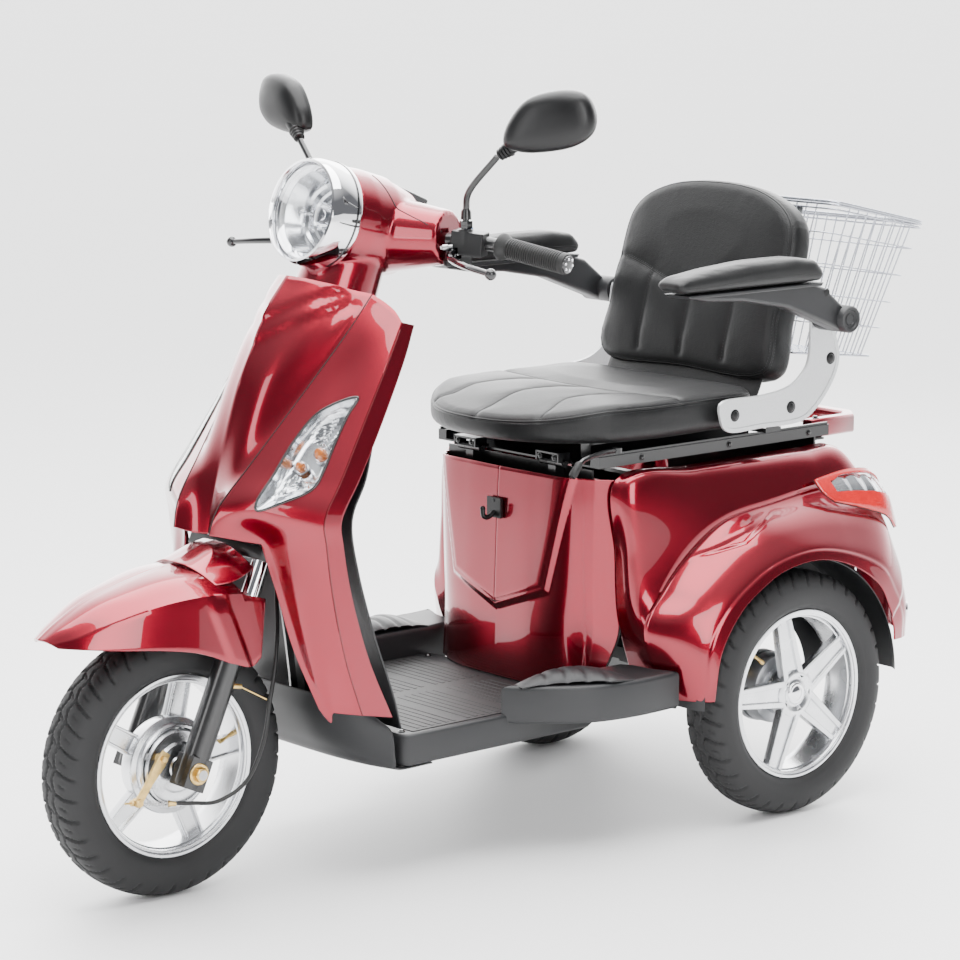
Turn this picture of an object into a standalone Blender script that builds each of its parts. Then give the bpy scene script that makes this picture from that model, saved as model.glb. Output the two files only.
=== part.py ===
"""Three-wheeled mobility scooter, modelled as separate working pieces.

Axes: +X forward, +Y to the rider's left, +Z up, ground at z = 0.  Dimensions are in metres.
Shapes are laid out from the rear axle, at x = 0, and a root empty then moves the whole
machine so that the world origin is under the middle of its overall length.
"""
import math

import bmesh
import bpy
from mathutils import Matrix, Vector

# ------------------------------------------------------------------ driving dimensions
GAP = 0.0004                 # running gap between pieces that touch
SHELL = 0.003                # thickness of moulded body shells
SHIFT_X = -0.4229            # rear axle to the middle of the overall length

WHEELBASE = 1.053
REAR_TRACK = 0.596
TYRE_RADIUS = 0.205
TYRE_HALF_WIDTH = 0.0425
RIM_RADIUS = 0.1425
RIM_HALF_WIDTH = 0.0335
WHEEL_STEPS = 20
AXLE_RADIUS = 0.008
HUB_BORE = 0.0105

RAKE = math.radians(24.0)
FORK_OFFSET = 0.028          # wheel axle ahead of the steering axis
LEG_Y = 0.075                # half the spread of the fork legs
LEG_RADIUS = 0.021
STANCHION_RADIUS = 0.015
SLIDER_BORE = 0.0172
SLIDER_LENGTH = 0.280
YOKE_ALONG = 0.345           # axle to fork yoke, along the legs
YOKE_HALF = 0.011
COLUMN_RADIUS = 0.0145
HEAD_TUBE = (0.372, 0.60)    # ends of the head tube, along the steering axis
COLUMN_TOP = 0.812

BAR_RADIUS = 0.011
GRIP_RADIUS = 0.0165
DECK_TOP = 0.235
DECK_HALF_WIDTH = 0.210
BODY_TOP = 0.585
BODY_HALF_WIDTH = 0.205      # seam between seat box or rear panel and the side fenders
SEAT_HINGE = (0.345, 0.606)
PLATFORM_Z = 0.604
CUSHION_Z = (0.6425, 0.706)
BRACKET_Y = 0.2445
ARM_PIVOT = (-0.120, 0.820)
ARM_Y = 0.292

STEER_N = Vector((-math.sin(RAKE), 0.0, math.cos(RAKE)))
STEER_P = Vector((math.cos(RAKE), 0.0, math.sin(RAKE)))
FRONT_AXLE = Vector((WHEELBASE, 0.0, TYRE_RADIUS))
STEER_FOOT = FRONT_AXLE - STEER_P * FORK_OFFSET
SIDES = ((1, "left"), (-1, "right"))

# ------------------------------------------------------------------ scene and materials
for old in list(bpy.data.objects):
    bpy.data.objects.remove(old, do_unlink=True)

PARTS = bpy.data.collections.new("mobility_scooter")
CUTTERS = bpy.data.collections.new("cutters")
bpy.context.scene.collection.children.link(PARTS)
bpy.context.scene.collection.children.link(CUTTERS)


def material(name, colour, roughness, metallic=0.0):
    mat = bpy.data.materials.new(name)
    mat.use_nodes = True
    shader = mat.node_tree.nodes["Principled BSDF"]
    shader.inputs["Base Color"].default_value = (*colour, 1.0)
    shader.inputs["Roughness"].default_value = roughness
    shader.inputs["Metallic"].default_value = metallic
    return mat


RED = material("candy_red_paint", (0.42, 0.006, 0.02), 0.22, 0.5)
BLACK_PLASTIC = material("black_plastic", (0.025, 0.025, 0.028), 0.5)
DARK_PLASTIC = material("charcoal_plastic", (0.05, 0.052, 0.056), 0.45)
BLACK_STEEL = material("black_steel", (0.012, 0.012, 0.013), 0.35, 0.4)
TYRE_RUBBER = material("tyre_rubber", (0.02, 0.02, 0.021), 0.8)
GRIP_RUBBER = material("grip_rubber", (0.018, 0.018, 0.018), 0.7)
CAST_ALLOY = material("cast_alloy", (0.78, 0.79, 0.8), 0.28, 1.0)
BARE_STEEL = material("bare_steel", (0.55, 0.55, 0.56), 0.35, 1.0)
CHROME = material("chrome", (0.9, 0.9, 0.92), 0.06, 1.0)
SILVER_PAINT = material("silver_paint", (0.72, 0.73, 0.74), 0.35, 0.6)
WIRE_WHITE = material("white_wire", (0.85, 0.85, 0.86), 0.35, 0.2)
BLACK_LEATHER = material("black_leather", (0.018, 0.018, 0.02), 0.5)
CLEAR_LENS = material("clear_lens", (0.9, 0.9, 0.9), 0.05)
RED_LENS = material("red_lens", (0.6, 0.02, 0.015), 0.1)
DISPLAY = material("display_face", (0.03, 0.04, 0.05), 0.1)
GOLD = material("zinc_gold", (0.75, 0.5, 0.15), 0.35, 1.0)
BLUE = material("blue_button", (0.02, 0.15, 0.5), 0.4)
CABLE = material("cable_sheath", (0.015, 0.015, 0.015), 0.5)


# ------------------------------------------------------------------ modelling helpers
def add_object(name, data, mat, collection=PARTS):
    obj = bpy.data.objects.new(name, data)
    collection.objects.link(obj)
    if mat is not None:
        data.materials.append(mat)
    return obj


def mesh_object(name, verts, faces, mat):
    mesh = bpy.data.meshes.new(name)
    mesh.from_pydata([tuple(v) for v in verts], [], faces)
    mesh.update()
    return add_object(name, mesh, mat)


def from_bmesh(name, bm, mat):
    mesh = bpy.data.meshes.new(name)
    bm.to_mesh(mesh)
    bm.free()
    return add_object(name, mesh, mat)


def bake(obj):
    """Replace an object's modifiers, or a curve, by the plain mesh they give."""
    bpy.context.view_layer.update()
    graph = bpy.context.evaluated_depsgraph_get()
    mesh = bpy.data.meshes.new_from_object(obj.evaluated_get(graph))
    name = obj.name
    mat = obj.data.materials[0] if obj.data.materials else None
    matrix = obj.matrix_world.copy()
    bpy.data.objects.remove(obj, do_unlink=True)
    mesh.transform(matrix)
    bm = bmesh.new()
    bm.from_mesh(mesh)
    bmesh.ops.remove_doubles(bm, verts=bm.verts, dist=0.00002)
    bm.to_mesh(mesh)
    bm.free()
    mesh.materials.clear()
    return add_object(name, mesh, mat)


def combine(base, tools, operation="UNION"):
    """Join tools to the base, or cut them from it, and remove them."""
    for tool in tools:
        boolean = base.modifiers.new(operation.lower(), "BOOLEAN")
        boolean.solver = "EXACT"
        boolean.operation = operation
        boolean.object = tool
    base = bake(base)
    for tool in tools:
        bpy.data.objects.remove(tool, do_unlink=True)
    return base


def smooth(obj, angle=40.0):
    obj.data.shade_smooth()
    obj.data.set_sharp_from_angle(angle=math.radians(angle))
    return obj


def box(name, low, high, mat, bevel=0.0):
    bm = bmesh.new()
    bmesh.ops.create_cube(bm, size=1.0)
    low, high = Vector(low), Vector(high)
    size = high - low
    bmesh.ops.transform(bm, verts=bm.verts, matrix=Matrix.Diagonal((*size, 1.0)))
    bmesh.ops.translate(bm, verts=bm.verts, vec=(low + high) / 2)
    obj = from_bmesh(name, bm, mat)
    if bevel:
        rounding = obj.modifiers.new("rounding", "BEVEL")
        rounding.width = bevel
        rounding.segments = 1
    return obj


def rod(name, start, end, radius, mat, sides=12, end_radius=None):
    """Solid round bar, or a cone, between two points."""
    start, end = Vector(start), Vector(end)
    along = end - start
    bm = bmesh.new()
    bmesh.ops.create_cone(
        bm, cap_ends=True, segments=sides, radius1=radius,
        radius2=radius if end_radius is None else end_radius, depth=along.length)
    turn = Vector((0, 0, 1)).rotation_difference(along).to_matrix().to_4x4()
    bmesh.ops.transform(bm, verts=bm.verts, matrix=Matrix.Translation((start + end) / 2) @ turn)
    return smooth(from_bmesh(name, bm, mat))


def turned(name, profile, mat, centre, axis, steps=WHEEL_STEPS, ring=True, phase=0.0):
    """Turn a (radius, height) profile about an axis.  It runs down its outer side first."""
    verts = [(r, 0.0, h) for r, h in profile]
    edges = [(i, i + 1) for i in range(len(verts) - 1)]
    if ring:
        edges.append((len(verts) - 1, 0))
    mesh = bpy.data.meshes.new(name)
    mesh.from_pydata(verts, edges, [])
    obj = add_object(name, mesh, mat)
    screw = obj.modifiers.new("turn", "SCREW")
    screw.axis = "Z"
    screw.steps = steps
    screw.render_steps = steps
    screw.use_merge_vertices = True
    screw.merge_threshold = 0.00001
    turn = Vector((0, 0, 1)).rotation_difference(Vector(axis)).to_matrix().to_4x4()
    obj.matrix_world = Matrix.Translation(Vector(centre)) @ turn @ Matrix.Rotation(phase, 4, "Z")
    return smooth(bake(obj))


def tube(name, points, radius, mat, resolution=2):
    """Round bar along a list of points."""
    curve = bpy.data.curves.new(name, "CURVE")
    curve.dimensions = "3D"
    curve.bevel_depth = radius
    curve.bevel_resolution = resolution
    curve.use_fill_caps = True
    spline = curve.splines.new("POLY")
    spline.points.add(len(points) - 1)
    for slot, point in zip(spline.points, points):
        slot.co = (*point, 1.0)
    return smooth(bake(add_object(name, curve, mat)))


def smooth_path(points, per_span=4):
    """Catmull-Rom curve through a route's own points."""
    pts = [Vector(p) for p in points]
    pts = [2 * pts[0] - pts[1]] + pts + [2 * pts[-1] - pts[-2]]
    path = []
    for a, b, c, d in zip(pts, pts[1:], pts[2:], pts[3:]):
        for step in range(per_span):
            t = step / per_span
            path.append(0.5 * (2 * b + (c - a) * t + (2 * a - 5 * b + 4 * c - d) * t * t
                               + (3 * b - a - 3 * c + d) * t ** 3))
    return path + [pts[-2]]


def plate(name, outline, thickness, mat, matrix, bevel=0.0, samples=4, rounded=True):
    """Flat outline in a plane, thickened about that plane and placed by a matrix."""
    curve = bpy.data.curves.new(name, "CURVE")
    curve.dimensions = "2D"
    curve.fill_mode = "BOTH"
    curve.extrude = thickness / 2 - bevel
    curve.bevel_depth = bevel
    curve.bevel_resolution = 1
    curve.offset = -bevel
    curve.resolution_u = samples
    spline = curve.splines.new("BEZIER" if rounded else "POLY")
    if rounded:
        spline.bezier_points.add(len(outline) - 1)
        for knot, (u, v) in zip(spline.bezier_points, outline):
            knot.co = (u, v, 0.0)
            knot.handle_left_type = "AUTO"
            knot.handle_right_type = "AUTO"
    else:
        spline.points.add(len(outline) - 1)
        for knot, (u, v) in zip(spline.points, outline):
            knot.co = (u, v, 0.0, 1.0)
    spline.use_cyclic_u = True
    obj = add_object(name, curve, mat)
    obj.matrix_world = matrix
    return smooth(bake(obj), 35.0)


def upright(y):
    """Placing of an outline drawn in X and Z, facing along Y."""
    return Matrix.Translation((0, y, 0)) @ Matrix.Rotation(math.pi / 2, 4, "X")


def cage_faces(rows, skip=()):
    """Quads between rows of points, where (row, column) cells in skip are left open."""
    count = len(rows[0])
    faces = []
    for r in range(len(rows) - 1):
        for c in range(count - 1):
            if (r, c) not in skip:
                a = r * count + c
                faces.append((a, a + count, a + count + 1, a + 1))
    return faces


def shell(name, rows, mat, thickness=SHELL, mirror=False, side=1, skip=(), levels=0,
          sharp_rows=(), sharp_columns=()):
    """Thin moulded shell over a coarse cage.  Thickness is taken on the inner side."""
    count = len(rows[0])
    verts = [(x, side * y, z) for row in rows for x, y, z in row]
    faces = cage_faces(rows, skip)
    if side < 0:
        faces = [tuple(reversed(face)) for face in faces]
    obj = mesh_object(name, verts, faces, mat)
    mesh = obj.data
    crease = mesh.attributes.new("crease_edge", "FLOAT", "EDGE")
    for edge in mesh.edges:
        a, b = edge.vertices
        same_column = a % count == b % count and a % count in sharp_columns
        same_row = a // count == b // count and a // count in sharp_rows
        crease.data[edge.index].value = 0.8 if same_column or same_row else 0.0
    bm = bmesh.new()
    bm.from_mesh(mesh)
    loose = [v for v in bm.verts if not v.link_faces]
    bmesh.ops.delete(bm, geom=loose, context="VERTS")
    bm.to_mesh(mesh)
    bm.free()
    if mirror:
        half = obj.modifiers.new("halves", "MIRROR")
        half.use_axis = (False, True, False)
        half.use_clip = True
        half.merge_threshold = 0.0001
    if levels:
        subdivide = obj.modifiers.new("form", "SUBSURF")
        subdivide.levels = levels
        subdivide.render_levels = levels
    solid = obj.modifiers.new("wall", "SOLIDIFY")
    solid.thickness = thickness
    solid.offset = -1.0
    return smooth(bake(obj), 50.0)


def steer_point(along, across=0.0, ahead=0.0):
    """Point at a distance up the steering axis, to the left of it and ahead of it."""
    return STEER_FOOT + STEER_N * along + STEER_P * ahead + Vector((0, across, 0))


def leg_point(along, side):
    return steer_point(along, side * LEG_Y, FORK_OFFSET)


# ------------------------------------------------------------------ wheels
def wheel_profile_tyre():
    bead = RIM_RADIUS + GAP
    half = [(bead, RIM_HALF_WIDTH), (0.166, TYRE_HALF_WIDTH), (0.188, 0.0385),
            (0.2025, 0.027), (TYRE_RADIUS, 0.014)]
    crown = 1.0 / math.cos(math.pi / WHEEL_STEPS)
    half = [(r * (crown if r > RIM_RADIUS + 0.01 else 1.0), y) for r, y in half]
    seat = RIM_HALF_WIDTH - 0.004 - GAP
    inner = [(bead, -seat), (0.1393 + GAP, -seat), (0.1393 + GAP, seat), (bead, seat)]
    return half + [(r, -y) for r, y in reversed(half)] + inner


def make_tyre(name, centre):
    half_facet = math.pi / WHEEL_STEPS
    return turned(name, wheel_profile_tyre(), TYRE_RUBBER, centre, (0, 1, 0), phase=half_facet)


def make_rim(name, centre, outer, hub_radius, hub_inner, hub_outer, spoke_span, half_width):
    """Cast wheel: rim barrel, drum hub and five spokes.  outer is +1 or -1 along Y."""
    flange = RIM_HALF_WIDTH - 0.004
    barrel = [(RIM_RADIUS, RIM_HALF_WIDTH), (RIM_RADIUS, flange), (0.1393, flange),
              (0.1393, -flange), (RIM_RADIUS, -flange), (RIM_RADIUS, -RIM_HALF_WIDTH),
              (0.131, -RIM_HALF_WIDTH), (0.127, -0.022), (0.127, 0.022), (0.131, RIM_HALF_WIDTH)]
    rim = turned(name, barrel, CAST_ALLOY, (0, 0, 0), (0, 1, 0), phase=math.pi / WHEEL_STEPS)
    tools = [rod("hub", (0, outer * hub_inner, 0), (0, outer * hub_outer, 0), hub_radius,
                 CAST_ALLOY, sides=14)]
    low, high = sorted((outer * spoke_span[0], outer * spoke_span[1]))
    for index in range(5):
        spoke = box("spoke", (-half_width, low, 0.02), (half_width, high, 0.1295), CAST_ALLOY)
        spoke.data.transform(Matrix.Rotation(math.tau * index / 5, 4, "Y"))
        tools.append(spoke)
    rim = combine(rim, tools)
    bore = rod("bore", (0, -0.1, 0), (0, 0.1, 0), HUB_BORE, None)
    rim = combine(rim, [bore], "DIFFERENCE")
    rim.data.transform(Matrix.Translation(centre))
    return smooth(rim, 35.0)


def wheels():
    make_tyre("front_tyre", FRONT_AXLE)
    make_rim("front_rim", FRONT_AXLE, 1, 0.056, -0.034, 0.033, (-0.012, 0.020), 0.015)
    for side, label in SIDES:
        centre = Vector((0, side * REAR_TRACK / 2, TYRE_RADIUS))
        make_tyre(f"{label}_rear_tyre", centre)
        make_rim(f"{label}_rear_rim", centre, side, 0.040, -0.030, 0.026, (0.012, 0.028),
                 0.023)


# ------------------------------------------------------------------ front fork and steering
def fork():
    crown = rod("fork_crown", steer_point(YOKE_ALONG - YOKE_HALF), steer_point(COLUMN_TOP),
                COLUMN_RADIUS, BARE_STEEL)
    tools = []
    turn = Matrix.Rotation(-RAKE, 4, "Y")
    yoke = box("yoke", (-0.022, -0.094, -YOKE_HALF), (FORK_OFFSET + 0.019, 0.094, YOKE_HALF),
               BARE_STEEL)
    yoke.matrix_world = Matrix.Translation(steer_point(YOKE_ALONG)) @ turn
    tools.append(bake(yoke))
    for side, label in SIDES:
        tools.append(rod("stanchion", leg_point(0.175, side), leg_point(YOKE_ALONG, side),
                         STANCHION_RADIUS, CHROME))
    combine(crown, tools)

    for side, label in SIDES:
        outer = rod(f"{label}_fork_slider", leg_point(-0.026, side),
                    leg_point(SLIDER_LENGTH, side), LEG_RADIUS, BLACK_STEEL)
        bore = rod("bore", leg_point(0.130, side), leg_point(SLIDER_LENGTH + 0.02, side),
                   SLIDER_BORE, None)
        eye = rod("eye", FRONT_AXLE + Vector((0, side * 0.03, 0)),
                  FRONT_AXLE + Vector((0, side * 0.12, 0)), AXLE_RADIUS + 0.0006, None)
        smooth(combine(outer, [bore, eye], "DIFFERENCE"))

    axle = rod("front_axle", FRONT_AXLE + Vector((0, -0.108, 0)),
               FRONT_AXLE + Vector((0, 0.108, 0)), AXLE_RADIUS, BARE_STEEL)
    backing = rod("backing", FRONT_AXLE + Vector((0, 0.0365, 0)),
                  FRONT_AXLE + Vector((0, 0.0475, 0)), 0.058, BARE_STEEL, sides=20)
    smooth(combine(axle, [backing]))


BRAKE_ARM_PIVOT = Vector((WHEELBASE + 0.040, 0.054, 0.228))
BRAKE_ARM_END = Vector((WHEELBASE + 0.086, 0.054, 0.168))
CABLE_START = BRAKE_ARM_END + Vector((-0.022, 0.004, -0.003))


def front_brake():
    arm = rod("front_brake_arm", BRAKE_ARM_PIVOT + Vector((0, -0.006, 0)),
              BRAKE_ARM_PIVOT + Vector((0, 0.012, 0)), 0.0105, GOLD)
    bar = rod("bar", BRAKE_ARM_PIVOT, BRAKE_ARM_END, 0.005, GOLD, sides=8)
    eye = rod("eye", BRAKE_ARM_END + Vector((0, -0.006, 0)), BRAKE_ARM_END + Vector((0, 0.010, 0)),
              0.0075, GOLD)
    smooth(combine(arm, [bar, eye]))
    route = [CABLE_START + Vector((-0.006, 0.012, 0)), (1.075, 0.078, 0.161), (1.030, 0.112, 0.163),
             (0.985, 0.122, 0.188), (0.950, 0.118, 0.240), (0.932, 0.112, 0.300),
             (0.912, 0.100, 0.350), (0.895, 0.084, 0.400), (0.882, 0.066, 0.440),
             (0.876, 0.058, 0.458)]
    tube("front_brake_cable", smooth_path(route), 0.0032, CABLE)


FENDER_ROWS = [
    # centre crown, shoulder, side and lower edge, from the front tip back to the fork legs
    [(1.272, 0.000, 0.428), (1.268, 0.012, 0.426), (1.262, 0.022, 0.422), (1.256, 0.030, 0.417)],
    [(1.238, 0.000, 0.450), (1.234, 0.026, 0.444), (1.228, 0.044, 0.432), (1.222, 0.054, 0.414)],
    [(1.186, 0.000, 0.476), (1.182, 0.036, 0.470), (1.176, 0.064, 0.450), (1.172, 0.074, 0.409)],
    [(1.128, 0.000, 0.493), (1.124, 0.042, 0.487), (1.118, 0.080, 0.466), (1.116, 0.091, 0.404)],
    [(1.070, 0.000, 0.505), (1.068, 0.050, 0.498), (1.060, 0.092, 0.474), (1.056, 0.103, 0.393)],
    [(1.018, 0.000, 0.509), (1.016, 0.054, 0.500), (1.010, 0.098, 0.474), (1.004, 0.108, 0.372)],
    [(0.978, 0.000, 0.508), (0.978, 0.054, 0.497), (0.970, 0.099, 0.470), (0.966, 0.109, 0.360)],
    [(0.978, 0.000, 0.508), (0.978, 0.054, 0.497), (0.930, 0.100, 0.459), (0.946, 0.109, 0.372)],
]


def front_fender():
    shell("front_fender", FENDER_ROWS, RED, mirror=True, skip={(6, 0), (6, 1)},
          sharp_columns=(2,))


# ------------------------------------------------------------------ handlebar and controls
BAR_HALF = [(0.668, 0.0, 0.962), (0.655, 0.045, 0.970), (0.618, 0.100, 0.984),
            (0.580, 0.155, 0.984)]
GRIP_START = Vector((0.5485, 0.207, 0.9768))
GRIP_END = Vector((0.5215, 0.3300, 0.9566))
LEVER_PIVOT = Vector((0.600, 0.152, 0.966))
STEM_BASE = Vector((0.590, 0.172, 0.992))


def mirrored(point, side):
    return Vector((point[0], side * point[1], point[2]))


def bar_path():
    """Left half of the handlebar's centre line, straight under the grip."""
    reach = GRIP_END - GRIP_START
    return smooth_path(BAR_HALF + [GRIP_START - reach * 0.05], 3) + [GRIP_START + reach * 0.93]


def handlebar():
    left = bar_path()
    points = [mirrored(p, -1) for p in reversed(left[1:])] + left
    bar = tube("handlebar", points, BAR_RADIUS, BLACK_STEEL)
    clamp = rod("clamp", steer_point(COLUMN_TOP + GAP), steer_point(COLUMN_TOP + 0.035), 0.020,
                BLACK_STEEL)
    smooth(combine(bar, [clamp]))


def grip_sleeve(name, side, start, end, radius, mat, flange=0.0):
    """Sleeve on the straight end of the bar, open through for the bar."""
    a, b = mirrored(start, side), mirrored(end, side)
    sleeve = rod(name, a, b, radius, mat, sides=16)
    tools = []
    along = (b - a).normalized()
    if flange:
        sleeve = combine(sleeve, [rod("flange", a, a + along * 0.006, radius + flange, mat,
                                      sides=16)])
    tools.append(rod("bore", a - along * 0.03, b - along * 0.0055, BAR_RADIUS + 0.0014, None,
                     sides=16))
    return smooth(combine(sleeve, tools, "DIFFERENCE"))


def switch_housing(name, side):
    """Clamshell round the bar that carries the lever pivot and the mirror boss."""
    centre = Vector((0.580, side * 0.168, 0.981))
    turn = Matrix.Rotation(side * math.radians(34.0), 4, "Z") @ Matrix.Rotation(
        side * math.radians(-6.0), 4, "X")
    body = box(name, (-0.021, -0.026, -0.019), (0.021, 0.026, 0.019), BLACK_PLASTIC, bevel=0.006)
    body.matrix_world = Matrix.Translation(centre) @ turn
    body = bake(body)
    pivot = mirrored(LEVER_PIVOT, side)
    boss = rod("boss", pivot + Vector((0.004, 0, -0.020)), pivot + Vector((0.004, 0, -0.0085)),
               0.0115, BLACK_PLASTIC)
    bridge = box("bridge", mirrored((0.572, 0.152 - side * 0.014, 0.946), side),
                 mirrored((0.600, 0.152 + side * 0.014, 0.972), side), BLACK_PLASTIC)
    stem = mirrored(STEM_BASE, side)
    socket = rod("socket", stem + Vector((0, 0, -0.01)), stem + Vector((0, 0, 0.012)), 0.0105,
                 BLACK_PLASTIC)
    body = combine(body, [boss, bridge, socket])
    bore = tube("bore", [mirrored(p, side) for p in bar_path()], BAR_RADIUS + 0.0016, None)
    slot = rod("slot", pivot + Vector((0.004, 0, -0.0085)), pivot + Vector((0.004, 0, 0.0095)),
               0.0165, None, sides=16)
    cuts = [bore, slot]
    if side > 0:
        cuts.append(rod("pocket", HORN_SEAT + HORN_N * -0.004, HORN_SEAT + HORN_N * 0.02, 0.0056,
                        None))
    return smooth(combine(body, cuts, "DIFFERENCE"))


def brake_lever(name, side):
    """Blade with a ball end that swings back to the grip."""
    pivot = mirrored(LEVER_PIVOT, side) + Vector((0.004, 0, 0))
    boss = rod(name, pivot + Vector((0, 0, -0.008)), pivot + Vector((0, 0, 0.009)), 0.0095,
               BLACK_STEEL)
    route = [pivot, pivot + Vector((0.036, side * 0.045, -0.004)),
             pivot + Vector((0.062, side * 0.110, -0.008)),
             pivot + Vector((0.068, side * 0.172, -0.014))]
    blade = tube("blade", smooth_path(route, 3), 0.0052, BLACK_STEEL)
    ball = turned("ball", [(0.0, 0.009), (0.0064, 0.0064), (0.009, 0.0), (0.0064, -0.0064),
                           (0.0, -0.009)], BLACK_STEEL, route[-1], (0, 0, 1), steps=12, ring=False)
    return smooth(combine(boss, [blade, ball]))


MIRROR_BEND = Vector((0.597, 0.190, 1.066))
MIRROR_NECK = Vector((0.590, 0.244, 1.118))
MIRROR_TURN = {1: math.radians(34.0), -1: math.radians(8.0)}
MIRROR_HEADS = {1: Vector((0.556, 0.324, 1.172)), -1: Vector((0.566, -0.318, 1.172))}
# across and up, from the neck corner round the teardrop
MIRROR_OUTLINE = [(-0.066, -0.034), (-0.030, -0.043), (0.030, -0.040), (0.064, -0.022),
                  (0.072, 0.008), (0.058, 0.038), (0.020, 0.047), (-0.030, 0.038),
                  (-0.062, 0.008), (-0.074, -0.020)]


def mirror(label, side):
    base = mirrored(STEM_BASE, side) + Vector((0, 0, 0.0125))
    route = [base, base + Vector((0, 0, 0.03)), mirrored(MIRROR_BEND, side),
             mirrored(MIRROR_NECK, side)]
    stem = tube(f"{label}_mirror_stem", smooth_path(route, 3), 0.0052, BLACK_STEEL)
    nut = rod("nut", base, base + Vector((0, 0, 0.012)), 0.0105, BLACK_STEEL, sides=6)
    smooth(combine(stem, [nut]), 35.0)

    centre = MIRROR_HEADS[side]
    tilt = Matrix.Rotation(side * MIRROR_TURN[side], 4, "Z") @ Matrix.Rotation(
        side * math.radians(6.0), 4, "X")
    stand = Matrix.Rotation(math.pi / 2, 4, "Y") @ Matrix.Rotation(math.pi / 2, 4, "Z")
    outline = [(side * u, v) for u, v in MIRROR_OUTLINE]
    if side < 0:
        outline.reverse()
    head = plate("head", outline, 0.030, BLACK_PLASTIC,
                 Matrix.Translation(centre) @ tilt @ stand, bevel=0.008, samples=3)
    head.name = f"{label}_mirror_head"
    neck_end = mirrored(MIRROR_NECK, side)
    reach = (centre - neck_end).normalized()
    neck = rod("neck", neck_end + reach * 0.0035, centre - reach * 0.030, 0.0095, BLACK_PLASTIC,
               end_radius=0.015)
    smooth(combine(head, [neck]))


HEADLIGHT = Vector((0.7205, 0.0, 1.018))
HEADLIGHT_TILT = math.radians(14.0)
HEADLIGHT_N = Vector((math.cos(HEADLIGHT_TILT), 0.0, math.sin(HEADLIGHT_TILT)))


def cowl_form(name, inset):
    """Headlight barrel, handlebar arms and steering neck joined, drawn in by the inset."""
    barrel = turned(name, [(0.0, 0.004 - inset), (0.080 - inset, 0.004 - inset),
                           (0.082 - inset, -0.030),
                           (0.080 - inset, -0.075), (0.070 - inset, -0.120),
                           (0.046 - inset, -0.160 + inset), (0.0, -0.172 + inset)],
                    RED, HEADLIGHT, HEADLIGHT_N, steps=14, ring=False)
    extra = 0.01 if inset else 0.0
    arms = []
    for side, label in SIDES:
        arms.append(rod("arm", (0.640, 0.0, 0.988), (0.592, side * (0.128 + extra), 0.988),
                        0.066 - inset, RED, sides=14, end_radius=0.044 - inset))
    foot = steer_point(0.757 - extra)
    neck = rod("neck", foot, steer_point(0.90), 0.066 - inset, RED, sides=14,
               end_radius=0.058 - inset)
    return combine(barrel, arms + [neck])


def cowl():
    outer = cowl_form("handlebar_cowl", 0.0)
    inner = cowl_form("inner", SHELL)
    mouth = rod("mouth", HEADLIGHT - HEADLIGHT_N * 0.02, HEADLIGHT + HEADLIGHT_N * 0.02, 0.0740, None,
                sides=14)
    window = box("window", (-0.042, -0.036, -0.02), (0.042, 0.036, 0.02), None)
    window.matrix_world = DISPLAY_PLACE
    face = rod("face", HEADLIGHT + HEADLIGHT_N * 0.0042, HEADLIGHT + HEADLIGHT_N * 0.09, 0.095, None)
    smooth(combine(outer, [inner, mouth, face, bake(window)], "DIFFERENCE"), 35.0)

    ring = [(0.0795, 0.058), (0.0845, 0.040), (0.0845, 0.0045), (0.0735, 0.0045), (0.0735, 0.058)]
    turned("headlight_bezel", ring, CHROME, HEADLIGHT, HEADLIGHT_N)
    turned("headlight_lens", [(0.0, 0.060), (0.045, 0.055), (0.0728, 0.040), (0.0728, 0.006),
                              (0.050, -0.020), (0.0, -0.030)],
           CLEAR_LENS, HEADLIGHT, HEADLIGHT_N, ring=False)
    display = box("instrument_display", (-0.0405, -0.0345, -0.010), (0.0405, 0.0345, 0.004), DISPLAY,
                  bevel=0.003)
    display.matrix_world = DISPLAY_PLACE
    bake(display)


DISPLAY_PLACE = Matrix.Translation((0.590, 0.0, 1.0505)) @ Matrix.Rotation(
    math.radians(-22.0), 4, "Y")


def controls():
    switch_housing("left_switch_housing", 1)
    switch_housing("right_switch_housing", -1)
    grip_sleeve("left_grip", 1, GRIP_START, GRIP_END, GRIP_RADIUS, GRIP_RUBBER, flange=0.005)
    grip_sleeve("throttle_grip", -1, GRIP_START, GRIP_END, GRIP_RADIUS, GRIP_RUBBER,
                flange=0.005)
    for side, label in SIDES:
        brake_lever(f"{label}_brake_lever", side)
        mirror(label, side)
    rod("horn_button", HORN_SEAT - HORN_N * 0.0015, HORN_SEAT + HORN_N * 0.006, 0.0050, BLUE,
        sides=10)
    key = rod("ignition_key", KEY_SEAT, KEY_SEAT + KEY_N * 0.010, 0.008, CHROME, sides=12)
    blade = box("blade", (-0.0015, -0.010, 0.008), (0.0015, 0.010, 0.030), CHROME)
    blade.matrix_world = Matrix.Translation(KEY_SEAT) @ Vector((0, 0, 1)).rotation_difference(
        KEY_N).to_matrix().to_4x4()
    combine(key, [bake(blade)])


HORN_N = Vector((0.0, 0.0, 1.0))
HORN_SEAT = Vector((0.572, 0.160, 0.9995))
KEY_N = Vector((-0.979, 0.0, -0.203)).normalized()
KEY_SEAT = Vector((0.6935, 0.045, 0.840))


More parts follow.
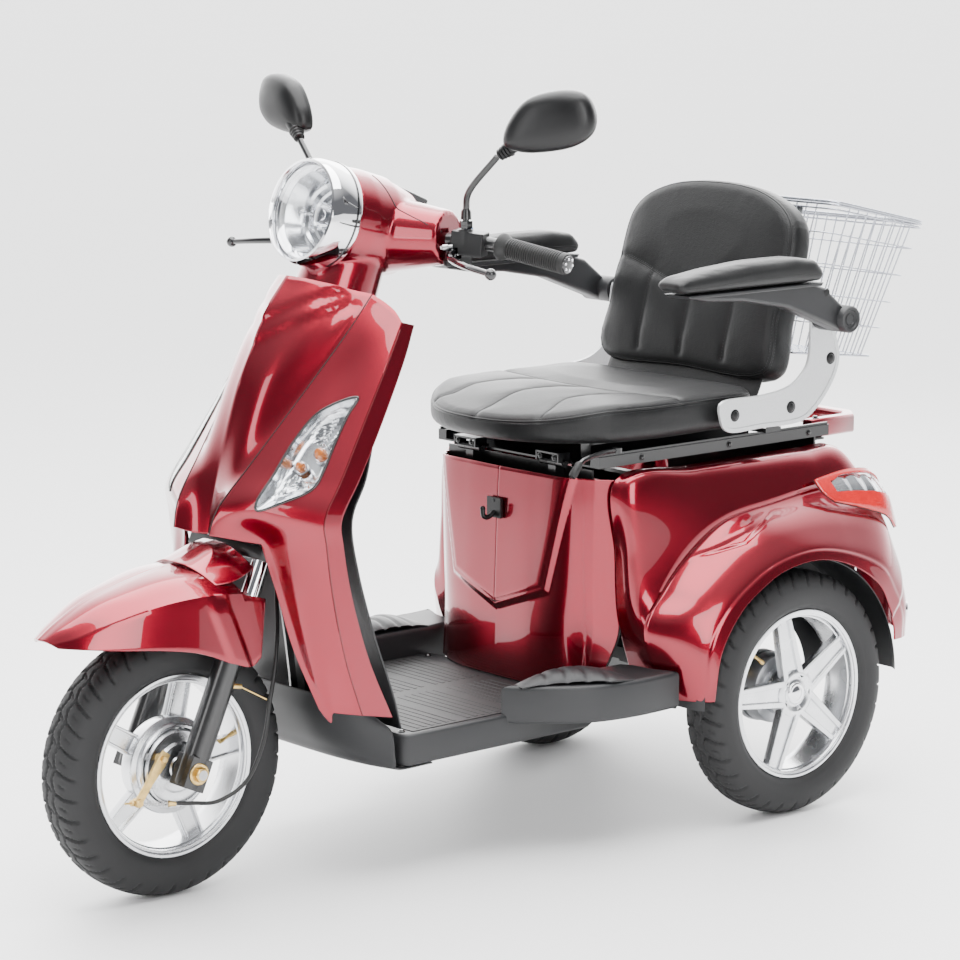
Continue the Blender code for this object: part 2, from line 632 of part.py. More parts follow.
# ------------------------------------------------------------------ front body shells
FAIRING_ROWS = [
    # centre, panel, crease, side, outer side, outer edge and rear return, from the nose down
    [(0.806, 0.0, 0.934), (0.785, 0.050, 0.928), (0.724, 0.108, 0.908), (0.716, 0.128, 0.897),
     (0.710, 0.146, 0.884), (0.708, 0.160, 0.868), (0.686, 0.163, 0.862)],
    [(0.858, 0.0, 0.868), (0.828, 0.060, 0.866), (0.772, 0.106, 0.852), (0.766, 0.130, 0.838),
     (0.756, 0.152, 0.824), (0.746, 0.171, 0.812), (0.716, 0.174, 0.808)],
    [(0.900, 0.0, 0.775), (0.886, 0.050, 0.770), (0.846, 0.089, 0.762), (0.836, 0.122, 0.748),
     (0.822, 0.154, 0.735), (0.804, 0.184, 0.726), (0.769, 0.187, 0.722)],
    [(0.934, 0.0, 0.670), (0.934, 0.038, 0.668), (0.926, 0.067, 0.664), (0.910, 0.115, 0.656),
     (0.886, 0.157, 0.650), (0.857, 0.197, 0.648), (0.823, 0.200, 0.644)],
    [(0.952, 0.0, 0.602), (0.962, 0.028, 0.600), (0.978, 0.052, 0.600), (0.956, 0.104, 0.600),
     (0.928, 0.152, 0.597), (0.895, 0.203, 0.592), (0.862, 0.206, 0.588)],
    [(0.963, 0.0, 0.548), (0.975, 0.024, 0.549), (0.993, 0.045, 0.556), (0.936, 0.100, 0.543),
     (0.918, 0.150, 0.545), (0.892, 0.203, 0.548), (0.860, 0.206, 0.545)],
    [(0.963, 0.0, 0.548), (0.975, 0.024, 0.549), (0.993, 0.045, 0.556), (0.925, 0.122, 0.470),
     (0.912, 0.162, 0.470), (0.882, 0.204, 0.470), (0.846, 0.207, 0.468)],
    [(0.963, 0.0, 0.548), (0.975, 0.024, 0.549), (0.993, 0.045, 0.556), (0.911, 0.146, 0.382),
     (0.898, 0.178, 0.378), (0.862, 0.206, 0.373), (0.815, 0.208, 0.367)],
    [(0.963, 0.0, 0.548), (0.975, 0.024, 0.549), (0.993, 0.045, 0.556), (0.888, 0.177, 0.294),
     (0.872, 0.195, 0.289), (0.832, 0.208, 0.281), (0.770, 0.209, 0.268)],
]
OPEN_ARCH = {(r, c) for r in (5, 6, 7) for c in (0, 1, 2)}

KNEE_ROWS = [
    [(0.694, 0.0, 0.858), (0.692, 0.070, 0.857), (0.693, 0.120, 0.853), (0.697, 0.152, 0.850)],
    [(0.706, 0.0, 0.800), (0.706, 0.080, 0.800), (0.714, 0.135, 0.796), (0.728, 0.168, 0.792)],
    [(0.728, 0.0, 0.725), (0.732, 0.080, 0.722), (0.750, 0.145, 0.715), (0.776, 0.181, 0.710)],
    [(0.748, 0.0, 0.655), (0.758, 0.080, 0.650), (0.780, 0.150, 0.645), (0.806, 0.194, 0.640)],
    [(0.768, 0.0, 0.580), (0.784, 0.080, 0.580), (0.812, 0.150, 0.580), (0.838, 0.200, 0.580)],
    [(0.776, 0.0, 0.500), (0.786, 0.080, 0.500), (0.806, 0.150, 0.500), (0.826, 0.200, 0.500)],
    [(0.766, 0.0, 0.400), (0.770, 0.080, 0.400), (0.780, 0.150, 0.400), (0.796, 0.200, 0.400)],
    [(0.748, 0.0, 0.300), (0.750, 0.080, 0.300), (0.754, 0.150, 0.300), (0.758, 0.198, 0.300)],
    [(0.738, 0.0, 0.242), (0.738, 0.080, 0.242), (0.738, 0.150, 0.242), (0.738, 0.192, 0.242)],
]

BELLY_ROWS = [
    [(0.822, 0.0, 0.290), (0.820, 0.080, 0.290), (0.806, 0.140, 0.288), (0.778, 0.184, 0.262)],
    [(0.820, 0.0, 0.255), (0.818, 0.080, 0.252), (0.800, 0.150, 0.248), (0.770, 0.206, 0.244)],
    [(0.806, 0.0, 0.208), (0.804, 0.080, 0.206), (0.788, 0.150, 0.202), (0.765, 0.208, 0.198)],
    [(0.780, 0.0, 0.181), (0.778, 0.080, 0.181), (0.770, 0.150, 0.181), (0.755, 0.204, 0.181)],
    [(0.680, 0.0, 0.177), (0.680, 0.080, 0.177), (0.680, 0.150, 0.177), (0.680, 0.196, 0.177)],
]


def front_shells():
    shield = shell("leg_shield", FAIRING_ROWS, RED, mirror=True, skip=OPEN_ARCH,
                   sharp_columns=(2, 5))
    windows = [indicator_plate("window", side, None, 0.060, grow=1.012) for side, label in SIDES]
    smooth(combine(shield, windows, "DIFFERENCE"), 50.0)
    # the knee panel's outer side faces the rider, so its rows run the other way across
    shell("knee_panel", [list(reversed(row)) for row in KNEE_ROWS], DARK_PLASTIC, mirror=True)
    shell("belly_cover", BELLY_ROWS, DARK_PLASTIC, mirror=True)


INDICATOR_CENTRE = Vector((0.871, 0.143, 0.678))
INDICATOR_DOWN = Vector((0.595, -0.104, -0.797)).normalized()
INDICATOR_N = Vector((0.721, 0.508, 0.471)).normalized()
# drawn down the length of the lamp and across it, towards the fairing's outer edge
INDICATOR_OUTLINE = [(-0.114, 0.010), (-0.067, -0.028), (-0.009, -0.037), (0.054, -0.034),
                     (0.116, -0.028), (0.079, 0.012), (0.045, 0.034), (0.009, 0.032),
                     (-0.031, 0.023), (-0.081, 0.014)]


def indicator_plate(name, side, mat, thickness, grow=1.0):
    """Outline of a front lamp, thickened about its place on one side of the fairing."""
    down = INDICATOR_DOWN
    across = INDICATOR_N.cross(down)
    if across.y < 0:
        across = -across
    down = mirrored(down, side)
    across = mirrored(across, side)
    normal = mirrored(INDICATOR_N, side)
    turn = 1 if down.cross(across).dot(normal) > 0 else -1
    outline = [(u * grow, turn * v * (1 + 3 * (grow - 1))) for u, v in INDICATOR_OUTLINE]
    matrix = Matrix((down, across * turn, normal)).transposed().to_4x4()
    return plate(name, outline, thickness, mat,
                 Matrix.Translation(mirrored(INDICATOR_CENTRE, side)) @ matrix, samples=2)


def indicator(label, side):
    indicator_plate(f"{label}_indicator", side, CLEAR_LENS, 0.012)


# ------------------------------------------------------------------ frame and floor
FLOOR_BEAM_Z = (0.190, 0.2215)
TRAY_Z = 0.318


def main_frame():
    head = rod("main_frame", steer_point(HEAD_TUBE[0]), steer_point(HEAD_TUBE[1]), 0.024,
               BLACK_STEEL, sides=16)
    down_path = smooth_path([steer_point(0.46, ahead=-0.02), (0.832, 0, 0.520),
                             (0.806, 0, 0.400), (0.792, 0, 0.300), (0.784, 0, 0.235),
                             (0.764, 0, 0.205), (0.700, 0, 0.2030)], 3)
    tools = [
        tube("down", down_path, 0.015, BLACK_STEEL),
        box("beam", (0.300, -0.045, FLOOR_BEAM_Z[0]), (0.705, 0.045, FLOOR_BEAM_Z[1]), BLACK_STEEL),
        box("front_outrigger", (0.600, -0.185, FLOOR_BEAM_Z[0] + 0.006),
            (0.630, 0.185, FLOOR_BEAM_Z[1]), BLACK_STEEL),
        box("rear_outrigger", (0.400, -0.185, FLOOR_BEAM_Z[0] + 0.006),
            (0.430, 0.185, FLOOR_BEAM_Z[1]), BLACK_STEEL),
        box("riser", (0.302, -0.044, FLOOR_BEAM_Z[0] + 0.002), (0.328, 0.044, TRAY_Z - 0.002),
            BLACK_STEEL),
        box("tray", (-0.189, -0.180, TRAY_Z - 0.004), (0.329, 0.180, TRAY_Z), BLACK_STEEL),
        box("bulkhead", (0.326, -0.179, TRAY_Z - 0.003), (0.330, 0.179, 0.5985), BLACK_STEEL),
        box("rear_wall", (-0.190, -0.179, TRAY_Z - 0.003), (-0.186, 0.179, 0.6025), BLACK_STEEL),
    ]
    frame = combine(head, tools)
    hinge = []
    x, z = SEAT_HINGE
    for side, label in SIDES:
        leaf = box("leaf", (0.327, side * 0.103 - 0.009, 0.575),
                   (x + 0.004, side * 0.103 + 0.009, z - 0.006), BLACK_STEEL)
        barrel = rod("barrel", (x, side * 0.103 - 0.009, z), (x, side * 0.103 + 0.009, z), 0.0075,
                     BLACK_STEEL)
        hinge += [leaf, barrel]
    frame = combine(frame, hinge)
    bore = rod("bore", steer_point(HEAD_TUBE[0] - 0.02), steer_point(HEAD_TUBE[1] + 0.02), 0.0168,
               None, sides=16)
    smooth(combine(frame, [bore], "DIFFERENCE"))


WING_X = (0.259, 0.545)


def footboard():
    """Deck with side skirts, and the raised foot wings beside the seat box."""
    top = box("footboard", (0.345, -DECK_HALF_WIDTH, 0.184), (0.750, DECK_HALF_WIDTH, DECK_TOP),
              DARK_PLASTIC, bevel=0.004)
    top = bake(top)
    hollow = box("hollow", (0.30, -DECK_HALF_WIDTH + 0.012, 0.15),
                 (0.80, DECK_HALF_WIDTH - 0.012, FLOOR_BEAM_Z[1] + GAP), None)
    top = combine(top, [hollow], "DIFFERENCE")
    wings = []
    for side, label in SIDES:
        outline = [(0.294, 0.2085), (0.281, 0.236), (0.277, 0.268), (0.264, 0.300),
                   (WING_X[0], 0.312), (0.345, 0.314), (0.425, 0.300), (0.485, 0.262),
                   (WING_X[1], 0.203), (0.380, 0.203)]
        outline = [(x, side * y) for x, y in outline]
        if side < 0:
            outline.reverse()
        wing = plate("wing", outline, 0.062, DARK_PLASTIC, Matrix.Translation((0, 0, 0.250)),
                     rounded=False)
        wings.append(wing)
    smooth(combine(top, wings), 35.0)


# ------------------------------------------------------------------ rear body shells
SEAT_BOX_ROWS = [
    [(0.366, 0.0, 0.588), (0.364, 0.080, 0.588), (0.357, 0.150, 0.587), (0.332, 0.188, 0.585),
     (0.303, 0.2035, 0.583)],
    [(0.370, 0.0, 0.520), (0.368, 0.080, 0.520), (0.360, 0.150, 0.520), (0.334, 0.188, 0.520),
     (0.303, 0.2035, 0.520)],
    [(0.374, 0.0, 0.420), (0.372, 0.080, 0.420), (0.362, 0.145, 0.420), (0.334, 0.187, 0.420),
     (0.298, 0.2035, 0.420)],
    [(0.378, 0.0, 0.330), (0.376, 0.080, 0.330), (0.364, 0.140, 0.330), (0.332, 0.186, 0.330),
     (0.292, 0.2035, 0.330)],
    [(0.380, 0.0, 0.2365), (0.378, 0.080, 0.2365), (0.365, 0.136, 0.2365), (0.345, 0.176, 0.2365),
     (0.330, 0.190, 0.2365)],
]

# rows run from the front foot of the arch, over the wheel, to the rear foot;
# columns run from the inner edge to the wheel-arch lip
REAR_FENDER_ROWS = [
    [(0.252, 0.206, 0.226), (0.250, 0.236, 0.226), (0.246, 0.268, 0.226), (0.240, 0.300, 0.227),
     (0.228, 0.330, 0.228), (0.213, 0.348, 0.229)],
    [(0.290, 0.206, 0.345), (0.292, 0.236, 0.345), (0.290, 0.262, 0.342), (0.262, 0.296, 0.335),
     (0.226, 0.332, 0.318), (0.200, 0.348, 0.306)],
    [(0.300, 0.206, 0.460), (0.295, 0.238, 0.455), (0.252, 0.263, 0.410), (0.222, 0.298, 0.395),
     (0.190, 0.334, 0.376), (0.161, 0.348, 0.364)],
    [(0.304, 0.206, 0.583), (0.270, 0.237, 0.573), (0.184, 0.263, 0.470), (0.158, 0.299, 0.448),
     (0.130, 0.335, 0.420), (0.110, 0.348, 0.400)],
    [(0.150, 0.206, 0.588), (0.140, 0.238, 0.580), (0.108, 0.263, 0.510), (0.086, 0.300, 0.484),
     (0.066, 0.336, 0.446), (0.055, 0.348, 0.423)],
    [(0.000, 0.206, 0.589), (0.000, 0.240, 0.581), (0.000, 0.264, 0.526), (-0.010, 0.300, 0.498),
     (-0.018, 0.336, 0.456), (-0.022, 0.348, 0.430)],
    [(-0.110, 0.206, 0.589), (-0.110, 0.240, 0.582), (-0.118, 0.265, 0.540), (-0.116, 0.302, 0.498),
     (-0.106, 0.337, 0.444), (-0.098, 0.348, 0.412)],
    [(-0.196, 0.206, 0.583), (-0.196, 0.238, 0.576), (-0.208, 0.266, 0.536), (-0.210, 0.304, 0.478),
     (-0.190, 0.337, 0.414), (-0.166, 0.348, 0.372)],
    [(-0.240, 0.206, 0.500), (-0.244, 0.238, 0.492), (-0.250, 0.268, 0.462), (-0.250, 0.306, 0.418),
     (-0.228, 0.337, 0.366), (-0.196, 0.348, 0.326)],
    [(-0.268, 0.206, 0.372), (-0.274, 0.238, 0.366), (-0.280, 0.270, 0.356), (-0.280, 0.306, 0.340),
     (-0.254, 0.336, 0.318), (-0.211, 0.348, 0.292)],
    [(-0.276, 0.206, 0.280), (-0.284, 0.238, 0.276), (-0.288, 0.270, 0.272), (-0.284, 0.304, 0.268),
     (-0.256, 0.334, 0.266), (-0.214, 0.348, 0.268)],
]

REAR_PANEL_ROWS = [
    [(-0.196, 0.0, 0.585), (-0.196, 0.100, 0.585), (-0.196, 0.204, 0.582)],
    [(-0.246, 0.0, 0.500), (-0.244, 0.100, 0.500), (-0.240, 0.204, 0.499)],
    [(-0.276, 0.0, 0.372), (-0.273, 0.100, 0.372), (-0.268, 0.204, 0.372)],
    [(-0.284, 0.0, 0.280), (-0.281, 0.100, 0.280), (-0.276, 0.204, 0.280)],
]


def rear_shells():
    shell("seat_box_cover", SEAT_BOX_ROWS, RED, mirror=True, sharp_columns=(3,))
    for side, label in SIDES:
        shell(f"{label}_rear_fender", REAR_FENDER_ROWS, RED, side=side, sharp_columns=(2,))
    shell("rear_body_panel", [list(reversed(row)) for row in REAR_PANEL_ROWS], RED, mirror=True)


def taillight(label, side):
    rows = [
        [(-0.084, 0.276, 0.548), (-0.092, 0.290, 0.528), (-0.108, 0.303, 0.512)],
        [(-0.150, 0.282, 0.558), (-0.158, 0.303, 0.528), (-0.160, 0.313, 0.498)],
        [(-0.206, 0.283, 0.552), (-0.218, 0.306, 0.518), (-0.220, 0.316, 0.478)],
        [(-0.240, 0.276, 0.520), (-0.255, 0.290, 0.488), (-0.258, 0.302, 0.450)],
    ]
    shell(f"{label}_taillight", rows, RED_LENS, thickness=0.006, side=side)


def bag_hook():
    plate_part = rod("bag_hook", (0.3785, 0.0, 0.520), (0.3845, 0.0, 0.520), 0.017, BLACK_PLASTIC)
    arm = tube("arm", smooth_path([(0.381, 0.0, 0.516), (0.396, 0.0, 0.506), (0.407, 0.0, 0.509),
                                   (0.409, 0.0, 0.521)], 3), 0.0042, BLACK_PLASTIC)
    combine(plate_part, [arm])


def rear_grab_rail():
    outline = [(-0.2105, 0.150), (-0.318, 0.150), (-0.350, 0.117), (-0.350, -0.117),
               (-0.318, -0.150), (-0.2105, -0.150), (-0.2105, -0.128), (-0.310, -0.128),
               (-0.328, -0.109), (-0.328, 0.109), (-0.310, 0.128), (-0.2105, 0.128)]
    plate("rear_grab_rail", outline, 0.034, RED, Matrix.Translation((0, 0, 0.606)),
          rounded=False)


# ------------------------------------------------------------------ rear axle and battery
SHOCK_Y = 0.207
AXLE_Z = TYRE_RADIUS


def rear_axle():
    housing = rod("rear_axle_housing", (0, -0.246, AXLE_Z), (0, 0.246, AXLE_Z), 0.022, BLACK_STEEL)
    tools = [
        rod("differential", (0, -0.040, AXLE_Z), (0, 0.040, AXLE_Z), 0.062, BLACK_STEEL, sides=16),
        rod("motor", (0, -0.175, AXLE_Z), (0, -0.030, AXLE_Z), 0.052, BLACK_STEEL, sides=16),
        rod("shaft", (0, -0.318, AXLE_Z), (0, 0.318, AXLE_Z), AXLE_RADIUS, BARE_STEEL),
    ]
    for side, label in SIDES:
        tools.append(rod("backing", (0, side * 0.238, AXLE_Z), (0, side * 0.2485, AXLE_Z), 0.060,
                         BLACK_STEEL, sides=16))
        tools.append(rod("shock_rod", (0, side * SHOCK_Y, AXLE_Z), (0, side * SHOCK_Y, 0.410),
                         0.0085, CHROME))
    smooth(combine(housing, tools))

    bridge = rod("rear_shock_bridge", (0, -SHOCK_Y - 0.012, 0.515), (0, SHOCK_Y + 0.012, 0.515),
                 0.014, BLACK_STEEL)
    bodies = [rod("body", (0, side * SHOCK_Y, 0.330), (0, side * SHOCK_Y, 0.515), 0.0165,
                  BLACK_STEEL) for side, label in SIDES]
    bridge = combine(bridge, bodies)
    bores = [rod("bore", (0, side * SHOCK_Y, 0.320), (0, side * SHOCK_Y, 0.460), 0.0105, None)
             for side, label in SIDES]
    smooth(combine(bridge, bores, "DIFFERENCE"))
    box("battery_pack", (-0.130, -0.170, TRAY_Z + GAP), (0.290, 0.170, 0.482), BLACK_PLASTIC,
        bevel=0.006)


# ------------------------------------------------------------------ seat
def seat_base():
    pan = box("seat_platform", (-0.200, -0.200, PLATFORM_Z), (0.335, 0.200, PLATFORM_Z + 0.003),
              BLACK_STEEL)
    x, z = SEAT_HINGE
    tools = []
    for side, label in SIDES:
        tools.append(box("side_rail", (-0.200, side * 0.190 - 0.010, PLATFORM_Z),
                         (0.335, side * 0.190 + 0.010, PLATFORM_Z + 0.018), BLACK_STEEL))
        for offset in (-0.0185, 0.0185):
            tools.append(rod("barrel", (x, side * 0.103 + offset - 0.009, z),
                             (x, side * 0.103 + offset + 0.009, z), 0.0075, BLACK_STEEL))
            tools.append(box("leaf", (0.330, side * 0.103 + offset - 0.009, PLATFORM_Z),
                             (x, side * 0.103 + offset + 0.009, PLATFORM_Z + 0.0075), BLACK_STEEL))
    smooth(combine(pan, tools))

    low = PLATFORM_Z + 0.003 + GAP
    slider = box("seat_slider_frame", (-0.055, -0.172, 0.6385), (0.330, 0.172, 0.6415),
                 BLACK_STEEL)
    tools = [box("rail", (-0.075, side * 0.120 - 0.012, low), (0.290, side * 0.120 + 0.012, 0.6395),
                 BLACK_STEEL) for side, label in SIDES]
    for side, label in SIDES:
        tools.append(box("foot", (-0.090, side * 0.110 - 0.015, 0.625),
                         (-0.052, side * 0.110 + 0.015, 0.6415), BLACK_STEEL))
        tools.append(tube("post", smooth_path([(-0.082, side * 0.110, 0.632),
                                               (-0.108, side * 0.110, 0.690),
                                               (-0.139, side * 0.110, 0.820),
                                               (-0.165, side * 0.110, 0.915)], 2), 0.0095,
                          BLACK_STEEL))
    reach = BRACKET_Y - 0.003 - GAP
    tools.append(box("cross", (-0.040, -reach, 0.632), (-0.004, reach, 0.640), BLACK_STEEL))
    for side, label in SIDES:
        tools.append(box("tab", (-0.036, side * reach - 0.002 * (1 + side), 0.634),
                         (-0.008, side * reach + 0.002 * (1 - side), 0.690), BLACK_STEEL))
    smooth(combine(slider, tools))

    lever = rod("seat_adjust_lever", (0.300, 0.2055, 0.6280), (0.300, 0.2055, 0.6360), 0.008,
                BLACK_STEEL)
    handle = tube("handle", smooth_path([(0.300, 0.2055, 0.632), (0.340, 0.2120, 0.632),
                                         (0.385, 0.2180, 0.626), (0.402, 0.2190, 0.612)], 3),
                  0.0042, BLACK_STEEL)
    combine(lever, [handle])


SEAT_OUTLINE = [(0.000, 0.208), (0.110, 0.226), (0.225, 0.228), (0.318, 0.210), (0.386, 0.160),
                (0.428, 0.085), (0.440, 0.000), (0.428, -0.085), (0.386, -0.160),
                (0.318, -0.210), (0.225, -0.228), (0.110, -0.226), (0.000, -0.208),
                (-0.014, 0.0)]
BACK_OUTLINE = [(0.000, -0.196), (0.100, -0.206), (0.190, -0.208), (0.270, -0.192),
                (0.314, -0.115), (0.326, 0.000), (0.314, 0.115), (0.270, 0.192), (0.190, 0.208),
                (0.100, 0.206), (0.000, 0.196), (-0.004, 0.0)]
BACK_FOOT = Vector((-0.060, 0.0, 0.712))
BACK_LEAN = math.radians(15.5)
BACK_THICKNESS = 0.064
CUSHION_ROUND = 0.016


def cushions():
    height = CUSHION_Z[1] - CUSHION_Z[0]
    centre = Matrix.Translation((0, 0, sum(CUSHION_Z) / 2))
    plate("seat_cushion", list(reversed(SEAT_OUTLINE)), height, BLACK_LEATHER, centre,
          bevel=CUSHION_ROUND, samples=3)
    # the outline is drawn up the back, then stood up and leaned
    lean = Matrix.Rotation(-BACK_LEAN, 4, "Y")
    stand = Matrix(((0, 0, 1, 0), (0, 1, 0, 0), (-1, 0, 0, 0), (0, 0, 0, 1)))
    outline = [(-u, v) for u, v in BACK_OUTLINE]
    plate("backrest_cushion", outline, BACK_THICKNESS, BLACK_LEATHER,
          Matrix.Translation(BACK_FOOT) @ lean @ stand, bevel=CUSHION_ROUND, samples=3)


BRACKET_OUTLINE = [(0.101, 0.696), (0.013, 0.698), (-0.050, 0.706), (-0.086, 0.728),
                   (-0.100, 0.756), (-0.104, 0.822), (-0.114, 0.836), (-0.130, 0.838),
                   (-0.142, 0.828), (-0.166, 0.776), (-0.172, 0.738), (-0.153, 0.699),
                   (-0.114, 0.660), (-0.073, 0.6435), (0.012, 0.6430), (0.087, 0.6430),
                   (0.108, 0.668)]


def brackets_and_armrests():
    for side, label in SIDES:
        plate(f"{label}_seat_bracket", BRACKET_OUTLINE, 0.006, SILVER_PAINT,
              upright(side * BRACKET_Y), rounded=False)
        x, z = ARM_PIVOT
        arm = rod(f"{label}_armrest_arm", (x, side * 0.249, z), (x, side * 0.322, z), 0.023,
                  DARK_PLASTIC, sides=16)
        outline = [(x - 0.020, z + 0.004), (x + 0.014, z - 0.021), (0.020, 0.848), (0.120, 0.8665),
                   (0.200, 0.872), (0.255, 0.884), (0.255, 0.8875), (-0.030, 0.8875),
                   (-0.070, 0.876)]
        blade = plate("blade", outline, 0.036, DARK_PLASTIC, upright(side * ARM_Y), rounded=False)
        smooth(combine(arm, [blade]))
        pad = [(-0.048, 0.888 + GAP * 2), (0.268, 0.888 + GAP * 2), (0.280, 0.904),
               (0.262, 0.917), (0.200, 0.925), (0.110, 0.932), (0.010, 0.933), (-0.034, 0.926),
               (-0.054, 0.906)]
        plate(f"{label}_armrest_pad", pad, 0.064, BLACK_LEATHER, upright(side * (ARM_Y + 0.004)),
              bevel=0.008, rounded=False)


# ------------------------------------------------------------------ basket
BASKET_WALL = 0.0012
BASKET_RIM = ((-0.200, 0.210, 1.002), (-0.428, 0.210, 0.954))
BASKET_FLOOR = ((-0.152, 0.160, 0.745), (-0.352, 0.160, 0.722))
BASKET_LIFT = Vector((-math.sin(BACK_LEAN), 0.0, math.cos(BACK_LEAN)))


def basket():
    """Open-topped basket of thin walls."""
    def ring(front, rear, inset):
        return [(front[0] - inset, front[1] - inset, front[2]),
                (rear[0] + inset, rear[1] - inset, rear[2]),
                (rear[0] + inset, -rear[1] + inset, rear[2]),
                (front[0] - inset, -front[1] + inset, front[2])]
    lift = Vector((0, 0, BASKET_WALL))
    verts = ring(*BASKET_FLOOR, 0.0) + ring(*BASKET_RIM, 0.0) + ring(*BASKET_RIM, BASKET_WALL)
    verts += [Vector(p) + lift for p in ring(*BASKET_FLOOR, BASKET_WALL)]
    faces = [(0, 1, 2, 3), (15, 14, 13, 12)]
    for level in range(3):
        for i in range(4):
            j = (i + 1) % 4
            faces.append((level * 4 + j, level * 4 + i, level * 4 + 4 + i, level * 4 + 4 + j))
    obj = mesh_object("basket", verts, faces, WIRE_WHITE)
    bm = bmesh.new()
    bm.from_mesh(obj.data)
    bmesh.ops.recalc_face_normals(bm, faces=bm.faces)
    bm.to_mesh(obj.data)
    bm.free()


# ------------------------------------------------------------------ assembly
def empty(name, location, parent=None):
    obj = bpy.data.objects.new(name, None)
    obj.empty_display_size = 0.05
    PARTS.objects.link(obj)
    obj.location = location
    obj.parent = parent
    bpy.context.view_layer.update()
    if parent is not None:
        obj.matrix_parent_inverse = parent.matrix_world.inverted()
    return obj


def hang(pivot, names):
    """Parent pieces to a pivot without moving them."""
    bpy.context.view_layer.update()
    for name in names:
        obj = bpy.data.objects[name]
        obj.parent = pivot
        obj.matrix_parent_inverse = pivot.matrix_world.inverted()


def assemble():
    root = empty("scooter_root", (0, 0, 0))
    steering = empty("steering_axis", steer_point(0.5), root)
    fork_pivot = empty("fork_travel_axis", steer_point(0.2), steering)
    hang(steering, ["fork_crown", "handlebar", "handlebar_cowl", "headlight_bezel",
                    "headlight_lens", "instrument_display", "left_grip", "left_switch_housing",
                    "right_switch_housing", "front_fender"])
    hang(fork_pivot, ["left_fork_slider", "right_fork_slider", "front_axle", "front_brake_cable"])
    hang(empty("front_wheel_axis", FRONT_AXLE, fork_pivot), ["front_tyre", "front_rim"])
    hang(empty("brake_arm_axis", BRAKE_ARM_PIVOT, fork_pivot), ["front_brake_arm"])
    hang(empty("throttle_axis", mirrored(GRIP_START, -1), steering), ["throttle_grip"])
    hang(empty("horn_axis", HORN_SEAT, steering), ["horn_button"])
    hang(empty("key_axis", KEY_SEAT, root), ["ignition_key"])
    axle = empty("rear_axle_travel_axis", (0, 0, AXLE_Z), root)
    hang(axle, ["rear_axle_housing"])
    tilt = empty("seat_tilt_axis", (SEAT_HINGE[0], 0, SEAT_HINGE[1]), root)
    slide = empty("seat_slide_axis", (0.15, 0, PLATFORM_Z), tilt)
    hang(tilt, ["seat_platform"])
    hang(slide, ["seat_slider_frame", "seat_cushion", "backrest_cushion", "left_seat_bracket",
                 "right_seat_bracket"])
    hang(empty("seat_lever_axis", (0.300, 0.2055, 0.632), slide), ["seat_adjust_lever"])
    hang(empty("basket_lift_axis", (-0.3, 0, 0.73), slide), ["basket"])
    for side, label in SIDES:
        wheel = empty(f"{label}_rear_wheel_axis", (0, side * REAR_TRACK / 2, AXLE_Z), axle)
        hang(wheel, [f"{label}_rear_tyre", f"{label}_rear_rim"])
        hang(empty(f"{label}_armrest_axis", (ARM_PIVOT[0], side * ARM_Y, ARM_PIVOT[1]), slide),
             [f"{label}_armrest_arm", f"{label}_armrest_pad"])
        hang(empty(f"{label}_lever_axis", mirrored(LEVER_PIVOT, side), steering),
             [f"{label}_brake_lever"])
        stem = empty(f"{label}_mirror_stem_axis", mirrored(STEM_BASE, side), steering)
        hang(stem, [f"{label}_mirror_stem"])
        hang(empty(f"{label}_mirror_head_axis", mirrored(MIRROR_NECK, side), stem),
             [f"{label}_mirror_head"])
    hang(root, [obj.name for obj in PARTS.objects if obj.type == "MESH" and obj.parent is None])
    root.location.x = SHIFT_X


wheels()
fork()
front_brake()
front_fender()
handlebar()
cowl()
controls()
front_shells()
main_frame()
footboard()
rear_shells()
bag_hook()
rear_grab_rail()
rear_axle()
seat_base()
cushions()
brackets_and_armrests()
basket()
for hand, word in SIDES:
    indicator(word, hand)
    taillight(word, hand)
assemble()
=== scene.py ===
"""Looks of the three-wheeled mobility scooter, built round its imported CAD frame.

Shapes are laid out from the rear axle (x = 0, +X forward, +Y to the rider's left, +Z up,
metres) and put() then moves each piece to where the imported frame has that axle.
"""
import math

import bmesh
import bpy
import numpy as np
from mathutils import Matrix, Vector
from mathutils.bvhtree import BVHTree


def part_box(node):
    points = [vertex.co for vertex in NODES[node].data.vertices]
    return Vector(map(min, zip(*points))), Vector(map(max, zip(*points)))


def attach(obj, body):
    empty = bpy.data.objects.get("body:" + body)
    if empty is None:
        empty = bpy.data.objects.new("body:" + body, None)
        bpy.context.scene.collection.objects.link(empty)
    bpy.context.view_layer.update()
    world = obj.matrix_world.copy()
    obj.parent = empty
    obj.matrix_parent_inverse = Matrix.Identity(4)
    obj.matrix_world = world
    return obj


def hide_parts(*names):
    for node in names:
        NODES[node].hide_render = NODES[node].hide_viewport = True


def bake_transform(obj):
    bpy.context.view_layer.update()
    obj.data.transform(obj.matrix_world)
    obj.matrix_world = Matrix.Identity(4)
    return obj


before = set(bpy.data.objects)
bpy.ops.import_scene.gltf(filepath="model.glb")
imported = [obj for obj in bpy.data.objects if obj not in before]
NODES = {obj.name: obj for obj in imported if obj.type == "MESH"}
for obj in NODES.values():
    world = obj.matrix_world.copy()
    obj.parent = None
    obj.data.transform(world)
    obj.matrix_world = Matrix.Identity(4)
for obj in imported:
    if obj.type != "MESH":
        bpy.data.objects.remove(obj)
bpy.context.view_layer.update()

low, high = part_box("rear_axle_housing")
X0 = (low.x + high.x) / 2
SIDES = ((1, "left"), (-1, "right"))

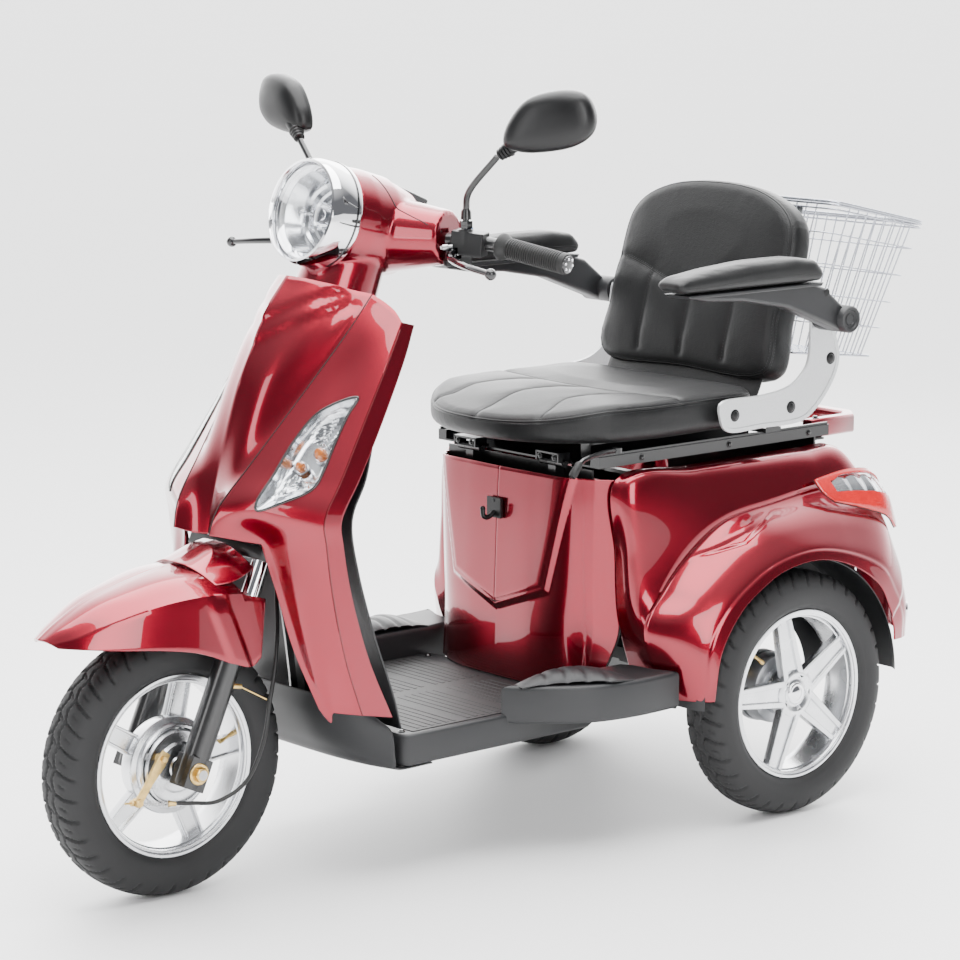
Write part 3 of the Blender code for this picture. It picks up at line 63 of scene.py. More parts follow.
# ------------------------------------------------------------------ main places
WHEELBASE = 1.053
TRACK = 0.596
TYRE_R = 0.205
RAKE = math.radians(24.0)
FORK_OFFSET = 0.028
LEG_Y = 0.075
STEER_N = Vector((-math.sin(RAKE), 0.0, math.cos(RAKE)))
STEER_P = Vector((math.cos(RAKE), 0.0, math.sin(RAKE)))
FRONT_AXLE = Vector((WHEELBASE, 0.0, TYRE_R))
STEER_FOOT = FRONT_AXLE - STEER_P * FORK_OFFSET
HEADLIGHT = Vector((0.7205, 0.0, 1.018))
HEADLIGHT_N = Vector((math.cos(math.radians(14.0)), 0.0, math.sin(math.radians(14.0))))
GRIP_START = Vector((0.5485, 0.207, 0.9768))
GRIP_END = Vector((0.5215, 0.3300, 0.9566))
LEVER_PIVOT = Vector((0.600, 0.152, 0.966))
STEM_BASE = Vector((0.590, 0.172, 0.992))
BACK_LEAN = math.radians(15.5)


# ------------------------------------------------------------------ materials
def link(tree, a, b):
    tree.links.new(a, b)


def material(name, colour, rough, metallic=0.0, shade=0.75, blotch=12.0, grain=None,
             rough_spread=0.05, **sockets):
    """Principled material with uneven colour and roughness, and a bump of one or more grains.

    shade is how dark the blotches go, blotch their scale, and grain a list of
    (texture, scale, height in metres) laid over each other.
    """
    mat = bpy.data.materials.new(name)
    mat.use_nodes = True
    tree = mat.node_tree
    bsdf = tree.nodes["Principled BSDF"]
    bsdf.inputs["Metallic"].default_value = metallic
    for key, value in sockets.items():
        bsdf.inputs[key.replace("_", " ")].default_value = value
    coords = tree.nodes.new("ShaderNodeTexCoord")
    noise = tree.nodes.new("ShaderNodeTexNoise")
    noise.inputs["Scale"].default_value = blotch
    noise.inputs["Detail"].default_value = 5.0
    link(tree, coords.outputs["Object"], noise.inputs["Vector"])
    ramp = tree.nodes.new("ShaderNodeValToRGB")
    ramp.color_ramp.elements[0].position = 0.35
    ramp.color_ramp.elements[1].position = 0.65
    ramp.color_ramp.elements[0].color = (*[c * shade for c in colour], 1.0)
    ramp.color_ramp.elements[1].color = (*colour, 1.0)
    link(tree, noise.outputs["Fac"], ramp.inputs["Fac"])
    link(tree, ramp.outputs["Color"], bsdf.inputs["Base Color"])
    spread = tree.nodes.new("ShaderNodeMapRange")
    spread.inputs["To Min"].default_value = max(rough - rough_spread, 0.0)
    spread.inputs["To Max"].default_value = rough + rough_spread
    link(tree, noise.outputs["Fac"], spread.inputs["Value"])
    link(tree, spread.outputs["Result"], bsdf.inputs["Roughness"])
    normal = None
    for kind, scale, height in grain or []:
        if kind == "cells":
            texture = tree.nodes.new("ShaderNodeTexVoronoi")
            result = texture.outputs["Distance"]
        elif kind == "bands":
            texture = tree.nodes.new("ShaderNodeTexWave")
            texture.inputs["Distortion"].default_value = 1.5
            result = texture.outputs["Fac"]
        else:
            texture = tree.nodes.new("ShaderNodeTexNoise")
            texture.inputs["Detail"].default_value = 3.0
            result = texture.outputs["Fac"]
        texture.inputs["Scale"].default_value = scale
        link(tree, coords.outputs["Object"], texture.inputs["Vector"])
        bump = tree.nodes.new("ShaderNodeBump")
        bump.inputs["Distance"].default_value = height
        bump.inputs["Strength"].default_value = 1.0
        link(tree, result, bump.inputs["Height"])
        if normal is not None:
            link(tree, normal, bump.inputs["Normal"])
        normal = bump.outputs["Normal"]
    if normal is not None:
        link(tree, normal, bsdf.inputs["Normal"])
    return mat


RED = material("candy_red_paint", (0.25, 0.0003, 0.014), 0.25, 0.90, shade=0.93, blotch=900.0,
               rough_spread=0.06, grain=[("noise", 1600.0, 0.00002)],
               Coat_Weight=1.0, Coat_Roughness=0.025, Specular_IOR_Level=0.6)
# darker copy of the red paint, used as painted shade: lines laid along creases and edges of the red
# shells
PAINTED_SHADE_RED = material("painted_shade_red", (0.12, 0.001, 0.005), 0.38, 0.5, shade=0.9, blotch=900.0,
                    Coat_Weight=0.7, Coat_Roughness=0.08)
BLACK_PLASTIC = material("satin_black_plastic", (0.005, 0.005, 0.0055), 0.36, shade=0.8,
                         Specular_IOR_Level=0.35,
                         grain=[("noise", 1400.0, 0.00006)])
GLOSS_BLACK = material("gloss_black_plastic", (0.008, 0.008, 0.009), 0.12, shade=0.8,
                       Coat_Weight=0.6, Coat_Roughness=0.05, grain=[("noise", 300.0, 0.00001)])
CHARCOAL = material("charcoal_plastic", (0.014, 0.0145, 0.016), 0.46, shade=0.82, blotch=9.0,
                    grain=[("cells", 900.0, 0.00012)])
MAT_PLASTIC = material("floor_mat", (0.008, 0.008, 0.0085), 0.58, shade=0.7, blotch=30.0,
                       grain=[("noise", 700.0, 0.0002)])
BLACK_STEEL = material("black_steel_paint", (0.005, 0.005, 0.0055), 0.30, 0.0, shade=0.8,
                       Coat_Weight=0.5, Coat_Roughness=0.12, grain=[("noise", 220.0, 0.00004)])
TYRE = material("tyre_rubber", (0.010, 0.010, 0.0108), 0.66, shade=0.7, blotch=22.0,
                grain=[("noise", 500.0, 0.00012), ("noise", 90.0, 0.0002)])
GRIP_RUBBER = material("grip_rubber", (0.006, 0.006, 0.006), 0.58, shade=0.75,
                       grain=[("cells", 1100.0, 0.0001)])
ALLOY = material("cast_alloy", (0.80, 0.81, 0.83), 0.26, 1.0, shade=0.86, blotch=25.0,
                 rough_spread=0.07, grain=[("noise", 900.0, 0.00004)])
DARK_ALLOY = material("cast_drum", (0.50, 0.51, 0.53), 0.42, 1.0, shade=0.75, blotch=40.0,
                      grain=[("noise", 600.0, 0.00012)])
STEEL = material("bare_steel", (0.55, 0.55, 0.56), 0.32, 1.0, shade=0.8, blotch=60.0,
                 grain=[("bands", 120.0, 0.00002)])
CHROME = material("chrome_plate", (0.92, 0.92, 0.94), 0.05, 1.0, shade=0.96, rough_spread=0.02,
                  grain=[("noise", 60.0, 0.00001)])
SILVER = material("silver_paint", (0.66, 0.67, 0.68), 0.34, 0.55, shade=0.93, blotch=300.0,
                  Coat_Weight=0.3, grain=[("noise", 900.0, 0.00003)])
WIRE = material("wire_coat", (0.50, 0.52, 0.57), 0.26, 0.85, shade=0.9, blotch=80.0,
                grain=[("noise", 400.0, 0.00003)])
LEATHER = material("black_leather", (0.0050, 0.0052, 0.0056), 0.43, shade=0.75, blotch=7.0,
                   rough_spread=0.07, Sheen_Weight=0.03, Specular_IOR_Level=0.32,
                   Sheen_Roughness=0.5,
                   grain=[("cells", 620.0, 0.00016), ("noise", 150.0, 0.00025)])
THREAD = material("thread", (0.035, 0.035, 0.037), 0.7, grain=[("bands", 900.0, 0.0001)])
CLEAR = material("clear_lens", (0.95, 0.96, 0.97), 0.03, shade=0.98, rough_spread=0.01,
                 Transmission_Weight=1.0, IOR=1.2, grain=[("noise", 40.0, 0.00002)])
GLASS = material("lamp_glass", (0.96, 0.97, 0.98), 0.02, shade=0.99, rough_spread=0.01,
                 Transmission_Weight=1.0, IOR=1.3, grain=[("noise", 30.0, 0.00002)])
RED_LENS = material("red_lens", (0.62, 0.010, 0.012), 0.08, shade=0.8, blotch=60.0,
                    Coat_Weight=1.0, Emission_Strength=0.0, grain=[("cells", 260.0, 0.0003)])
AMBER = material("amber_bulb", (0.85, 0.22, 0.02), 0.10, shade=0.85, Coat_Weight=1.0,
                 Transmission_Weight=0.3, grain=[("noise", 200.0, 0.00005)])
MIRROR_GLASS = material("mirror_glass", (0.85, 0.87, 0.88), 0.03, 1.0, shade=0.97,
                        rough_spread=0.01)
REFLECTOR = material("reflector", (0.90, 0.91, 0.93), 0.16, 1.0, shade=0.9, blotch=120.0,
                     grain=[("noise", 300.0, 0.00006)])
GOLD = material("zinc_gold", (0.78, 0.54, 0.20), 0.30, 1.0, shade=0.7, blotch=90.0,
                grain=[("noise", 400.0, 0.00005)])
BLUE = material("blue_button", (0.01, 0.12, 0.42), 0.3, shade=0.85, Coat_Weight=0.5)
CABLE = material("cable_sheath", (0.010, 0.010, 0.010), 0.42, shade=0.8,
                 grain=[("bands", 260.0, 0.00008)])
SEAM = material("panel_gap", (0.004, 0.002, 0.002), 0.6, shade=0.6, blotch=40.0)
SEAM_THREAD = material("seam_fold", (0.004, 0.004, 0.004), 0.7, shade=0.6,
                       grain=[("bands", 700.0, 0.0001)])
DISPLAY = material("display_glass", (0.02, 0.03, 0.035), 0.10, shade=0.7, blotch=30.0,
                   Coat_Weight=1.0, grain=[("noise", 60.0, 0.00001)])
GALVANISED = material("galvanised_steel", (0.45, 0.46, 0.47), 0.45, 1.0, shade=0.7, blotch=60.0,
                      grain=[("cells", 140.0, 0.00006)])


# ------------------------------------------------------------------ shape helpers
def mesh_object(name, verts, faces):
    mesh = bpy.data.meshes.new(name)
    mesh.from_pydata([tuple(v) for v in verts], [], faces)
    mesh.update()
    obj = bpy.data.objects.new(name, mesh)
    bpy.context.scene.collection.objects.link(obj)
    return obj


def from_bmesh(name, bm):
    mesh = bpy.data.meshes.new(name)
    bm.to_mesh(mesh)
    bm.free()
    obj = bpy.data.objects.new(name, mesh)
    bpy.context.scene.collection.objects.link(obj)
    return obj


def bake(obj):
    """Replace an object's modifiers or curve by the plain mesh they give."""
    bpy.context.view_layer.update()
    graph = bpy.context.evaluated_depsgraph_get()
    mesh = bpy.data.meshes.new_from_object(obj.evaluated_get(graph))
    mesh.transform(obj.matrix_world)
    name = obj.name
    bpy.data.objects.remove(obj, do_unlink=True)
    done = bpy.data.objects.new(name, mesh)
    done.name = name
    bpy.context.scene.collection.objects.link(done)
    return done


def join(name, objs):
    """One object from several plain meshes."""
    bm = bmesh.new()
    for obj in objs:
        baked = bake(obj)
        bm.from_mesh(baked.data)
        bpy.data.objects.remove(baked, do_unlink=True)
    return from_bmesh(name, bm)


def put(obj, mat, body, stands=(), angle=40.0, bevel=0.0):
    """Finish a piece: material, shading, place, the body it rides on and nodes it stands for."""
    obj.data.materials.clear()
    obj.data.materials.append(mat)
    if obj.type == "MESH":
        obj.data.shade_smooth()
        obj.data.set_sharp_from_angle(angle=math.radians(angle))
    if bevel:
        rounding = obj.modifiers.new("rounding", "BEVEL")
        rounding.width = bevel
        rounding.segments = 3
        rounding.limit_method = "ANGLE"
        rounding.angle_limit = math.radians(38.0)
        rounding.harden_normals = False
    obj.location.x += X0
    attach(obj, body)
    if stands:
        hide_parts(*([stands] if isinstance(stands, str) else stands))
    return obj


def mirrored(point, side):
    return Vector((point[0], side * point[1], point[2]))


def box(name, low, high, matrix=None):
    bm = bmesh.new()
    bmesh.ops.create_cube(bm, size=1.0)
    low, high = Vector(low), Vector(high)
    bmesh.ops.transform(bm, verts=bm.verts, matrix=Matrix.Diagonal((*(high - low), 1.0)))
    bmesh.ops.translate(bm, verts=bm.verts, vec=(low + high) / 2)
    if matrix is not None:
        bmesh.ops.transform(bm, verts=bm.verts, matrix=matrix)
    return from_bmesh(name, bm)


def facing(axis, centre=(0, 0, 0)):
    turn = Vector((0, 0, 1)).rotation_difference(Vector(axis)).to_matrix().to_4x4()
    return Matrix.Translation(Vector(centre)) @ turn


def rod(name, start, end, radius, sides=24, end_radius=None):
    start, end = Vector(start), Vector(end)
    bm = bmesh.new()
    bmesh.ops.create_cone(bm, cap_ends=True, segments=sides, radius1=radius,
                          radius2=radius if end_radius is None else end_radius,
                          depth=(end - start).length)
    bmesh.ops.transform(bm, verts=bm.verts, matrix=facing(end - start, (start + end) / 2))
    return from_bmesh(name, bm)


def turned(name, profile, centre, axis, steps=48, closed=False):
    """Surface turned about an axis from (radius, height) points, run from the top down."""
    count = len(profile)
    verts = []
    for i in range(steps):
        a = math.tau * i / steps
        verts += [(r * math.cos(a), r * math.sin(a), h) for r, h in profile]
    spans = count if closed else count - 1
    faces = []
    for i in range(steps):
        j = (i + 1) % steps
        for k in range(spans):
            m = (k + 1) % count
            faces.append((i * count + k, i * count + m, j * count + m, j * count + k))
    obj = mesh_object(name, verts, faces)
    bm = bmesh.new()
    bm.from_mesh(obj.data)
    bmesh.ops.remove_doubles(bm, verts=bm.verts, dist=0.000005)
    bmesh.ops.dissolve_degenerate(bm, edges=bm.edges, dist=0.000001)
    bmesh.ops.recalc_face_normals(bm, faces=bm.faces)
    bm.to_mesh(obj.data)
    bm.free()
    obj.data.transform(facing(axis, centre))
    return obj


def curve_points(points, per_span=6, breaks=()):
    """Catmull-Rom curve through the points, with corners kept at the break indices."""
    cuts = [0, *[b for b in breaks if 0 < b < len(points) - 1], len(points) - 1]
    path = []
    for first, last in zip(cuts, cuts[1:]):
        pts = [np.array(p, float) for p in points[first:last + 1]]
        pts = [2 * pts[0] - pts[1]] + pts + [2 * pts[-1] - pts[-2]]
        for a, b, c, d in zip(pts, pts[1:], pts[2:], pts[3:]):
            for step in range(per_span):
                t = step / per_span
                path.append(0.5 * (2 * b + (c - a) * t + (2 * a - 5 * b + 4 * c - d) * t * t
                                   + (3 * b - a - 3 * c + d) * t ** 3))
    return path + [np.array(points[-1], float)]


def tube(name, points, radius, cyclic=False, resolution=4, radii=None):
    """Round bar along a list of points, as a mesh."""
    curve = bpy.data.curves.new(name, "CURVE")
    curve.dimensions = "3D"
    curve.bevel_depth = radius
    curve.bevel_resolution = resolution
    curve.use_fill_caps = not cyclic
    spline = curve.splines.new("POLY")
    spline.points.add(len(points) - 1)
    for index, (slot, point) in enumerate(zip(spline.points, points)):
        slot.co = (*point, 1.0)
        if radii is not None:
            slot.radius = radii[index]
    spline.use_cyclic_u = cyclic
    obj = bpy.data.objects.new(name, curve)
    bpy.context.scene.collection.objects.link(obj)
    return bake(obj)


def fine_grid(rows, per_row=8, per_col=8, row_breaks=(), col_breaks=()):
    across = [curve_points(row, per_col, col_breaks) for row in rows]
    columns = [curve_points([row[c] for row in across], per_row, row_breaks)
               for c in range(len(across[0]))]
    return np.array(columns).transpose(1, 0, 2)


def grid_normals(grid):
    along = np.gradient(grid, axis=0)
    over = np.gradient(grid, axis=1)
    normal = np.cross(along, over)
    size = np.linalg.norm(normal, axis=2, keepdims=True)
    return normal / np.maximum(size, 1e-9)


def step(value, low, high):
    t = np.clip((value - low) / (high - low), 0.0, 1.0)
    return t * t * (3 - 2 * t)


def distance_to(points, line):
    """Distance of each (a, b) point to a polyline, negative on its right-hand side."""
    best = np.full(points.shape[:-1], 1e9)
    sign = np.ones(points.shape[:-1])
    for a, b in zip(line, line[1:]):
        a, b = np.array(a, float), np.array(b, float)
        ab = b - a
        t = np.clip(((points - a) @ ab) / (ab @ ab), 0.0, 1.0)
        gap = points - (a + t[..., None] * ab)
        d = np.linalg.norm(gap, axis=-1)
        side = ab[0] * (points[..., 1] - a[1]) - ab[1] * (points[..., 0] - a[0])
        nearer = d < best - 1e-9
        best = np.where(nearer, d, best)
        sign = np.where(nearer, np.sign(side), sign)
    return best * sign


def inside(points, outline):
    """Signed distance to a closed outline, positive inside it."""
    ring = list(outline) + [outline[0]]
    best = np.abs(distance_to(points, ring))
    x, y = points[..., 0], points[..., 1]
    hit = np.zeros(x.shape, bool)
    for (ax, ay), (bx, by) in zip(ring, ring[1:]):
        crosses = (ay > y) != (by > y)
        edge = ax + (y - ay) * (bx - ax) / (by - ay if by != ay else 1e-12)
        hit ^= crosses & (x < edge)
    return np.where(hit, best, -best)


def sheet_object(name, grid, side=1, skip=(), cell=(1, 1)):
    """Mesh from a grid of points; coarse cells listed in skip stay open."""
    rows, cols = grid.shape[:2]
    verts = grid.reshape(-1, 3) * np.array([1.0, side, 1.0])
    faces = []
    for r in range(rows - 1):
        for c in range(cols - 1):
            if (r // cell[0], c // cell[1]) in skip:
                continue
            a = r * cols + c
            face = (a, a + cols, a + cols + 1, a + 1)
            faces.append(face if side > 0 else tuple(reversed(face)))
    obj = mesh_object(name, verts, faces)
    bm = bmesh.new()
    bm.from_mesh(obj.data)
    bmesh.ops.delete(bm, geom=[v for v in bm.verts if not v.link_faces], context="VERTS")
    bmesh.ops.remove_doubles(bm, verts=bm.verts, dist=0.00002)
    bm.to_mesh(obj.data)
    bm.free()
    return obj


def thicken(obj, thickness=0.003, mirror=False, rim=0.0008):
    """Give a sheet its wall, on the inner side, with a rounded rim."""
    if mirror:
        half = obj.modifiers.new("halves", "MIRROR")
        half.use_axis = (False, True, False)
        half.use_clip = True
        half.merge_threshold = 0.0002
    wall = obj.modifiers.new("wall", "SOLIDIFY")
    wall.thickness = thickness
    wall.offset = -1.0
    if rim:
        edge = obj.modifiers.new("rim", "BEVEL")
        edge.width = rim
        edge.segments = 2
        edge.limit_method = "ANGLE"
        edge.angle_limit = math.radians(60.0)
    return bake(obj)


def outline_plate(name, outline, thickness, matrix, bevel=0.0, per_span=6, breaks=None, holes=()):
    """Flat outline thickened about its plane; corners at the break indices, else smooth."""
    curve = bpy.data.curves.new(name, "CURVE")
    curve.dimensions = "2D"
    curve.fill_mode = "BOTH"
    curve.extrude = thickness / 2 - bevel
    curve.bevel_depth = bevel
    curve.bevel_resolution = 3
    curve.offset = -bevel
    loops = [outline] + list(holes)
    for loop in loops:
        ring = [(u, v, 0.0) for u, v in loop]
        if breaks is None:
            count = len(ring)
            path = curve_points(ring[-2:] + ring + ring[:2], per_span)
            path = path[2 * per_span:(2 + count) * per_span]
        elif breaks == "all":
            path = ring
        else:
            path = curve_points(ring + ring[:1], per_span, breaks)[:-1]
        spline = curve.splines.new("POLY")
        spline.points.add(len(path) - 1)
        for knot, co in zip(spline.points, path):
            knot.co = (co[0], co[1], 0.0, 1.0)
        spline.use_cyclic_u = True
    obj = bpy.data.objects.new(name, curve)
    bpy.context.scene.collection.objects.link(obj)
    obj.matrix_world = matrix
    return bake(obj)


def upright(y):
    return Matrix.Translation((0, y, 0)) @ Matrix.Rotation(math.pi / 2, 4, "X")


def surface_tree(obj):
    bm = bmesh.new()
    bm.from_mesh(obj.data)
    tree = BVHTree.FromBMesh(bm)
    bm.free()
    return tree


def drop_on(tree, points, lift=0.0):
    """Nearest places on a surface, lifted along its normal."""
    found = []
    for point in points:
        place, normal, _, _ = tree.find_nearest(Vector(point))
        found.append(place + normal * lift)
    return found


def bolt(name, centre, axis, radius, height, hexagon=True):
    """Bolt head with a washer, or a domed cap."""
    base = turned("washer", [(0, height * 0.22), (radius * 1.35, height * 0.22),
                             (radius * 1.45, height * 0.1), (radius * 1.45, 0.0), (0, 0.0)],
                  centre, axis, 24)
    if hexagon:
        head = turned("head", [(0, height), (radius * 0.80, height), (radius, height * 0.85),
                               (radius, height * 0.2), (0, height * 0.2)], centre, axis, 6)
    else:
        head = turned("head", [(0, height), (radius * 0.5, height * 0.97),
                               (radius * 0.85, height * 0.75),
                               (radius, height * 0.35), (radius, height * 0.1), (0, 0.1 * height)],
                      centre, axis, 24)
    return join(name, [base, head])


def steer_point(along, across=0.0, ahead=0.0):
    return STEER_FOOT + STEER_N * along + STEER_P * ahead + Vector((0, across, 0))


def leg_point(along, side):
    return steer_point(along, side * LEG_Y, FORK_OFFSET)


# ------------------------------------------------------------------ camera, light and floor
def studio():
    camera = bpy.data.cameras.new("camera")
    camera.lens = 119.94
    camera.sensor_width = 36.0
    camera.clip_end = 1500.0
    eye = bpy.data.objects.new("camera", camera)
    bpy.context.scene.collection.objects.link(eye)
    eye.location = (3.7718 + X0, 3.9092, 1.4756)
    yaw, pitch = -2.28043, -0.17417
    look = Vector((math.cos(pitch) * math.cos(yaw), math.cos(pitch) * math.sin(yaw),
                   math.sin(pitch)))
    eye.rotation_euler = look.to_track_quat("-Z", "Y").to_euler()
    bpy.context.scene.camera = eye

    world = bpy.data.worlds.new("studio")
    bpy.context.scene.world = world
    world.use_nodes = True
    tree = world.node_tree
    background = tree.nodes["Background"]
    # bright backdrop behind the scooter as photographed, dimmer on the camera's side, and a
    # soft ceiling, so that the paint has something dark to reflect
    coords = tree.nodes.new("ShaderNodeTexCoord")
    toward = tree.nodes.new("ShaderNodeVectorMath")
    toward.operation = "DOT_PRODUCT"
    toward.inputs[1].default_value = (-0.64, -0.76, 0.10)
    link(tree, coords.outputs["Generated"], toward.inputs[0])
    ramp = tree.nodes.new("ShaderNodeValToRGB")
    ramp.color_ramp.elements[0].position = 0.15
    ramp.color_ramp.elements[0].color = (0.024, 0.0245, 0.026, 1.0)
    ramp.color_ramp.elements[1].position = 0.93
    ramp.color_ramp.elements[1].color = (1.0, 1.0, 1.0, 1.0)
    link(tree, toward.outputs["Value"], ramp.inputs["Fac"])
    split = tree.nodes.new("ShaderNodeSeparateXYZ")
    link(tree, coords.outputs["Generated"], split.inputs["Vector"])
    ceiling = tree.nodes.new("ShaderNodeMapRange")
    ceiling.inputs["From Min"].default_value = 0.45
    ceiling.inputs["From Max"].default_value = 0.95
    ceiling.inputs["To Max"].default_value = 0.15
    link(tree, split.outputs["Z"], ceiling.inputs["Value"])
    total = tree.nodes.new("ShaderNodeMixRGB")
    total.blend_type = "ADD"
    total.inputs["Fac"].default_value = 1.0
    link(tree, ramp.outputs["Color"], total.inputs["Color1"])
    link(tree, ceiling.outputs["Result"], total.inputs["Color2"])
    link(tree, total.outputs["Color"], background.inputs["Color"])
    background.inputs["Strength"].default_value = 7.5

    lamps = [("top_light", (0.1, 0.2, 3.4), (0.1, 0.0, 0.4), (3.2, 3.2), 260.0),
             ("left_light", (1.3, 4.2, 2.2), (0.0, 0.0, 0.6), (1.6, 3.0), 120.0),
             ("front_light", (4.4, 0.4, 1.9), (0.3, 0.0, 0.6), (1.2, 2.8), 60.0),
             ("back_light", (-3.2, -2.6, 2.6), (0.0, 0.0, 0.6), (2.4, 2.4), 60.0)]
    for name, place, aim, size, power in lamps:
        lamp = bpy.data.lights.new(name, "AREA")
        lamp.shape = "RECTANGLE"
        lamp.size, lamp.size_y = size
        lamp.energy = power
        obj = bpy.data.objects.new(name, lamp)
        bpy.context.scene.collection.objects.link(obj)
        obj.location = place
        obj.rotation_euler = (Vector(aim) - Vector(place)).to_track_quat("-Z", "Y").to_euler()

    floor = box("studio_floor", (-400, -400, -0.02), (400, 400, 0.0))
    floor.data.materials.append(material("floor_paint", (0.93, 0.93, 0.93), 0.55, shade=0.985,
                                         blotch=0.7, grain=[("noise", 40.0, 0.0001)]))


studio()


# ------------------------------------------------------------------ front body shells
FAIRING_ROWS = [
    # centre, panel, crease, side, outer side, outer edge and rear return, from the nose down
    [(0.806, 0.0, 0.934), (0.785, 0.050, 0.928), (0.724, 0.108, 0.908), (0.716, 0.128, 0.897),
     (0.710, 0.146, 0.884), (0.708, 0.160, 0.868), (0.686, 0.163, 0.862)],
    [(0.858, 0.0, 0.868), (0.828, 0.060, 0.866), (0.772, 0.106, 0.852), (0.766, 0.130, 0.838),
     (0.756, 0.152, 0.824), (0.746, 0.171, 0.812), (0.716, 0.174, 0.808)],
    [(0.900, 0.0, 0.775), (0.886, 0.050, 0.770), (0.846, 0.089, 0.762), (0.836, 0.122, 0.748),
     (0.822, 0.154, 0.735), (0.804, 0.184, 0.726), (0.769, 0.187, 0.722)],
    [(0.934, 0.0, 0.670), (0.934, 0.038, 0.668), (0.926, 0.067, 0.664), (0.910, 0.115, 0.656),
     (0.886, 0.157, 0.650), (0.857, 0.197, 0.648), (0.823, 0.200, 0.644)],
    [(0.952, 0.0, 0.602), (0.962, 0.028, 0.600), (0.978, 0.052, 0.600), (0.956, 0.104, 0.600),
     (0.928, 0.152, 0.597), (0.895, 0.203, 0.592), (0.862, 0.206, 0.588)],
    [(0.963, 0.0, 0.548), (0.975, 0.024, 0.549), (0.993, 0.045, 0.556), (0.936, 0.100, 0.543),
     (0.918, 0.150, 0.545), (0.892, 0.203, 0.548), (0.860, 0.206, 0.545)],
    [(0.963, 0.0, 0.548), (0.975, 0.024, 0.549), (0.993, 0.045, 0.556), (0.925, 0.122, 0.470),
     (0.912, 0.162, 0.470), (0.882, 0.204, 0.470), (0.846, 0.207, 0.468)],
    [(0.963, 0.0, 0.548), (0.975, 0.024, 0.549), (0.993, 0.045, 0.556), (0.911, 0.146, 0.382),
     (0.898, 0.178, 0.378), (0.862, 0.206, 0.373), (0.815, 0.208, 0.367)],
    [(0.963, 0.0, 0.548), (0.975, 0.024, 0.549), (0.993, 0.045, 0.556), (0.888, 0.177, 0.294),
     (0.872, 0.195, 0.289), (0.832, 0.208, 0.281), (0.770, 0.209, 0.268)],
]
OPEN_ARCH = {(r, c) for r in (5, 6, 7) for c in (0, 1, 2)}

KNEE_ROWS = [
    [(0.694, 0.0, 0.858), (0.692, 0.070, 0.857), (0.693, 0.120, 0.853), (0.697, 0.152, 0.850)],
    [(0.706, 0.0, 0.800), (0.706, 0.080, 0.800), (0.714, 0.135, 0.796), (0.728, 0.168, 0.792)],
    [(0.728, 0.0, 0.725), (0.732, 0.080, 0.722), (0.750, 0.145, 0.715), (0.776, 0.181, 0.710)],
    [(0.748, 0.0, 0.655), (0.758, 0.080, 0.650), (0.780, 0.150, 0.645), (0.806, 0.194, 0.640)],
    [(0.768, 0.0, 0.580), (0.784, 0.080, 0.580), (0.812, 0.150, 0.580), (0.838, 0.200, 0.580)],
    [(0.776, 0.0, 0.500), (0.786, 0.080, 0.500), (0.806, 0.150, 0.500), (0.826, 0.200, 0.500)],
    [(0.766, 0.0, 0.400), (0.770, 0.080, 0.400), (0.780, 0.150, 0.400), (0.796, 0.200, 0.400)],
    [(0.748, 0.0, 0.300), (0.750, 0.080, 0.300), (0.754, 0.150, 0.300), (0.758, 0.198, 0.300)],
    [(0.738, 0.0, 0.242), (0.738, 0.080, 0.242), (0.738, 0.150, 0.242), (0.738, 0.192, 0.242)],
]

BELLY_ROWS = [
    [(0.822, 0.0, 0.290), (0.820, 0.080, 0.290), (0.806, 0.140, 0.288), (0.778, 0.184, 0.262)],
    [(0.820, 0.0, 0.255), (0.818, 0.080, 0.252), (0.800, 0.150, 0.248), (0.770, 0.206, 0.244)],
    [(0.806, 0.0, 0.208), (0.804, 0.080, 0.206), (0.788, 0.150, 0.202), (0.765, 0.208, 0.198)],
    [(0.780, 0.0, 0.181), (0.778, 0.080, 0.181), (0.770, 0.150, 0.181), (0.755, 0.204, 0.181)],
    [(0.680, 0.0, 0.177), (0.680, 0.080, 0.177), (0.680, 0.150, 0.177), (0.680, 0.196, 0.177)],
]

INDICATOR_CENTRE = Vector((0.871, 0.143, 0.678))
INDICATOR_DOWN = Vector((0.595, -0.104, -0.797)).normalized()
INDICATOR_N = Vector((0.721, 0.508, 0.471)).normalized()
INDICATOR_ACROSS = INDICATOR_N.cross(INDICATOR_DOWN)
INDICATOR_OUTLINE = [(-0.114, 0.010), (-0.067, -0.028), (-0.009, -0.037), (0.054, -0.034),
                     (0.116, -0.028), (0.079, 0.012), (0.045, 0.034), (0.009, 0.032),
                     (-0.031, 0.023), (-0.081, 0.014)]


def seam(name, points, body, radius=0.0009, mat=SEAM):
    """Dark gap line between two panels, sunk into the surface; laid in the darker red it is a
    painted shade line along a crease or edge.
    """
    return put(tube(name, points, radius, resolution=2), mat, body)


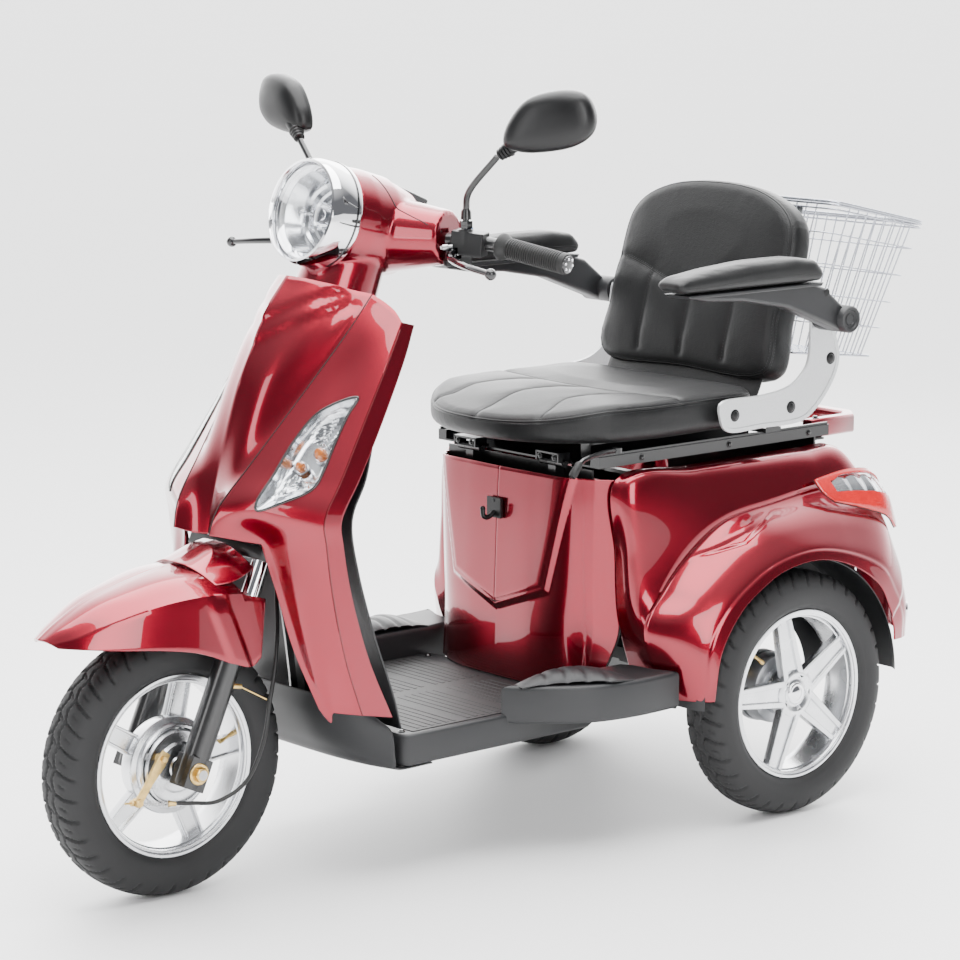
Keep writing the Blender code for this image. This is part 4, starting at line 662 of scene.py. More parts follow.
def fairing():
    grid = fine_grid(FAIRING_ROWS, 10, 9, (), (2, 5))
    normals = grid_normals(grid)
    y, z = grid[..., 1], grid[..., 2]
    # raised nose panel with two stepped ledges that run down to a point on the centre line
    on_panel = step(0.108 - (0.935 - z) * 0.165 - y, 0.0, 0.006)
    for drop, depth in ((0.872, 0.0030), (0.838, 0.0026)):
        ledge = z - (drop + y * 0.62)
        offset = depth * (1 - step(ledge, -0.0035, 0.0035)) * step(ledge, -0.085, -0.004) * on_panel
        grid = grid - normals * offset[..., None]
    # shallow scoop beside the crease, above the indicator
    scoop = np.exp(-((z - 0.80) / 0.045) ** 2) * np.exp(-((y - 0.128) / 0.018) ** 2)
    grid = grid - normals * (0.0035 * scoop)[..., None]
    shield = thicken(sheet_object("leg_shield_skin", grid, skip=OPEN_ARCH, cell=(10, 9)),
                     mirror=True)
    tree = surface_tree(shield)
    cutters = []
    for side, label in SIDES:
        indicator(label, side, tree)
        ring = indicator_ring(side, 1.0)
        cutters.append(prism("cutter", ring, mirrored(INDICATOR_N, side), 0.04))
    cutter = join("cutters", cutters)
    hole = shield.modifiers.new("window", "BOOLEAN")
    hole.operation = "DIFFERENCE"
    hole.solver = "EXACT"
    hole.object = cutter
    shield = bake(shield)
    bpy.data.objects.remove(cutter, do_unlink=True)
    put(shield, RED, "chassis", "leg_shield", angle=42.0)
    rows = grid.shape[0]
    for side, label in SIDES:
        flip = np.array([1.0, side, 1.0])
        crease = [(grid[r, 18] + normals[r, 18] * 0.0002) * flip for r in range(0, 51)]
        seam(f"{label}_nose_seam", crease, "chassis", 0.0008)
        # painted shade: a darker red line along the shield's outer edge
        edge = [(grid[r, 45] * 0.5 + grid[r, 46] * 0.5 + normals[r, 46] * 0.0006) * flip
                for r in range(2, rows)]
        seam(f"{label}_edge_painted_shade", edge, "chassis", 0.0010, PAINTED_SHADE_RED)


def indicator_ring(side, scale, per_span=8):
    """Indicator outline in space, on its plane."""
    ring = [(u * scale, v * scale, 0.0) for u, v in INDICATOR_OUTLINE]
    count = len(ring)
    path = curve_points(ring[-2:] + ring + ring[:2], per_span)
    path = path[2 * per_span:(2 + count) * per_span]
    return [mirrored(INDICATOR_CENTRE + INDICATOR_DOWN * u + INDICATOR_ACROSS * v, side)
            for u, v, _ in path]


def prism(name, ring, normal, reach):
    """Closed ring carried both ways along a normal."""
    count = len(ring)
    verts = [p + normal * reach for p in ring] + [p - normal * reach for p in ring]
    faces = [tuple(range(count)), tuple(reversed(range(count, 2 * count)))]
    faces += [(i, i + count, (i + 1) % count + count, (i + 1) % count) for i in range(count)]
    obj = mesh_object(name, verts, faces)
    bm = bmesh.new()
    bm.from_mesh(obj.data)
    bmesh.ops.recalc_face_normals(bm, faces=bm.faces)
    bm.to_mesh(obj.data)
    bm.free()
    return obj


def indicator(label, side, tree):
    """Clear lamp with its ribbed and dotted reflector, amber bulbs and black rim."""
    normal = mirrored(INDICATOR_N, side)
    down = mirrored(INDICATOR_DOWN, side)
    across = mirrored(INDICATOR_ACROSS, side)
    centre = mirrored(INDICATOR_CENTRE, side)

    def on_skin(point):
        place, _, _, _ = tree.ray_cast(point + normal * 0.08, -normal)
        return place if place is not None else point

    outer = [on_skin(p) for p in indicator_ring(side, 0.985)]
    count = len(outer)
    middle = on_skin(centre)
    rings = 14

    def patch(name, shape, steps=rings):
        verts, faces = [], []
        for k in range(1, steps + 1):
            t = k / steps
            for p in outer:
                base = on_skin(middle.lerp(p, t)) if 0 < k < steps else p
                verts.append(base + normal * shape(base, t))
        for k in range(steps - 1):
            for i in range(count):
                a, b = k * count + i, k * count + (i + 1) % count
                faces.append((a, a + count, b + count, b))
        faces.append(tuple(range(count)))
        obj = mesh_object(name, verts, faces)
        bm = bmesh.new()
        bm.from_mesh(obj.data)
        bmesh.ops.recalc_face_normals(bm, faces=bm.faces)
        bmesh.ops.triangulate(bm, faces=[f for f in bm.faces if len(f.verts) > 4])
        bm.to_mesh(obj.data)
        bm.free()
        return obj

    lens = patch(f"{label}_indicator_lens", lambda p, t: 0.0022 * (1 - t ** 6))
    wall = lens.modifiers.new("wall", "SOLIDIFY")
    wall.thickness = 0.0016
    wall.offset = 0.0
    put(bake(lens), CLEAR, "chassis", f"{label}_indicator")

    def bowl(p, t):
        u = (p - centre).dot(down)
        v = (p - centre).dot(across)
        depth = -0.024 * (1 - t ** 5) - 0.002
        if u < -0.025:
            relief = 0.0012 * math.sin((u + v * 0.9) * 900.0)
        elif u > 0.035:
            relief = 0.0011 * math.sin(u * 1100.0) * math.sin(v * 1100.0)
        else:
            relief = -0.0015 * math.cos(v * 130.0)
        return depth + relief * (1 - t ** 8)

    put(patch(f"{label}_indicator_reflector", bowl, 30), REFLECTOR, "chassis")
    rim = tube(f"{label}_indicator_rim", [p + normal * 0.0004 for p in outer], 0.0021, cyclic=True)
    put(rim, GLOSS_BLACK, "chassis")
    for number, (u, v, size) in enumerate(((-0.010, 0.006, 0.0105), (0.022, -0.010, 0.0085))):
        place = on_skin(centre + down * u + across * v) - normal * 0.017
        bulb = turned("glass", [(0, size * 1.5), (size * 0.6, size * 1.3), (size, size * 0.6),
                                (size * 0.9, -size * 0.1), (size * 0.55, -size * 0.5),
                                (0, -size * 0.5)],
                      place, normal, 24)
        put(bulb, AMBER, "chassis").name = f"{label}_indicator_bulb_{number}"
        collar = turned("collar", [(size * 1.3, 0.001), (size * 1.3, -0.004), (size * 0.7, -0.004),
                                   (size * 0.7, 0.001)], place, normal, 24, closed=True)
        put(collar, CHROME, "chassis").name = f"{label}_bulb_collar_{number}"


def knee_and_belly():
    grid = fine_grid([list(reversed(row)) for row in KNEE_ROWS], 8, 8)
    normals = grid_normals(grid)
    pocket = step(inside(grid[..., 1:], [(0.0, 0.76), (0.105, 0.75), (0.115, 0.66), (0.085, 0.61),
                                         (0.0, 0.60), (-0.05, 0.60), (-0.05, 0.76)]), 0.0, 0.012)
    grid = grid - normals * (0.006 * pocket)[..., None]
    put(thicken(sheet_object("knee_panel_skin", grid), mirror=True), CHARCOAL, "chassis",
        "knee_panel")
    grid = fine_grid(BELLY_ROWS, 8, 8)
    put(thicken(sheet_object("belly_cover_skin", grid), mirror=True), CHARCOAL, "chassis",
        "belly_cover")


FENDER_ROWS = [
    # centre crown, shoulder, side and lower edge, from the front tip back to the fork legs
    [(1.272, 0.000, 0.428), (1.268, 0.012, 0.426), (1.262, 0.022, 0.422), (1.256, 0.030, 0.417)],
    [(1.238, 0.000, 0.450), (1.234, 0.026, 0.444), (1.228, 0.044, 0.432), (1.222, 0.054, 0.414)],
    [(1.186, 0.000, 0.476), (1.182, 0.036, 0.470), (1.176, 0.064, 0.450), (1.172, 0.074, 0.409)],
    [(1.128, 0.000, 0.493), (1.124, 0.042, 0.487), (1.118, 0.080, 0.466), (1.116, 0.091, 0.404)],
    [(1.070, 0.000, 0.505), (1.068, 0.050, 0.498), (1.060, 0.092, 0.474), (1.056, 0.103, 0.393)],
    [(1.018, 0.000, 0.509), (1.016, 0.054, 0.500), (1.010, 0.098, 0.474), (1.004, 0.108, 0.372)],
    [(0.978, 0.000, 0.508), (0.978, 0.054, 0.497), (0.970, 0.099, 0.470), (0.966, 0.109, 0.360)],
    [(0.978, 0.000, 0.508), (0.978, 0.054, 0.497), (0.930, 0.100, 0.459), (0.946, 0.109, 0.372)],
]


def front_fender():
    grid = fine_grid(FENDER_ROWS, 10, 10, (), (2,))
    normals = grid_normals(grid)
    x, y, z = grid[..., 0], grid[..., 1], grid[..., 2]
    skirt = step(0.468 - z + (1.05 - x) * 0.02, 0.0, 0.008) * step(y, 0.085, 0.095)
    band = 1 - step(np.abs(x - 1.006 - (z - 0.43) * 0.35), 0.012, 0.018)
    grid = grid - normals * (0.0035 * band * skirt)[..., None]
    ridge = np.exp(-(y / 0.010) ** 2) * step(x, 1.02, 1.10)
    grid = grid + normals * (0.0020 * ridge)[..., None]
    fender = sheet_object("front_fender_skin", grid, skip={(6, 0), (6, 1)}, cell=(10, 10))
    put(thicken(fender, mirror=True, rim=0.001), RED, "steering", "front_fender")


fairing()
knee_and_belly()
front_fender()


# ------------------------------------------------------------------ headlight and cowl
def melted(name, objs, voxel, smoothing):
    """Several closed forms flowed into one skin."""
    form = join(name, objs)
    remesh = form.modifiers.new("remesh", "REMESH")
    remesh.mode = "VOXEL"
    remesh.voxel_size = voxel
    soften = form.modifiers.new("soften", "SMOOTH")
    soften.factor = 0.5
    soften.iterations = smoothing
    return bake(form)


def cowl():
    barrel = turned("barrel", [(0.0, 0.006), (0.081, 0.006), (0.083, -0.030), (0.081, -0.078),
                               (0.071, -0.124), (0.048, -0.162), (0.0, -0.176)],
                    HEADLIGHT, HEADLIGHT_N, 64)
    forms = [barrel]
    for side in (1, -1):
        forms.append(rod("arm", (0.640, 0.0, 0.988), (0.592, side * 0.134, 0.988), 0.066, 48,
                         end_radius=0.042))
    forms.append(rod("neck", steer_point(0.752), steer_point(0.90), 0.067, 48, end_radius=0.058))
    skin = melted("handlebar_cowl_skin", forms, 0.0032, 9)
    cutters = [turned("mouth", [(0, 0.05), (0.0742, 0.05), (0.0742, -0.024), (0, -0.024)],
                      HEADLIGHT, HEADLIGHT_N, 64)]
    cutters.append(box("display_window", (-0.042, -0.036, -0.014), (0.042, 0.036, 0.03),
                       Matrix.Translation((0.590, 0.0, 1.0505))
                       @ Matrix.Rotation(math.radians(-22.0), 4, "Y")))
    for cutter in cutters:
        cut = skin.modifiers.new("cut", "BOOLEAN")
        cut.operation = "DIFFERENCE"
        cut.solver = "EXACT"
        cut.object = cutter
    skin = bake(skin)
    for cutter in cutters:
        bpy.data.objects.remove(cutter, do_unlink=True)
    put(skin, RED, "steering", "handlebar_cowl", angle=50.0)
    # parting line between the front and rear cowl halves
    tree = surface_tree(skin)
    for side, label in SIDES:
        line = drop_on(tree, [mirrored(p, side) for p in curve_points(
            [(0.665, 0.030, 1.075), (0.655, 0.062, 1.045), (0.640, 0.095, 1.020),
             (0.618, 0.136, 0.998)], 8)], 0.0001)
        seam(f"{label}_cowl_seam", line, "steering", 0.0008)

    shell = turned("headlight_bezel_ring", [
        (0.0745, 0.056), (0.0765, 0.0605), (0.0800, 0.0590), (0.0828, 0.052), (0.0843, 0.042),
        (0.0846, 0.0085), (0.0838, 0.0050), (0.0735, 0.0050), (0.0732, 0.052)],
        HEADLIGHT, HEADLIGHT_N, 96, closed=True)
    put(shell, CHROME, "steering", "headlight_bezel")
    groove = turned("headlight_bezel_groove", [(0.0852, 0.0150), (0.0852, 0.0120), (0.0835, 0.0120),
                                               (0.0835, 0.0150)], HEADLIGHT, HEADLIGHT_N, 96,
                    closed=True)
    put(groove, GLOSS_BLACK, "steering")
    lens = turned("headlight_glass", [(0.0, 0.0635), (0.022, 0.0628), (0.045, 0.0598),
                                      (0.062, 0.0555),
                                      (0.0722, 0.0505), (0.0722, 0.0485), (0.062, 0.0532),
                                      (0.045, 0.0574), (0.022, 0.0604), (0.0, 0.0610)],
                  HEADLIGHT, HEADLIGHT_N, 96)
    put(lens, GLASS, "steering", "headlight_lens")
    # facetted reflector bowl
    steps, levels = 72, 14
    verts = []
    for k in range(levels + 1):
        t = k / levels
        for i in range(steps):
            facet = 0.0016 * math.cos(i * math.tau / 12) * t * (1 - t)
            r = 0.016 + 0.055 * t + facet * 2
            h = -0.020 + 0.066 * t ** 1.9 + 0.0012 * math.cos(k * math.pi) * (0.2 < t < 0.95)
            a = math.tau * i / steps
            verts.append((r * math.cos(a), r * math.sin(a), h))
    faces = [(k * steps + i, k * steps + (i + 1) % steps, (k + 1) * steps + (i + 1) % steps,
              (k + 1) * steps + i) for k in range(levels) for i in range(steps)]
    faces.append(tuple(reversed(range(steps))))
    bowl = mesh_object("headlight_reflector", verts, faces)
    bowl.data.transform(facing(HEADLIGHT_N, HEADLIGHT))
    put(bowl, REFLECTOR, "steering", angle=20.0)
    ring = turned("headlight_inner_ring", [(0.0725, 0.048), (0.0725, 0.040), (0.0655, 0.036),
                                           (0.0640, 0.0385), (0.0690, 0.045)],
                  HEADLIGHT, HEADLIGHT_N, 96, closed=True)
    put(ring, CHROME, "steering")
    hood = turned("headlight_bulb_hood", [(0.0, 0.026), (0.012, 0.024), (0.0175, 0.016),
                                          (0.0180, 0.002),
                                          (0.0180, -0.018), (0.0160, -0.018), (0.0160, 0.0),
                                          (0.0, 0.0)], HEADLIGHT, HEADLIGHT_N, 48)
    put(hood, CHROME, "steering")
    for index in range(3):
        a = math.tau * index / 3 + 0.5
        turn = facing(HEADLIGHT_N, HEADLIGHT)
        arm = rod(f"headlight_hood_arm_{index}",
                  turn @ Vector((0.016 * math.cos(a), 0.016 * math.sin(a), 0.006)),
                  turn @ Vector((0.058 * math.cos(a), 0.058 * math.sin(a), 0.016)), 0.0022, 12)
        put(arm, CHROME, "steering")
    tilt = Matrix.Rotation(math.radians(-22.0), 4, "Y")
    place = Matrix.Translation((0.590, 0.0, 1.0505)) @ tilt
    cover = box("display_cover", (-0.0405, -0.0345, -0.008), (0.0405, 0.0345, 0.0035), place)
    put(cover, DISPLAY, "steering", "instrument_display", bevel=0.003)
    face = box("display_frame", (-0.041, -0.035, -0.009), (0.041, 0.035, 0.0020), place)
    put(face, GLOSS_BLACK, "steering", bevel=0.002)
    for index in range(5):
        y = -0.022 + index * 0.011
        bar = box(f"display_mark_{index}", (-0.006, y - 0.0035, 0.0034),
                  (0.004 + index * 0.002, y + 0.0035, 0.0040), place)
        put(bar, SILVER, "steering")


# ------------------------------------------------------------------ bar, grips and controls
def bar_path(side=1):
    reach = GRIP_END - GRIP_START
    half = [(0.668, 0.0, 0.962), (0.655, 0.045, 0.970), (0.618, 0.100, 0.984),
            (0.580, 0.155, 0.984), GRIP_START - reach * 0.05]
    path = curve_points(half, 6) + [np.array(GRIP_START + reach * 0.93)]
    return [mirrored(p, side) for p in path]


def grips():
    left = bar_path(1)
    bar = tube("handlebar_tube", [mirrored(p, -1) for p in reversed(left[1:])] + left, 0.011,
               resolution=6)
    clamp = turned("clamp", [(0, 0.035), (0.018, 0.035), (0.020, 0.033), (0.020, 0.0004),
                             (0, 0.0004)],
                   steer_point(0.812), STEER_N, 32)
    put(join("handlebar_tube", [bar, clamp]), BLACK_STEEL, "steering", "handlebar")
    for side, _ in SIDES:
        start, end = mirrored(GRIP_START, side), mirrored(GRIP_END, side)
        along = (end - start).normalized()
        length = (end - start).length
        profile = [(0.0128, length - 0.0056), (0.0, length - 0.0056), (0.0, length - 0.001),
                   (0.012, length), (0.0158, length - 0.002), (0.0168, length - 0.006)]
        ribs = 24
        for k in range(ribs):
            h = length - 0.009 - (length - 0.024) * k / ribs
            pitch = (length - 0.024) / ribs
            profile += [(0.0166, h), (0.0166, h - pitch * 0.55), (0.0154, h - pitch * 0.62),
                        (0.0154, h - pitch * 0.93)]
        profile += [(0.0170, 0.013), (0.0205, 0.0065), (0.0213, 0.0045), (0.0213, 0.001),
                    (0.0205, 0.0), (0.0128, 0.0)]
        node = "left_grip" if side > 0 else "throttle_grip"
        body = "steering" if side > 0 else "throttle"
        sleeve = turned(f"{node}_rubber", profile, start, along, 40)
        put(sleeve, GRIP_RUBBER, body, node, angle=30.0)
        cap = turned(f"{node}_end_plug", [(0, length + 0.0022), (0.010, length + 0.0022),
                                          (0.0135, length + 0.0010), (0.0138, length - 0.001),
                                          (0, length - 0.001)], start, along, 32)
        put(cap, GLOSS_BLACK, body)
        frame_at = facing(along, start)
        for index in range(6):
            a = math.tau * index / 6
            spot = frame_at @ Vector((0.0092 * math.cos(a), 0.0092 * math.sin(a), length + 0.0019))
            stud = turned(f"{node}_stud_{index}", [(0, 0.0016), (0.0016, 0.0010), (0.0021, 0.0),
                                                   (0, -0.0002)],
                          spot, along, 12)
            put(stud, CHROME, body)


def switchgear():
    for side, label in SIDES:
        centre = Vector((0.580, side * 0.168, 0.981))
        turn = Matrix.Rotation(side * math.radians(34.0), 4, "Z") @ Matrix.Rotation(
            side * math.radians(-6.0), 4, "X")
        place = Matrix.Translation(centre) @ turn
        pivot = mirrored(LEVER_PIVOT, side) + Vector((0.004, 0, 0))
        stem = mirrored(STEM_BASE, side)
        body = box("body", (-0.0205, -0.0255, -0.0185), (0.0205, 0.0255, 0.0185), place)
        boss = rod("boss", pivot + Vector((0, 0, -0.020)), pivot + Vector((0, 0, -0.0092)),
                   0.0115, 32)
        bridge = box("bridge", mirrored((0.572, 0.152 - side * 0.013, 0.948), side),
                     mirrored((0.599, 0.152 + side * 0.013, 0.970), side))
        socket = rod("socket", stem + Vector((0, 0, -0.012)), stem + Vector((0, 0, 0.0118)),
                     0.0105, 32)
        housing = melted(f"{label}_switch_housing_shell", [body, boss, bridge, socket], 0.0016, 3)
        slot_cut = rod("slot", pivot + Vector((0, 0, -0.0088)), pivot + Vector((0, 0, 0.0098)),
                       0.0168, 40)
        cut = housing.modifiers.new("slot", "BOOLEAN")
        cut.operation = "DIFFERENCE"
        cut.object = slot_cut
        housing = bake(housing)
        bpy.data.objects.remove(slot_cut, do_unlink=True)
        put(housing, BLACK_PLASTIC, "steering", f"{label}_switch_housing", angle=45.0)
        split = [place @ Vector((u, v, 0)) for u, v in ((-0.0207, -0.024), (-0.0207, 0.024))]
        seam(f"{label}_switch_split", split, "steering", 0.0007)
        for number, v in enumerate((-0.008, 0.011)):
            button = turned(f"{label}_switch_{number}",
                            [(0, 0.0045), (0.0045, 0.0042), (0.0058, 0.0028), (0.0060, -0.001),
                             (0, -0.001)],
                            place @ Vector((-0.0205, v, 0.004)),
                            place.to_3x3() @ Vector((-1, 0, 0)), 24)
            put(button, GLOSS_BLACK, "steering")
        screw = bolt(f"{label}_clamp_screw", place @ Vector((0.0, -0.017, -0.0185)),
                     Vector((0, 0, -1)), 0.0032, 0.003)
        put(screw, STEEL, "steering")
        pin = bolt(f"{label}_lever_pin", pivot + Vector((0, 0, 0.0092)), Vector((0, 0, 1)),
                   0.0042, 0.0034)
        put(pin, STEEL, f"{label}_brake_lever")

        boss = turned("boss", [(0, 0.009), (0.0082, 0.009), (0.0095, 0.0078), (0.0095, -0.0068),
                               (0.0082, -0.008), (0, -0.008)], pivot, (0, 0, 1), 32)
        route = [pivot, pivot + Vector((0.036, side * 0.045, -0.004)),
                 pivot + Vector((0.062, side * 0.110, -0.008)),
                 pivot + Vector((0.068, side * 0.172, -0.014))]
        path = curve_points(route, 10)
        blade = tube("blade", path, 0.0052, radii=[1.25 - 0.35 * i / (len(path) - 1)
                                                   for i in range(len(path))])
        ball = turned("ball", [(0.009 * math.sin(a), 0.009 * math.cos(a)) for a in
                               np.linspace(0, math.pi, 13)], route[-1], (0, 0, 1), 24)
        put(join(f"{label}_brake_lever_blade", [boss, blade, ball]), GLOSS_BLACK,
            f"{label}_brake_lever", f"{label}_brake_lever", angle=50.0)
        adjuster = join(f"{label}_cable_adjuster", [
            turned("barrel", [(0, 0.016), (0.0026, 0.016), (0.0034, 0.013), (0.0046, 0.012),
                              (0.0046, 0.004),
                              (0.0030, 0.003), (0.0030, -0.003), (0, -0.003)],
                   place @ Vector((0.0260, -side * 0.0225, -0.006)), (0.75, -side * 0.65, -0.1),
                   16)])
        put(adjuster, STEEL, "steering")
    horn = turned("horn_button_cap", [(0, 0.006), (0.0038, 0.0058), (0.0048, 0.0048),
                                      (0.0050, 0.0035),
                                      (0.0050, -0.0012), (0, -0.0012)],
                  Vector((0.572, 0.160, 0.9995)), (0, 0, 1), 32)
    put(horn, BLUE, "horn_button", "horn_button")


MIRROR_OUTLINE = [(-0.066, -0.034), (-0.030, -0.043), (0.030, -0.040), (0.064, -0.022),
                  (0.072, 0.008), (0.058, 0.038), (0.020, 0.047), (-0.030, 0.038),
                  (-0.062, 0.008), (-0.074, -0.020)]
MIRROR_TURN = {1: math.radians(34.0), -1: math.radians(8.0)}
MIRROR_HEADS = {1: Vector((0.556, 0.324, 1.172)), -1: Vector((0.566, -0.318, 1.172))}


def mirrors():
    for side, label in SIDES:
        base = mirrored(STEM_BASE, side) + Vector((0, 0, 0.0125))
        neck = mirrored((0.590, 0.244, 1.118), side)
        route = [base, base + Vector((0, 0, 0.03)), mirrored((0.597, 0.190, 1.066), side), neck]
        path = curve_points(route, 10)
        stem = tube("stem", path, 0.0052, resolution=5)
        nut = turned("nut", [(0, 0.012), (0.0095, 0.012), (0.0105, 0.0105), (0.0105, 0.0015),
                             (0.0095, 0.0), (0, 0.0)], base, (0, 0, 1), 6)
        lock = turned("lock", [(0.0, 0.030), (0.0062, 0.030), (0.0078, 0.026), (0.0082, 0.014),
                               (0.0, 0.014)],
                      base, (0, 0, 1), 24)
        put(join(f"{label}_mirror_arm", [stem, nut, lock]), BLACK_STEEL, f"{label}_mirror_stem",
            f"{label}_mirror_stem", angle=35.0)

        centre = MIRROR_HEADS[side]
        tilt = Matrix.Rotation(side * MIRROR_TURN[side], 4, "Z") @ Matrix.Rotation(
            side * math.radians(6.0), 4, "X")
        stand = Matrix.Rotation(math.pi / 2, 4, "Y") @ Matrix.Rotation(math.pi / 2, 4, "Z")
        place = Matrix.Translation(centre) @ tilt @ stand
        ring = [(side * u, v, 0.0) for u, v in MIRROR_OUTLINE]
        count = len(ring)
        path = curve_points(ring[-2:] + ring + ring[:2], 10)[20:(2 + count) * 10]
        # the rider sees the glass, on the side towards -X
        front, rings = 1 if (place.to_3x3() @ Vector((0, 0, 1))).x > 0 else -1, []
        for t, h in ((0.90, -0.0125), (0.955, -0.0150), (0.992, -0.0125), (1.0, -0.004),
                     (0.985, 0.004),
                     (0.93, 0.0105), (0.82, 0.0155), (0.62, 0.0195), (0.38, 0.0215),
                     (0.15, 0.0222)):
            rings.append([(p[0] * t, p[1] * t, h * front) for p in path])
        verts = [p for r in rings for p in r]
        n = len(path)
        faces = [(k * n + i, k * n + (i + 1) % n, (k + 1) * n + (i + 1) % n, (k + 1) * n + i)
                 for k in range(len(rings) - 1) for i in range(n)]
        faces += [tuple(range(n)), tuple(reversed(range((len(rings) - 1) * n, len(rings) * n)))]
        head = mesh_object("head", verts, faces)
        bm = bmesh.new()
        bm.from_mesh(head.data)
        bmesh.ops.recalc_face_normals(bm, faces=bm.faces)
        bm.to_mesh(head.data)
        bm.free()
        head.data.transform(place)
        reach = (centre - neck).normalized()
        ribs = [(0.0, 0.0035)]
        for k in range(4):
            h = 0.005 + k * 0.0058
            r = 0.0092 + k * 0.0010
            ribs += [(r * 0.82, h), (r, h + 0.0012), (r, h + 0.0036), (r * 0.82, h + 0.0048)]
        tip = (centre - neck).length - 0.030
        ribs += [(0.0125, tip - 0.014), (0.0165, tip), (0.0, tip + 0.002)]
        sock = turned("sock", list(reversed(ribs)), neck, reach, 32)
        put(join(f"{label}_mirror_shell", [head, sock]), BLACK_PLASTIC, f"{label}_mirror_head",
            f"{label}_mirror_head", angle=42.0)
        glass = [(p[0] * 0.905, p[1] * 0.905, -0.0133 * front) for p in path]
        back = [(p[0] * 0.905, p[1] * 0.905, -0.0120 * front) for p in path]
        pane = mesh_object(f"{label}_mirror_pane", glass + back,
                           [tuple(range(n)), tuple(reversed(range(n, 2 * n)))]
                           + [(i, i + n, (i + 1) % n + n, (i + 1) % n) for i in range(n)])
        bm = bmesh.new()
        bm.from_mesh(pane.data)
        bmesh.ops.recalc_face_normals(bm, faces=bm.faces)
        bm.to_mesh(pane.data)
        bm.free()
        pane.data.transform(place)
        put(pane, MIRROR_GLASS, f"{label}_mirror_head")


cowl()
grips()
switchgear()
mirrors()


# ------------------------------------------------------------------ rear body shells
SEAT_BOX_ROWS = [
    [(0.366, 0.0, 0.588), (0.364, 0.080, 0.588), (0.357, 0.150, 0.587), (0.332, 0.188, 0.585),
     (0.303, 0.2035, 0.583)],
    [(0.370, 0.0, 0.520), (0.368, 0.080, 0.520), (0.360, 0.150, 0.520), (0.334, 0.188, 0.520),
     (0.303, 0.2035, 0.520)],
    [(0.374, 0.0, 0.420), (0.372, 0.080, 0.420), (0.362, 0.145, 0.420), (0.334, 0.187, 0.420),
     (0.298, 0.2035, 0.420)],
    [(0.378, 0.0, 0.330), (0.376, 0.080, 0.330), (0.364, 0.140, 0.330), (0.332, 0.186, 0.330),
     (0.292, 0.2035, 0.330)],
    [(0.380, 0.0, 0.2365), (0.378, 0.080, 0.2365), (0.365, 0.136, 0.2365), (0.345, 0.176, 0.2365),
     (0.330, 0.190, 0.2365)],
]

REAR_FENDER_ROWS = [
    [(0.252, 0.206, 0.226), (0.250, 0.236, 0.226), (0.246, 0.268, 0.226), (0.240, 0.300, 0.227),
     (0.228, 0.330, 0.228), (0.213, 0.348, 0.229)],
    [(0.290, 0.206, 0.345), (0.292, 0.236, 0.345), (0.290, 0.262, 0.342), (0.262, 0.296, 0.335),
     (0.226, 0.332, 0.318), (0.200, 0.348, 0.306)],
    [(0.300, 0.206, 0.460), (0.295, 0.238, 0.455), (0.252, 0.263, 0.410), (0.222, 0.298, 0.395),
     (0.190, 0.334, 0.376), (0.161, 0.348, 0.364)],
    [(0.304, 0.206, 0.583), (0.270, 0.237, 0.573), (0.184, 0.263, 0.470), (0.158, 0.299, 0.448),
     (0.130, 0.335, 0.420), (0.110, 0.348, 0.400)],
    [(0.150, 0.206, 0.588), (0.140, 0.238, 0.580), (0.108, 0.263, 0.510), (0.086, 0.300, 0.484),
     (0.066, 0.336, 0.446), (0.055, 0.348, 0.423)],
    [(0.000, 0.206, 0.589), (0.000, 0.240, 0.581), (0.000, 0.264, 0.526), (-0.010, 0.300, 0.498),
     (-0.018, 0.336, 0.456), (-0.022, 0.348, 0.430)],
    [(-0.110, 0.206, 0.589), (-0.110, 0.240, 0.582), (-0.118, 0.265, 0.540), (-0.116, 0.302, 0.498),
     (-0.106, 0.337, 0.444), (-0.098, 0.348, 0.412)],
    [(-0.196, 0.206, 0.583), (-0.196, 0.238, 0.576), (-0.208, 0.266, 0.536), (-0.210, 0.304, 0.478),
     (-0.190, 0.337, 0.414), (-0.166, 0.348, 0.372)],
    [(-0.240, 0.206, 0.500), (-0.244, 0.238, 0.492), (-0.250, 0.268, 0.462), (-0.250, 0.306, 0.418),
     (-0.228, 0.337, 0.366), (-0.196, 0.348, 0.326)],
    [(-0.268, 0.206, 0.372), (-0.274, 0.238, 0.366), (-0.280, 0.270, 0.356), (-0.280, 0.306, 0.340),
     (-0.254, 0.336, 0.318), (-0.211, 0.348, 0.292)],
    [(-0.276, 0.206, 0.280), (-0.284, 0.238, 0.276), (-0.288, 0.270, 0.272), (-0.284, 0.304, 0.268),
     (-0.256, 0.334, 0.266), (-0.214, 0.348, 0.268)],
]

REAR_PANEL_ROWS = [
    [(-0.196, 0.0, 0.585), (-0.196, 0.100, 0.585), (-0.196, 0.204, 0.582)],
    [(-0.246, 0.0, 0.500), (-0.244, 0.100, 0.500), (-0.240, 0.204, 0.499)],
    [(-0.276, 0.0, 0.372), (-0.273, 0.100, 0.372), (-0.268, 0.204, 0.372)],
    [(-0.284, 0.0, 0.280), (-0.281, 0.100, 0.280), (-0.276, 0.204, 0.280)],
]

SHIELD_OUTLINE = [(0.0, 0.350), (0.118, 0.392), (0.168, 0.600), (-0.168, 0.600), (-0.118, 0.392)]
LINER_RADIUS = 0.2335


